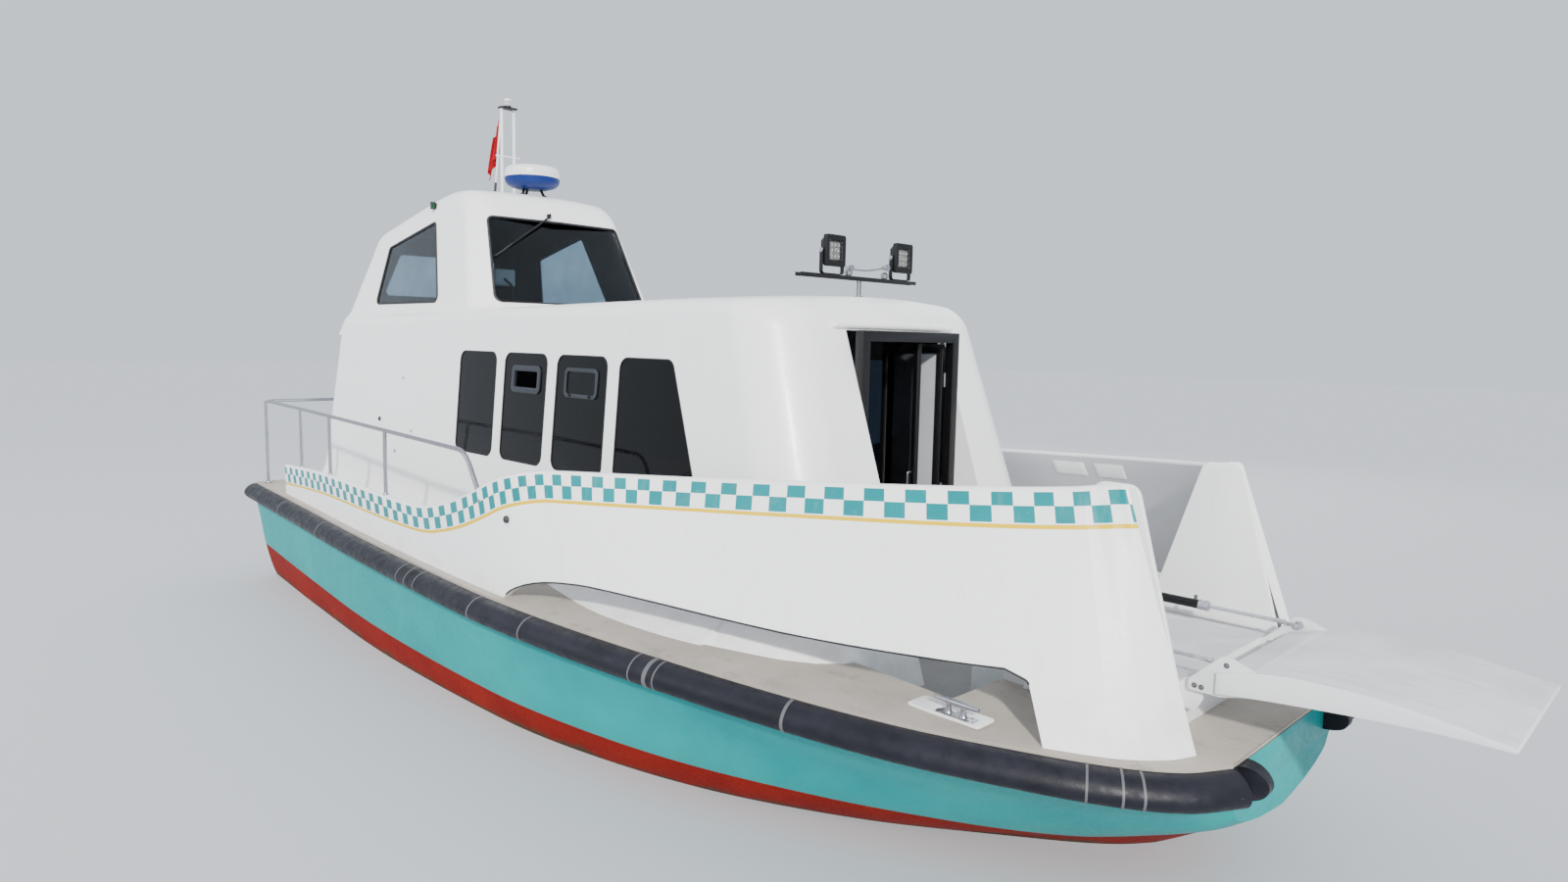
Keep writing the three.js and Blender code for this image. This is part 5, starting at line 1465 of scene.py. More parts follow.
def pane(name, rows_at, outline, finish, lay, replaces=(), opening=None):
    """A pane that follows the wall: an outline filled and given its thickness inward."""
    middle = np.mean(outline, axis=0)
    verts, faces = [], []
    count = len(outline)
    for depth in PANE_FACES:
        first = len(verts)
        verts.append(tuple(rows_at([middle], depth)[0]))
        for t in lay:
            verts.extend(
                tuple(p) for p in rows_at([middle + (np.array(p) - middle) * t for p in outline], depth)
            )
        for k in range(count):
            faces.append((first, first + 1 + k, first + 1 + (k + 1) % count))
        for r in range(len(lay) - 1):
            for k in range(count):
                a, b = first + 1 + r * count + k, first + 1 + r * count + (k + 1) % count
                faces.append((a, b, b + count, a + count))
    shift = 1 + len(lay) * count
    edge = 1 + (len(lay) - 1) * count
    for k in range(count):
        a, b = edge + k, edge + (k + 1) % count
        faces.append((a, b, b + shift, a + shift))
    made = outward(new_object(name, verts, faces))
    if opening:
        combined(made, opening)
    return shown(made, finish, replaces=replaces)


def make_glazing():
    lay = (0.25, 0.5, 0.75, 0.9, 1.0)
    for hand, side in SIDES:
        for i, window in enumerate(SIDE_WINDOWS):
            at = lambda rows, depth: cabin_shape.on_side(rows, depth, hand)
            stands_for = ["cabin_windows_" + side] if i == 0 else []
            opening = slab(
                "opening", hatch_outline(*PORTLIGHT, 0.036), *sorted((hand * 0.4, hand * 2.4))
            ) if i == 1 else None
            glass = side_outline(window, 0.003)
            pane(f"side_window_{i + 1}_{side}", at, glass, "dark_glass", lay, stands_for, opening)
            seal_round(f"side_window_seal_{i + 1}_{side}", at, side_outline(window, 0.001), 0.0045)
        at = lambda rows, depth: wheelhouse_shape.on_side(rows, depth, hand)
        pane(
            "helm_window_" + side, at, helm_outline(0.003), "clear_glass", lay, ["wheelhouse_window_" + side]
        )
        seal_round("helm_window_seal_" + side, at, helm_outline(0.002), 0.011)
    at = lambda rows, depth: wheelhouse_shape.on_end(rows, depth)
    pane("windscreen_pane", at, screen_outline(0.003), "clear_glass", lay, ["windscreen"])
    seal_round("windscreen_seal", at, screen_outline(0.002), 0.011)
    at = lambda rows, depth: wheelhouse_shape.on_end(rows, depth, False)
    pane("rear_pane", at, rear_outline(0.003), "clear_glass", lay, ["rear_window"])
    seal_round("rear_window_seal", at, rear_outline(0.002), 0.011)


def seal_round(name, at, outline, radius):
    """A rubber seal run round an opening."""
    dense = []
    for a, b in zip(outline, outline[1:] + outline[:1]):
        steps = max(1, int(math.dist(a, b) / 0.06))
        dense += [(a[0] + (b[0] - a[0]) * k / steps, a[1] + (b[1] - a[1]) * k / steps) for k in range(steps)]
    ring = [tuple(p) for p in at(dense, 0.001)]
    return shown(tube(name, ring, radius, "gasket", 8, closed=True), None)


# ---------------------------------------------------------------- bow: cheeks, platform, ramp and cylinders

RAMP_HINGE = (8.880, 1.020)
RAMP_LUG = (9.010, 1.140)
RAMP_HALF = 0.480
CYLINDER = {"y": 0.441, "aft": 8.060, "z": 1.140, "mouth": 8.560}


def bolt_shapes():
    """Shapes set by the repeat tree: a hexagon head on its washer, and a round screw head."""
    head = [
        (0, 0.0), (0, 0.0125), (0.0014, 0.0125), (0.0015, 0.0088), (0.0055, 0.0088), (0.0066, 0.0072),
        (0.0066, 0.0)
    ]
    screw = [(0, 0.0), (0, 0.005), (0.0008, 0.005), (0.0018, 0.0038), (0.0022, 0.0)]
    return shape_for_repeats("hexagon_head", head, 12), shape_for_repeats("screw_head", screw, 10)


def make_ramp():
    ax, az = RAMP_HINGE
    top = curve_through([(0.095, 0.082), (0.32, 0.132), (0.56, 0.143), (0.82, 0.128), (1.13, 0.082)], 7)
    nose = [(1.136, 0.078), (1.138, 0.073), (1.136, 0.067)]
    under = curve_through([(1.13, 0.064), (0.92, 0.064), (0.64, 0.048), (0.31, 0.018), (0.095, -0.010)], 6)
    outline = [(ax + x, az + z) for x, z in top + nose + under]
    plate = new_object(
        "ramp_plate", *skinned([[(x, y, z) for x, z in outline] for y in (-RAMP_HALF, RAMP_HALF)])
    )
    coated(plate, "ramp", "ramp_white")
    for face in plate.data.polygons:
        face.material_index = 0 if face.index < len(top) - 1 else 1
    outward(plate)
    for side in (-1, 1):
        y = side * CYLINDER["y"]
        slot = box("slot", (ax + 0.06, ax + 0.192), (y - 0.0175, y + 0.0175), (az - 0.2, az + 0.3))
        combined(plate, numbered(slot, 1, "ramp", "ramp_white"))
    lug = rounded_outline([
        (-0.026, -0.024, 0.018), (0.110, -0.024, 0), (0.250, 0.010, 0), (0.250, 0.118, 0),
        (0.158, 0.152, 0.016), (0.104, 0.152, 0.022), (-0.026, 0.024, 0.018),
    ], 8)
    for side in (-1, 1):
        y = side * 0.460
        cheek = slab("lug", [(ax + x, az + z) for x, z in lug], y - 0.006, y + 0.006)
        pin = turned_body("pin", [(0, 0.010), (0.038, 0.010)], (ax, y, az), (ax, 0, az), 20)
        collar = turned_body("collar", [(0, 0.020), (0.0177, 0.020)], (ax, y, az), (ax, 0, az), 24)
        stub = turned_body(
            "stub", [(0, 0.009), (0.0107, 0.009)], (RAMP_LUG[0], y, RAMP_LUG[1]),
            (RAMP_LUG[0], 0, RAMP_LUG[1]), 20
        )
        for piece in (cheek, pin, collar, stub):
            combined(plate, numbered(piece, 1, "ramp", "ramp_white"), "UNION")
    beveled(plate, 0.0025, 3, 40)
    shown(plate, None, "ramp", ["ramp"], 40)
    spots = []
    for side in (-1, 1):
        for x, z in (RAMP_HINGE, RAMP_LUG, (ax + 0.030, az - 0.002), (ax + 0.175, az + 0.075)):
            spots.append(((x, side * 0.4655, z), (0, side, 0)))
    hexagon, _ = BOLTS
    shown(repeated("ramp_bolts", hexagon, spots, "dark_steel"), None, "ramp", angle=30)


def make_bow_structure():
    for side in ("starboard", "port"):
        cheek = node_copy("bow_cheek_" + side, 0.007, 4)
        shown(cheek, "gelcoat", replaces=["bow_cheek_" + side], angle=50)
    for node, width, segments, top in (("bow_platform", 0.0025, 2, "ramp"), ("bow_step", 0.008, 3, "deck")):
        piece = coated(node_copy(node, width, segments), "ramp_white", top)
        for face in piece.data.polygons:
            face.material_index = 1 if face.normal.z > 0.9 and face.area > 0.01 else 0
        shown(piece, None, replaces=[node], angle=40)
    _, screw = BOLTS
    spots = [
        ((8.832, side * y, z), (1, 0, 0)) for side in (-1, 1) for y,
        z in ((0.20, 0.96), (0.36, 0.96), (0.52, 0.90))
    ]
    spots += [((x, side * 0.605, 0.86), (0, side, 0)) for side in (-1, 1) for x in (8.20, 8.42, 8.64, 8.84)]
    shown(repeated("bow_screws", screw, spots, "steel", 1.3), None, angle=30)


def make_cylinders():
    c = CYLINDER
    for side, hand in SIDES:
        y, z = side * c["y"], c["z"]
        loop = [
            (0.028, 0.0), (0.028, 0.012), (0.018, 0.012), (0.014, 0.018), (0.018, 0.0226), (0.024, 0.024),
            (0.480, 0.024), (0.484, 0.0225), (0.500, 0.0225), (0.500, 0.0115), (0.030, 0.0115), (0.030, 0.0),
        ]
        barrel = turned_loop("barrel_tube", loop, (c["aft"], y, z), (9.0, y, z), 32)
        eye = turned_body(
            "barrel_eye", [(0, 0.020), (0.001, 0.022), (0.019, 0.022), (0.020, 0.020)],
            (c["aft"], y - 0.010, z), (c["aft"], y + 0.010, z), 28
        )
        body = united("barrel_body_" + hand, [barrel, eye])
        shown(body, "gloss_black", "barrel_" + hand, ["ramp_barrel_" + hand], 40)
        ring = [
            (0, 0.0116), (0, 0.026), (0.003, 0.028), (0.020, 0.028), (0.022, 0.0255), (0.030, 0.0255),
            (0.032, 0.028), (0.050, 0.028), (0.053, 0.025), (0.053, 0.0116),
        ]
        gland = turned_loop("gland_" + hand, ring, (c["mouth"] - 0.041, y, z), (9.0, y, z), 8)
        shown(gland, "steel", "barrel_" + hand, angle=25)
        ports = []
        for x in (c["aft"] + 0.052, c["mouth"] - 0.06):
            foot = (x, y, z + 0.021)
            profile = [
                (0, 0.011), (0.008, 0.011), (0.0085, 0.0085), (0.015, 0.0085), (0.0155, 0.0105),
                (0.024, 0.0105), (0.026, 0.008)
            ]
            ports.append(turned_body("port_nut", profile, foot, (x, y, z + 1), 6))
        shown(
            joined_pieces("cylinder_ports_" + hand, ports), "dark_steel", "barrel_" + hand,
            angle=25
        )
        lug = RAMP_LUG[0]
        rod = turned_body(
            "piston",
            [
                (0, 0.0095), (0.002, 0.011), (0.588, 0.011), (0.590, 0.0135), (0.612, 0.0135),
                (0.618, 0.0076), (0.668, 0.0076)
            ],
            (c["mouth"] - 0.230, y, z), (9.5, y, z), 28
        )
        rod_eye = turned_body(
            "rod_eye", [(0, 0.018), (0.001, 0.020), (0.015, 0.020), (0.016, 0.018)], (lug, y - 0.008, z),
            (lug, y + 0.008, z), 28
        )
        shown(
            united("ramp_piston_" + hand, [rod, rod_eye]), "chrome", "rod_" + hand, ["ramp_rod_" + hand],
            35
        )


# ---------------------------------------------------------------- rail, mast, radar, lights, cleats

RAIL_END = (4.965, 1.790, 1.452)
RAIL_TOP = [
    (0.130, 1.600, 1.785), (1.300, 1.655, 1.782), (2.150, 1.705, 1.778), (3.450, 1.770, 1.766),
    (4.760, 1.790, 1.740)
]


def flange(name, foot, facing, radius=0.034):
    profile = [
        (0, radius - 0.002), (0.001, radius), (0.004, radius), (0.006, radius - 0.003), (0.007, 0.019),
        (0.012, 0.0175)
    ]
    end = tuple(a + b for a, b in zip(foot, facing))
    return turned_body(name, profile, foot, end, 28)


def make_rail():
    radius = 0.015
    x_end, y_end, z_end = RAIL_END
    run = [(x_end, -y_end, z_end)] + [(x, -y, z) for x, y, z in reversed(RAIL_TOP)]
    run += [(x, y, z) for x, y, z in RAIL_TOP] + [RAIL_END]
    path = filleted_path(run, 0.11, 8)
    top_rail = tube("stern_rail_top", path, radius, "steel", 20)
    shown(top_rail, None, replaces=["stern_rail"], angle=40)
    posts, feet, screws = [], [], []
    for x, y, z in RAIL_TOP[1:4]:
        foot = wall_top((x, -y), x)
        for hand in (-1, 1):
            posts.append(
                tube("post", [(x, hand * y, z), (x, hand * y, foot + 0.001)], radius * 0.93, "steel", 18)
            )
            feet.append(flange("foot", (x, hand * y, foot), (0, 0, 1), 0.021))
    for y in (-1.600, -0.540, 0.540, 1.600):
        deck = float(deck_height(0.13)) + HAIR
        posts.append(tube("post", [(0.13, y, 1.785), (0.13, y, deck + 0.001)], radius * 0.93, "steel", 18))
        feet.append(flange("foot", (0.13, y, deck), (0, 0, 1)))
        screws += [
            ((0.13 + 0.026 * math.cos(a), y + 0.026 * math.sin(a), deck + 0.0055), (0, 0, 1))
            for a in (0.8, 2.9, 5.0)
        ]
    for hand in (-1, 1):
        feet.append(flange("landing", (x_end + 0.004, hand * y_end, z_end - 0.008), (-0.55, 0, 0.83), 0.03))
    shown(joined_pieces("stern_rail_posts", posts), "steel", angle=40)
    shown(joined_pieces("stern_rail_feet", feet), "steel", angle=30)
    shown(repeated("rail_foot_screws", BOLTS[1], screws, "dark_steel"), None, angle=30)


STAFF = ((1.880, -0.060, 3.640), (2.042, -0.060, 4.500))


def make_mast():
    x, top = 2.060, 4.580
    poles, feet = [], []
    for y in (-0.062, 0.062):
        foot = wheelhouse_shape.roof_height(x, y)
        poles.append(tube("pole", [(x, y, foot - 0.001), (x, y, top)], 0.014, "mast_paint", 20))
        feet.append(flange("foot", (x, y, foot - 0.002), (0, 0, 1), 0.036))
    shown(joined_pieces("mast_poles", poles), "mast_paint", replaces=["mast"], angle=40)
    plate = slab(
        "mast_head", rectangle((x - 0.045, x + 0.045), (-0.085, 0.085), 0.02, 5), top - 0.005, top + 0.008,
        "z"
    )
    shown(beveled(plate, 0.002), "black")
    bar = tube("mast_crossbar", [(x, -0.118, 4.14), (x, 0.118, 4.14)], 0.0095, "mast_paint", 16)
    ends = [
        turned_body("end", [(0, 0.0115), (0.012, 0.0115), (0.014, 0.009)], (x, y, 4.14), (x, y * 2, 4.14), 16)
        for y in (-0.106, 0.106)
    ]
    shown(joined_pieces("mast_bar", [bar] + ends), "mast_paint", angle=35)
    lamp = [(0.008, 0.030), (0.010, 0.034), (0.024, 0.034), (0.026, 0.031)]
    shown(turned_body("mast_lamp_base", lamp, (x, 0, top), (x, 0, 5), 28), "black_plastic")
    lens = [
        (0.026, 0.030), (0.030, 0.0315), (0.036, 0.0295), (0.042, 0.0315), (0.048, 0.0295), (0.054, 0.0315),
        (0.060, 0.0295), (0.066, 0.0315), (0.070, 0.030)
    ]
    shown(
        turned_body("mast_lamp_lens", lens, (x, 0, top), (x, 0, 5), 28), "lens_white",
        angle=60
    )
    cap = [(0.070, 0.0335), (0.074, 0.034), (0.082, 0.033), (0.089, 0.024), (0.093, 0.010), (0.094, 0.0005)]
    shown(turned_body("mast_lamp_cap", cap, (x, 0, top), (x, 0, 5), 28), "mast_paint")
    foot, head = Vector(STAFF[0]), Vector(STAFF[1])
    sole = wheelhouse_shape.roof_height(foot.x, foot.y)
    start = foot + (head - foot) * ((sole - foot.z) / (head.z - foot.z))
    staff = tube("staff", [tuple(start), tuple(head - (head - foot) * 0.01)], 0.008, "mast_paint", 14)
    ball = turned_body(
        "truck", [(0, 0.004), (0.003, 0.010), (0.008, 0.0125), (0.013, 0.010), (0.016, 0.004)],
        tuple(head - (head - foot) * 0.018), tuple(head), 18
    )
    clamp = tube("clamp", [(1.976, -0.060, 4.140), (x, -0.060, 4.140)], 0.007, "mast_paint", 12)
    shown(joined_pieces("flag_staff", [staff, ball, clamp]), "mast_paint", angle=40)
    feet.append(flange("foot", tuple(start), tuple(head - foot), 0.024))
    socket = [(0.004, 0.012), (0.24, 0.0115), (0.244, 0.0085)]
    feet.append(turned_body("socket", socket, tuple(start), tuple(head), 18))
    shown(joined_pieces("mast_feet", feet), "black_plastic", angle=30)


def make_flag():
    """The cloth hangs from its staff in folds, its free end lowest; every row keeps the cut's length."""
    hoist, fly = 0.300, 0.450
    rows, columns = 36, 120
    rake = (STAFF[1][0] - STAFF[0][0]) / (STAFF[1][2] - STAFF[0][2])
    s = np.linspace(0, 1, columns + 1)
    verts, cut = [], []
    for r in range(rows + 1):
        u = r / rows
        z = 4.484 - hoist * u
        luff = STAFF[0][0] + rake * (z - STAFF[0][2]) - 0.0100
        reach = (0.125 + 0.060 * u) * s ** 0.92
        drop = (0.225 + 0.020 * u) * s ** 1.25
        turn = 2 * math.pi * (0.5 + 2.85 * s ** 0.9) + 0.5 * u * gentle(s * 2)
        wave = np.sin(turn) + 0.22 * np.sin(2.3 * turn + 1.1 + u)
        wave = (wave - wave[0]) * gentle(s / 0.16)
        wave += 0.9 * np.sin(math.pi * s) * (1 - 0.4 * u) - 0.4 * s * u

        def row(size):
            points = np.stack([luff - reach, STAFF[0][1] + size * wave, z - drop], 1)
            return points, np.linalg.norm(np.diff(points, axis=0), axis=1).sum()

        low, high = 0.0, 0.09
        for _ in range(30):
            middle = (low + high) / 2
            low, high = (middle, high) if row(middle)[1] < fly else (low, middle)
        verts += [tuple(p) for p in row(low)[0]]
        cut += [(fly * c, hoist * (1 - u)) for c in s]
    wide = columns + 1
    faces = [
        (a, a + 1, a + wide + 1, a + wide) for r in range(rows) for a in range(r * wide, r * wide + columns)
    ]
    cloth = new_object("flag_cloth", verts, faces)
    layer = cloth.data.uv_layers.new(name="cut")
    for loop in cloth.data.loops:
        layer.data[loop.index].uv = cut[loop.vertex_index]
    solid = cloth.modifiers.new("thickness", "SOLIDIFY")
    solid.thickness, solid.offset = 0.0006, 0
    settled(cloth)
    shown(cloth, "flag", replaces=["flag"], angle=60)


def make_radar():
    x, low = 2.500, 3.800
    pan = [
        (0.0, 0.010), (0.0, 0.135), (0.006, 0.150), (0.016, 0.190), (0.034, 0.222), (0.060, 0.238),
        (0.088, 0.2435), (0.092, 0.2435), (0.093, 0.240)
    ]
    shown(
        turned_body("radar_pan", pan, (x, 0, low), (x, 0, 9), 64), "radar_blue", replaces=["radar"],
        angle=30
    )
    dome = [
        (0.094, 0.240), (0.095, 0.2448), (0.104, 0.2452), (0.140, 0.2445), (0.162, 0.2405), (0.178, 0.231),
        (0.189, 0.214), (0.196, 0.190), (0.203, 0.150), (0.210, 0.100), (0.215, 0.050), (0.2175, 0.0005)
    ]
    shown(
        turned_body("radar_dome", dome, (x, 0, low), (x, 0, 9), 64), "radar_white", angle=30
    )
    legs = []
    for a, b in (
        ((x + 0.02, 0.11), (x, 0.08)), ((x + 0.02, -0.11), (x, -0.08)), ((x - 0.12, 0), (x - 0.09, 0))
    ):
        foot = wheelhouse_shape.roof_height(*a)
        legs.append(tube("leg", [(*a, foot - 0.001), (*b, low + 0.01)], 0.0125, "black", 16))
        legs.append(flange("leg_foot", (*a, foot - 0.001), (0, 0, 1), 0.03))
    shown(joined_pieces("radar_legs", legs), "black", angle=35)


def square_ring(name, x_rows, y, z, corner=0.014):
    """A square body about (y, z): rows of (x, half width, half height)."""
    rings = []
    for x, wide, high in x_rows:
        r = min(corner, wide * 0.9, high * 0.9)
        outline = rectangle((-wide, wide), (-high, high), r, 5)
        rings.append([(x, y + a, z + b) for a, b in outline])
    return lofted(name, rings)


def make_lights():
    x, bar_z, half = 6.470, 2.872, 0.545
    foot = plain_cabin.roof_height(x, 0)
    posts = [
        tube("post", [(x, y, foot - 0.001), (x, y, bar_z - 0.004)], 0.006, "steel", 16)
        for y in (-0.0135, 0.0135)
    ]
    posts.append(flange("foot", (x, 0, foot - 0.0005), (0, 0, 1), 0.040))
    shown(
        joined_pieces("light_post", posts), "dark_steel", replaces=["floodlight_bar"], angle=35
    )
    # the bar is a strip of like cells, each with a round hole
    cell, sides = half / 21.8, 24
    shape = new_object("bar_cell", *perforated_cell(cell, 0.021, 0.0065, 0.0035, sides))
    outward(shape)
    shape.hide_render = True
    smoothed(shape, 40)
    spots = [((x, (k - 21.5) * cell, bar_z), (0, 0, 1)) for k in range(44)]
    strip = repeated("light_bar", shape, spots, "black")
    shown(outward(strip, 2e-5), None, angle=40)
    rails = [
        beveled(
            box("lip", (x + a - 0.0016, x + a + 0.0016), (-half, half), (bar_z - 0.012, bar_z + 0.011)),
            0.0008, 2
        )
        for a in (-0.0225, 0.0225)
    ]
    shown(joined_pieces("light_bar_lips", rails), "black", angle=40)
    hexagon, _ = BOLTS
    screws = []
    for i, y in enumerate((-0.255, 0.400)):
        tag, z = ("starboard", "port")[i], 3.025
        wide, high = 0.086, 0.095
        back = [
            (x - 0.037, 0.055, 0.062), (x - 0.035, 0.060, 0.068), (x - 0.012, 0.070, 0.080),
            (x + 0.004, wide - 0.004, high - 0.004), (x + 0.008, wide, high), (x + 0.035, wide, high),
            (x + 0.037, wide - 0.002, high - 0.002)
        ]
        case = square_ring("case", back, y, z)
        combined(
            case,
            square_ring(
                "hollow", [(x + 0.012, wide - 0.034, high - 0.040), (x + 0.05, wide - 0.022, high - 0.028)],
                y, z, 0.008
            )
        )
        shown(beveled(case, 0.0012, 2, 30), "gloss_black", angle=35)
        fin = [(x - 0.034, z - 0.06), (x - 0.012, z - 0.078), (x - 0.012, z + 0.078), (x - 0.034, z + 0.06)]
        fins = [
            slab("fin", fin, y + a - 0.0014, y + a + 0.0014)
            for a in np.linspace(-0.062, 0.062, 9)
        ]
        shown(joined_pieces("lamp_fins_" + tag, fins), "black")
        face = square_ring(
            "face", [(x + 0.0125, wide - 0.0355, high - 0.0415), (x + 0.0145, wide - 0.0355, high - 0.0415)],
            y, z, 0.006
        )
        shown(face, "lamp_face").name = "lamp_reflector_" + tag
        cups = []
        for a in (-0.030, 0.0, 0.030):
            for b in (-0.033, 0.0, 0.033):
                loop = [(0, 0.0135), (0.008, 0.0138), (0.0085, 0.0125), (0.002, 0.004), (0.0, 0.004)]
                cups.append(turned_loop("cup", loop, (x + 0.0143, y + a, z + b), (x + 1, y + a, z + b), 14))
        shown(joined_pieces("lamp_cups_" + tag, cups), "lamp_cup", angle=40)
        glass = square_ring(
            "glass", [(x + 0.0285, wide - 0.0300, high - 0.0360), (x + 0.0320, wide - 0.0300, high - 0.0360)],
            y, z, 0.006
        )
        shown(glass, "lamp_glass").name = "lamp_pane_" + tag
        bow = [
            (x, y - wide - 0.008, z + 0.012), (x, y - wide - 0.008, bar_z + 0.016),
            (x, y + wide + 0.008, bar_z + 0.016), (x, y + wide + 0.008, z + 0.012)
        ]
        strap = [flat_strap(filleted_path(bow, 0.018, 5), 0.028, 0.004)]
        strap.append(
            turned_body(
                "stem", [(0, 0.016), (0.004, 0.016), (0.005, 0.011), (0.014, 0.011)], (x, y, bar_z + 0.002),
                (x, y, 4), 18
            )
        )
        shown(joined_pieces("lamp_yoke_" + tag, strap), "black", angle=35)
        screws += [((x, y + s * (wide + 0.0095), z), (0, s, 0)) for s in (-1, 1)]
    shown(repeated("lamp_knobs", hexagon, screws, "steel", 1.1), None, angle=30)
    # horn-like nozzles between the lamps, joined by a thin pipe
    knobs = []
    for y, z in ((-0.10, 2.930), (0.245, 2.955)):
        profile = [(0, 0.015), (0.010, 0.015), (0.014, 0.024), (0.036, 0.025), (0.044, 0.016), (0.050, 0.012)]
        knobs.append(turned_body("nozzle", profile, (x, y, bar_z + 0.004), (x, y, 9), 22))
        knobs.append(
            turned_body(
                "nozzle_arm", [(0, 0.013), (0.03, 0.013), (0.034, 0.021), (0.050, 0.021), (0.053, 0.015)],
                (x - 0.02, y, z), (x + 1, y, z), 20
            )
        )
    sag = [
        (x, -0.10 + 0.345 * t, 2.930 + 0.025 * t - 0.014 * math.sin(math.pi * t))
        for t in np.linspace(0, 1, 14)
    ]
    knobs.append(tube("thin_pipe", sag, 0.006, "steel", 10))
    shown(joined_pieces("bar_fittings", knobs), "steel", angle=35)


def perforated_cell(size, half_width, hole, half_thick, sides):
    """One square cell of a flat strip with a round hole, closed to its thickness. Its length lies along Y."""
    verts, faces = [], []
    for level in (-half_thick, half_thick):
        for kind in ("hole", "rim"):
            for k in range(sides):
                a = 2 * math.pi * k / sides + math.pi / sides
                c, s = math.cos(a), math.sin(a)
                if kind == "hole":
                    verts.append((HALF_HULL + hole * c, hole * s, level))
                else:
                    grow = min(half_width / max(abs(c), 1e-6), size / 2 / max(abs(s), 1e-6))
                    verts.append((HALF_HULL + grow * c, grow * s, level))
    at = lambda level, kind, k: level * 2 * sides + kind * sides + k % sides
    for k in range(sides):
        faces.append((at(0, 0, k), at(0, 0, k + 1), at(0, 1, k + 1), at(0, 1, k)))
        faces.append((at(1, 0, k), at(1, 1, k), at(1, 1, k + 1), at(1, 0, k + 1)))
        faces.append((at(0, 0, k), at(1, 0, k), at(1, 0, k + 1), at(0, 0, k + 1)))
        faces.append((at(0, 1, k), at(0, 1, k + 1), at(1, 1, k + 1), at(1, 1, k)))
    return verts, faces


def flat_strap(path, wide, thick):
    """A flat metal strip bent along a path that lies in a plane across the boat."""
    rings = []
    points = [Vector(p) for p in path]
    for i, p in enumerate(points):
        along = (points[min(i + 1, len(points) - 1)] - points[max(i - 1, 0)]).normalized()
        out = along.cross(Vector((1, 0, 0))).normalized() * thick / 2
        fore = Vector((wide / 2, 0, 0))
        rings.append(
            [tuple(p + fore + out), tuple(p - fore + out), tuple(p - fore - out), tuple(p + fore - out)]
        )
    return lofted("strap", rings)


CLEATS = {"cleat_bow": (8.120, 1.150), "cleat_stern": (0.480, 1.440)}


def make_cleats():
    for name, (x, y) in CLEATS.items():
        for hand, side in SIDES:
            deck = float(deck_height(x))
            cy = hand * y
            base = slab(
                "base", rectangle((x - 0.105, x + 0.105), (cy - 0.032, cy + 0.032), 0.03, 7), deck + HAIR,
                deck + 0.012, "z"
            )
            beveled(base, 0.003, 3)
            legs = [
                turned_body(
                    "leg", [(0, 0.021), (0.006, 0.0165), (0.03, 0.0125), (0.055, 0.0135)],
                    (x + dx, cy, deck + 0.010), (x + dx * 0.9, cy, deck + 1), 22
                )
                for dx in (-0.040, 0.040)
            ]
            horn = turned_body(
                "horn",
                [
                    (0, 0.002), (0.004, 0.0085), (0.03, 0.0115), (0.085, 0.0145), (0.125, 0.0155),
                    (0.165, 0.0145), (0.22, 0.0115), (0.246, 0.0085), (0.25, 0.002)
                ],
                (x - 0.125, cy, deck + 0.066), (x + 1, cy, deck + 0.066), 24
            )
            whole = united(name + "_cast_" + side, [base] + legs + [horn])
            shown(whole, "steel", replaces=[f"{name}_{side}"], angle=50)
            spots = [
                ((x + a, cy + b, deck + 0.0118), (0, 0, 1)) for a in (-0.075, 0.075) for b in (-0.019, 0.019)
            ]
            shown(
                repeated(f"{name}_screws_{side}", BOLTS[1], spots, "dark_steel", 1.2), None,
                angle=30
            )


# ---------------------------------------------------------------- door

LEAF_LOW, LEAF_HIGH = 0.655, 2.473
DOOR_HINGE = (6.864, 0.394)
JAMB_AT = Matrix.Translation(
    (DOOR_HINGE[0] - HALF_HULL, DOOR_HINGE[1], 0)
) @ Matrix.Rotation(math.radians(-75), 4, "Z")
FREE_AT = JAMB_AT @ Matrix.Translation((0.036, -0.392, 0)) @ Matrix.Rotation(math.radians(150), 4, "Z")


def local_box(name, x, y, z):
    """A box in a leaf's own coordinates."""
    return box(name, (x[0] + HALF_HULL, x[1] + HALF_HULL), y, z)


def moved(thing, matrix):
    thing.data.transform(matrix)
    return thing


def make_leaf(tag, body, node, matrix, x, y, pane_finish):
    stile, rail = 0.042, 0.055
    low, high = LEAF_LOW, LEAF_HIGH
    frame_work = local_box("leaf", x, y, (low, high))
    beveled(frame_work, 0.004, 3)
    openings = ((low + 0.10, low + 0.66), (low + 0.72, high - rail))
    for bottom, top in openings:
        combined(
            frame_work,
            local_box("opening", (x[0] - 1, x[1] + 1), (y[0] + stile, y[1] - stile), (bottom, top))
        )
    beveled(frame_work, 0.0015, 2, 50)
    shown(moved(frame_work, matrix), "gloss_black", body, [node], 40)
    middle = (x[0] + x[1]) / 2
    fill, rubber = [], []
    for bottom, top in openings:
        inside = ((y[0] + stile + 0.0005, y[1] - stile - 0.0005), (bottom + 0.0005, top - 0.0005))
        fill.append(local_box("fill", (middle - 0.004, middle + 0.004), *inside))
        for side in (-1, 1):
            edge = [(middle + side * 0.0065, a, b) for a, b in (
                (inside[0][0] + 0.004, inside[1][0] + 0.004), (inside[0][1] - 0.004, inside[1][0] + 0.004),
                (inside[0][1] - 0.004, inside[1][1] - 0.004), (inside[0][0] + 0.004, inside[1][1] - 0.004),
            )]
            rubber.append(
                tube("bead", [(a + HALF_HULL, b, c) for a, b, c in edge], 0.0035, "gasket", 8, closed=True)
            )
    shown(moved(joined_pieces(f"door_panes_{tag}", fill), matrix), pane_finish, body)
    shown(moved(joined_pieces(f"door_beads_{tag}", rubber), matrix), "gasket", body, angle=50)


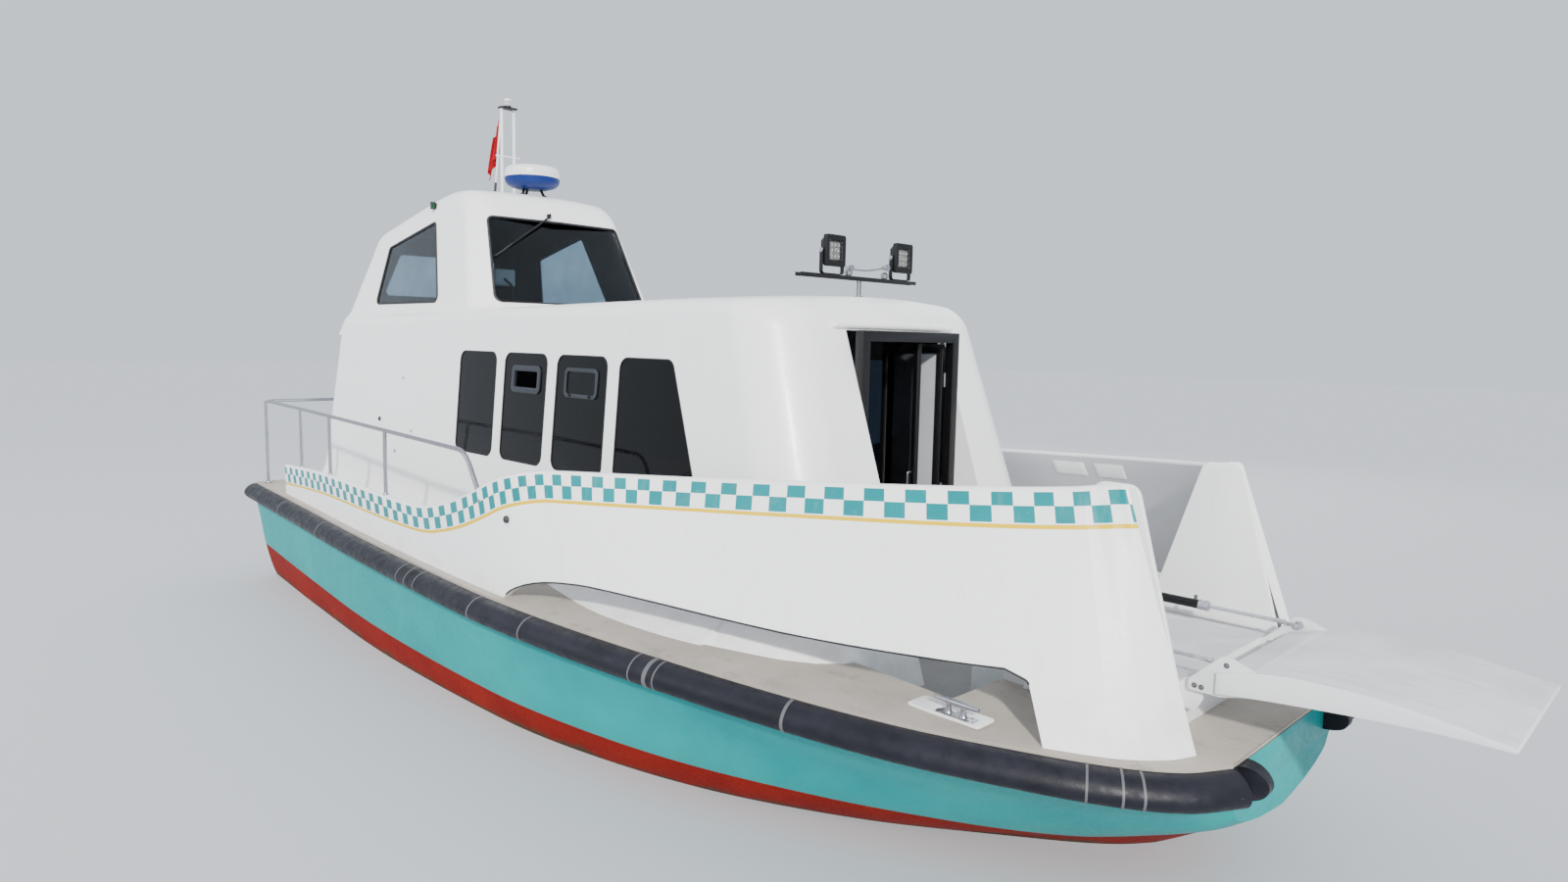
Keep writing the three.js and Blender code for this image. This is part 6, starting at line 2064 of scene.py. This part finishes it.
def make_door():
    surround = node_copy("door_frame", 0.003, 3)
    shown(surround, "gloss_black", replaces=["door_frame"], angle=40)
    # The jamb leaf's panes take the pale grey fill, which is a painted reflection.
    make_leaf(
        "jamb", "door_leaf_one", "door_leaf_jamb", JAMB_AT, (0.0, 0.030), (-0.384, -0.004), "door_pane_painted_reflection"
    )
    make_leaf(
        "free", "door_leaf_two", "door_leaf_free", FREE_AT, (-0.036, -0.006), (-0.384, -0.008), "smoked_glass"
    )
    knuckles = []
    for z in (0.85, 1.55, 2.25):
        profile = [(0, 0.0060), (0.002, 0.0078)]
        for k in range(3):
            start = 0.003 + 0.029 * k
            profile += [
                (start, 0.0079), (start + 0.026, 0.0079), (start + 0.0265, 0.0066), (start + 0.0285, 0.0066)
            ]
        profile += [(0.0895, 0.0060)]
        knuckles.append(turned_body("knuckle", profile, (*DOOR_HINGE, z - 0.045), (*DOOR_HINGE, 9), 20))
    shown(joined_pieces("door_hinges", knuckles), "steel", angle=30)
    # the moulded lip over the doorway
    at = lambda rows: cabin_shape.on_end(rows, -0.006)
    line = [tuple(p) for p in at([(y, 2.572) for y in np.linspace(-0.545, 0.545, 40)])]
    lip = tube("lip", line, 0.020, "gelcoat", 20)
    ends = [
        turned_body(
            "end", [(0, 0.0199), (0.008, 0.0185), (0.014, 0.0145), (0.018, 0.008), (0.0195, 0.001)], a,
            tuple(2 * np.array(a) - np.array(b)), 20
        ) for a,
        b in ((line[0], line[1]), (line[-1], line[-2]))
    ]
    shown(joined_pieces("door_header_lip", [lip] + ends), "gelcoat", angle=50)
    # a grip on the face of each leaf that lies outside when the leaves are folded
    for tag, body, matrix, x in (
        ("jamb", "door_leaf_one", JAMB_AT, 0.0), ("free", "door_leaf_two", FREE_AT, -0.036)
    ):
        path = [(x, -0.352, 1.52), (x - 0.027, -0.352, 1.52), (x - 0.027, -0.352, 1.68), (x, -0.352, 1.68)]
        grip = tube(
            "door_grip_" + tag, [(a + HALF_HULL, b, c) for a, b, c in filleted_path(path, 0.014, 4)], 0.006,
            "steel", 12
        )
        shown(moved(grip, matrix), "steel", body, angle=40)


# ---------------------------------------------------------------- fittings on the cabin and wheelhouse

def rim_on(name, at, outer, inner, proud, sunk, finish):
    """A flat frame that follows a wall, between two outlines of like length."""
    loops = [
        at(outer, sunk), at(outer, proud + 0.0015),
        at([tuple(np.array(p) * 0.94 + np.array(q) * 0.06) for p, q in zip(outer, inner)], proud)
    ]
    loops += [
        at([tuple(np.array(p) * 0.1 + np.array(q) * 0.9) for p, q in zip(outer, inner)], proud),
        at(inner, proud + 0.0015), at(inner, sunk)
    ]
    rings = [[tuple(p) for p in loop] for loop in loops]
    made = new_object(name, *skinned(rings + rings[:1], caps=False))
    return shown(outward(made), finish, angle=40)


def hatch_outline(aft, fore, low, high, shrink):
    return rectangle((aft + shrink, fore - shrink), (low + shrink, high - shrink), 0.042 - shrink * 0.7, 6)


PORTLIGHT = (4.03, 4.43, 2.065, 2.262)
SIDE_HATCH = (4.75, 5.15, 2.065, 2.267)


def make_side_fittings():
    for hand, side in SIDES:
        at = lambda rows, depth: cabin_shape.on_side(rows, depth, hand)
        rim_on(
            "portlight_frame_" + side, at, hatch_outline(*PORTLIGHT, 0), hatch_outline(*PORTLIGHT, 0.040),
            -0.008, 0.0125, "window_frame"
        )
        rim_on(
            "hatch_frame_" + side, at, hatch_outline(*SIDE_HATCH, 0), hatch_outline(*SIDE_HATCH, 0.026),
            -0.007, 0.0025, "window_frame"
        )
        catches = []
        for x in (4.83, 5.07):
            place = at([(x, 2.081)], -0.006)[0]
            catches.append(
                turned_body(
                    "catch", [(0, 0.011), (0.009, 0.010), (0.011, 0.007)], tuple(place),
                    (place[0], place[1] + hand, place[2]), 18
                )
            )
        shown(joined_pieces("hatch_catches_" + side, catches), "black")
        studs = []
        for x, z, radius in ((2.05, 1.44, 0.016), (2.36, 1.64, 0.014), (2.13, 2.09, 0.012)):
            place = at([(x, z)], -0.0004)[0]
            cap = [
                (0, radius - 0.001), (0.001, radius), (0.005, radius * 0.92), (0.009, radius * 0.62),
                (0.0105, radius * 0.15)
            ]
            studs.append(
                turned_body("stud", cap, tuple(place), (place[0], place[1] + hand, place[2] + 0.09), 20)
            )
        shown(joined_pieces("side_fittings_" + side, studs), "steel", angle=40)
        place = at([(1.68, 1.70)], -0.0004)[0]
        cap = [(0, 0.019), (0.003, 0.020), (0.010, 0.018), (0.015, 0.011), (0.016, 0.002)]
        drain = turned_body(
            "side_vent_" + side, cap, tuple(place), (place[0], place[1] + hand, place[2] + 0.09), 24
        )
        shown(drain, "black_plastic")
        x, y, z = wheelhouse_shape.on_side([(2.10, 3.605)], -0.001, hand)[0]
        foot = slab(
            "foot", rectangle((x - 0.034, x + 0.034), (z - 0.03, z + 0.026), 0.008, 4),
            *sorted((y, y + hand * 0.008))
        )
        hood = turned_body(
            "hood",
            [
                (-0.030, 0.016), (-0.028, 0.024), (-0.0225, 0.0245), (-0.022, 0.018), (0.022, 0.018),
                (0.0225, 0.0245), (0.032, 0.024), (0.036, 0.014)
            ],
            (x, y + hand * 0.022, z), (x, y + hand * 0.022, 9), 24
        )
        shown(
            united("side_lamp_body_" + side, [beveled(foot, 0.0015, 2), hood]), "black_plastic"
        )
        lens = turned_loop(
            "side_lamp_lens_" + side,
            [(-0.0218, 0.0185), (-0.0218, 0.0235), (0.0218, 0.0235), (0.0218, 0.0185)],
            (x, y + hand * 0.022, z), (x, y + hand * 0.022, 9), 24
        )
        shown(lens, "lens_green" if hand < 0 else "lens_red")


def make_wiper():
    pivot, tip = np.array((-0.084, 3.518)), np.array((-0.665, 3.130))
    along = lambda t: tuple(pivot + (tip - pivot) * t)
    at = lambda t, depth: tuple(wheelhouse_shape.on_end([along(t)], depth)[0])
    cap = [
        (0, 0.020), (0.004, 0.021), (0.014, 0.018), (0.020, 0.012), (0.024, 0.010), (0.036, 0.010),
        (0.038, 0.006)
    ]
    base = at(0, -0.0005)
    ahead = (base[0] + 0.92, base[1], base[2] + 0.38)
    boss = turned_body("boss", cap, base, ahead, 24)
    arm = tube(
        "arm", [at(0, -0.030), at(0.2, -0.036), at(0.45, -0.032), at(0.7, -0.024)], 0.0085, "black", 12
    )
    thin = tube("thin", [at(0.30, -0.026), at(0.5, -0.024), at(0.7, -0.020)], 0.0035, "black", 10)
    shown(joined_pieces("wiper_arm", [boss, arm, thin]), "black", angle=40)
    holder = tube("holder", [at(t, -0.0165) for t in np.linspace(0.44, 0.99, 12)], 0.007, "black", 10)
    rubber = tube("rubber", [at(t, -0.0075) for t in np.linspace(0.43, 1.0, 12)], 0.005, "gasket", 8)
    shown(joined_pieces("wiper_blade", [holder, rubber]), "black_plastic", angle=40)


def make_monitor():
    y, z, x = (-0.472, -0.262), (2.905, 3.055), 2.640
    case = lofted("monitor_case", [
        [(x + dx, a, b) for a, b in rectangle((y[0] + s, y[1] - s), (z[0] + s, z[1] - s), 0.014, 5)]
        for dx, s in ((-0.016, 0.002), (-0.014, 0.0), (0.004, 0.0), (0.016, 0.010), (0.018, 0.013))
    ])
    combined(
        case,
        box("glass_seat", (x - 0.1, x - 0.0135), (y[0] + 0.010, y[1] - 0.010), (z[0] + 0.012, z[1] - 0.010))
    )
    shown(case, "bezel", angle=40)
    glass = box(
        "monitor_glass", (x - 0.0150, x - 0.0133), (y[0] + 0.0105, y[1] - 0.0105),
        (z[0] + 0.0125, z[1] - 0.0105)
    )
    shown(beveled(glass, 0.0004, 2), "screen")
    stalk = [
        turned_body(
            "base", [(0, 0.034), (0.003, 0.035), (0.010, 0.034), (0.014, 0.018), (0.018, 0.014)],
            (2.80, -0.367, 2.6003), (2.80, -0.367, 9), 24
        )
    ]
    stalk.append(
        tube(
            "neck",
            filleted_path([(2.80, -0.367, 2.61), (2.80, -0.367, 2.90), (2.652, -0.367, 2.97)], 0.09, 8),
            0.011, "black", 16
        )
    )
    shown(joined_pieces("monitor_arm", stalk), "black", angle=40)


# ---------------------------------------------------------------- helm and cabin inside

HELM = {"x": 2.500, "y": -0.330, "z": 2.400, "rim": 0.190, "tilt": math.radians(20)}


def make_helm():
    for node, finish, width in (
        ("helm_floor", "sole", 0.004), ("helm_steps", "sole", 0.006), ("helm_console", "console", 0.008),
        ("helm_seat_frame", "black", 0.003), ("bench_starboard", "bench", 0.010),
        ("bench_port", "bench", 0.010),
        ("engine", "engine", 0.030), ("rudder", "bronze", 0.004),
    ):
        body = "rudder" if node == "rudder" else "boat"
        piece = node_copy(node, width, 3)
        shown(piece, finish, body, [node], 40)
    h = HELM
    centre = Vector((h["x"], h["y"], h["z"]))
    across = Vector((0, 1, 0))
    upward = Vector((math.sin(h["tilt"]), 0, math.cos(h["tilt"])))
    inward = Vector((math.cos(h["tilt"]), 0, -math.sin(h["tilt"])))
    spot = lambda turn, radius, push=0.0: tuple(
        centre + radius * (math.cos(turn) * across + math.sin(turn) * upward) + push * inward
    )
    circle = [spot(2 * math.pi * k / 72, h["rim"]) for k in range(72)]
    rim = tube("helm_rim", circle, 0.0125, "black_plastic", 16, closed=True)
    shown(rim, None, "helm_wheel", ["helm_wheel"], 60)
    spokes = []
    for degree in (90, 210, 330):
        turn = math.radians(degree)
        path = [spot(turn, r, p) for r, p in ((0.024, 0.006), (0.09, 0.004), (0.15, 0.001), (0.182, 0.0))]
        spokes.append(tube("spoke", path, 0.0075, "steel", 14))
    hub = [(-0.018, 0.010), (-0.016, 0.026), (-0.008, 0.032), (0.010, 0.033), (0.016, 0.028), (0.0235, 0.027)]
    spokes.append(turned_body("hub", hub, tuple(centre), tuple(centre + inward), 32))
    shown(joined_pieces("helm_spokes", spokes), "steel", "helm_wheel", angle=40)


def cushion(name, x, y, z, channels, node=None, crown=0.018, turn=None):
    """A padded form with sewn channels across it: crowned above, flat below, drawn in at the middle."""
    nu, nv, nw = max(24, int((x[1] - x[0]) / 0.02)), 20, 8
    cx, cy = (x[0] + x[1]) / 2, (y[0] + y[1]) / 2
    hx, hy = (x[1] - x[0]) / 2, (y[1] - y[0]) / 2
    tall = z[1] - z[0]
    us, vs = np.linspace(-1, 1, nu + 1), np.linspace(-1, 1, nv + 1)
    us = np.sign(us) * (1 - (1 - np.abs(us)) ** 1.25) if nu < 40 else us

    def top(u, v):
        px, py = u * hx, v * hy
        rim_x, rim_y = hx - abs(px), hy - abs(py)
        near = min(rim_x, rim_y)
        rise = math.sqrt(max(0.0, 1 - (1 - min(1.0, near / 0.045)) ** 2))
        along = min(abs(u * hx + cx - c) for c in channels)
        groove = math.exp(-(along / 0.010) ** 2) * 0.010 + math.exp(-(along / 0.045) ** 2) * 0.006
        puff = crown * (1 - abs(u) ** 4) * (1 - abs(v) ** 2.4)
        wrinkle = 0.0012 * math.sin(47 * px + 11 * py) * math.sin(31 * py - 9 * px)
        return z[0] + tall - crown - 0.020 * (1 - rise) + puff - groove * min(1.0, near / 0.03) + wrinkle

    verts, faces = [], []
    for i, u in enumerate(us):
        for j, v in enumerate(vs):
            pull = 0.006
            shrink_x = 1 - pull / hx * (1 - abs(v) ** 2) * (abs(u) ** 6)
            shrink_y = 1 - pull / hy * (1 - min(1, abs(u)) ** 2) * (abs(v) ** 6)
            verts.append((cx + u * hx * shrink_x, cy + v * hy * shrink_y, top(u, v)))
    wide = nv + 1
    for i in range(nu):
        for j in range(nv):
            a = i * wide + j
            faces.append((a, a + wide, a + wide + 1, a + 1))
    edge = [(i, 0) for i in range(nu)] + [(nu, j) for j in range(nv)] + [
        (i, nv) for i in range(nu, 0, -1)
    ] + [(0, j) for j in range(nv, 0, -1)]
    ring = [i * wide + j for i, j in edge]
    previous = ring
    for level in range(1, nw + 1):
        t = level / nw
        row = []
        for k, (i, j) in enumerate(edge):
            px, py, pz = verts[ring[k]]
            bulge = 0.004 * math.sin(math.pi * t) - 0.006 * (
                1 - math.cos(math.pi / 2 * max(0, (t - 0.75) * 4))
            )
            ox, oy = (px - cx) / hx, (py - cy) / hy
            side_x = ox if abs(ox) > 0.985 else 0
            side_y = oy if abs(oy) > 0.97 else 0
            length = math.hypot(side_x, side_y) or 1
            row.append(len(verts))
            verts.append((px + bulge * side_x / length, py + bulge * side_y / length, pz + (z[0] - pz) * t))
        for k in range(len(edge)):
            n = (k + 1) % len(edge)
            faces.append((previous[k], previous[n], row[n], row[k]))
        previous = row
    under = dict(zip(edge, previous))
    for i in range(1, nu):
        for j in range(1, nv):
            under[i, j] = len(verts)
            verts.append((cx + us[i] * hx * 0.985, cy + vs[j] * hy * 0.98, z[0]))
    for i in range(nu):
        for j in range(nv):
            faces.append((under[i, j], under[i, j + 1], under[i + 1, j + 1], under[i + 1, j]))
    made = new_object(name, verts, faces)
    if turn is not None:
        made.data.transform(turn)
    outward(made)
    piping = [(px, py, pz + 0.001) for px, py, pz in (verts[k] for k in ring)]
    cord = tube(name + "_piping", piping, 0.0042, "vinyl_piping", 8, closed=True)
    if turn is not None:
        cord.data.transform(turn)
    smooth = made.modifiers.new("round", "SUBSURF")
    smooth.levels = smooth.render_levels = 1
    settled(made)
    shown(made, "vinyl", replaces=[node] if node else [], angle=80)
    shown(cord, "vinyl_piping", angle=60)
    return made


def make_cushions():
    for hand, side in SIDES:
        y = tuple(sorted((hand * 0.549, hand * 0.971)))
        seams = [3.705 + 2.53 * k / 6 for k in range(1, 6)]
        cushion("bench_pad_" + side, (3.709, 6.231), y, (1.0104, 1.098), seams, "bench_cushion_" + side)
    cushion(
        "helm_seat_pad", (1.834, 2.236), (-0.556, -0.104), (2.0803, 2.172), [1.97, 2.10], "helm_seat",
        0.016
    )
    # the back rest is made lying down, then stood up against its frame
    stand = Matrix(((0, 0, 1, 0), (0, 1, 0, 0), (-1, 0, 0, 0), (0, 0, 0, 1)))
    low = (2.150 + 2.600) / 2
    back = Matrix.Translation((1.822 - HALF_HULL, 0, low)) @ stand @ Matrix.Translation((HALF_HULL, 0, 0))
    cushion(
        "helm_back_pad", (-0.205, 0.222), (-0.556, -0.104), (0.0, 0.088), [-0.07, 0.07], None, 0.016,
        back
    )


def make_propeller():
    slope = math.atan2(SHAFT_RISE, SHAFT_RUN)
    hub_at = Vector(PROPELLER_AT)
    shaft = Vector((math.cos(slope), 0, math.sin(slope)))
    side = Vector((0, 1, 0))
    up = shaft.cross(side).normalized() * -1
    pieces = []
    for k in range(4):
        turn = math.pi / 2 * k + math.pi / 4
        radial = math.cos(turn) * side + math.sin(turn) * up
        tangent = shaft.cross(radial)
        rings = []
        for radius in (0.040, 0.075, 0.110, 0.145, 0.180, 0.210, 0.232, 0.244, 0.2485):
            share = (radius - 0.04) / 0.21
            chord = 0.040 + 0.120 * math.sin(
                math.pi * min(1, share) ** 0.8 * 0.98
            ) ** 0.8 if share < 0.97 else 0.03
            pitch = math.radians(58 - 34 * share)
            along_chord = math.cos(pitch) * tangent + math.sin(pitch) * shaft
            normal = radial.cross(along_chord).normalized()
            thick = 0.012 * (1 - share) + 0.003
            skew = -0.035 * share**2
            ring = []
            for step in range(16):
                a = 2 * math.pi * step / 16
                point = hub_at + radial * radius + along_chord * (
                    chord / 2 * math.cos(a) + skew
                ) + normal * (thick / 2 * math.sin(a))
                ring.append(tuple(point))
            rings.append(ring)
        pieces.append(lofted("blade", rings))
    profile = [
        (-0.085, 0.004), (-0.080, 0.018), (-0.060, 0.034), (-0.040, 0.046), (-0.036, 0.050), (0.045, 0.052),
        (0.052, 0.046)
    ]
    hub = turned_body("hub", profile, tuple(hub_at), tuple(hub_at + shaft), 36)
    shown(united("propeller_cast", [hub] + pieces), "bronze", "propeller", ["propeller"], 40)


def make_deck_pads():
    for hand, side in ((1, "starboard"), (-1, "port")):
        deck = float(deck_height(8.07)) + HAIR
        x, y = (7.88, 8.27), sorted((-hand * 1.06, -hand * 1.20))
        pad = slab("pad", rectangle(x, y, 0.02, 5), deck, deck + 0.012, "z")
        cx, cy = 8.12, -hand * 1.150
        combined(pad, box("seat", (cx - 0.107, cx + 0.107), (cy - 0.034, cy + 0.034), (0, 2)))
        beveled(pad, 0.003, 2)
        shown(pad, "gelcoat").name = "mooring_pad_" + side


make_camera()
make_studio()
make_hull()
make_deck()
make_fender()
make_bulwarks()
make_wall_fittings()
make_cabin()
make_wheelhouse()
make_glazing()
BOLTS = bolt_shapes()
make_ramp()
make_bow_structure()
make_cylinders()
make_door()
make_side_fittings()
make_wiper()
make_rail()
make_mast()
make_flag()
make_radar()
make_lights()
make_cleats()
make_deck_pads()
make_monitor()
make_helm()
make_cushions()
make_propeller()

for leftover in list(WORKSHOP.collection.objects):
    bpy.data.objects.remove(leftover)
bpy.data.scenes.remove(WORKSHOP)
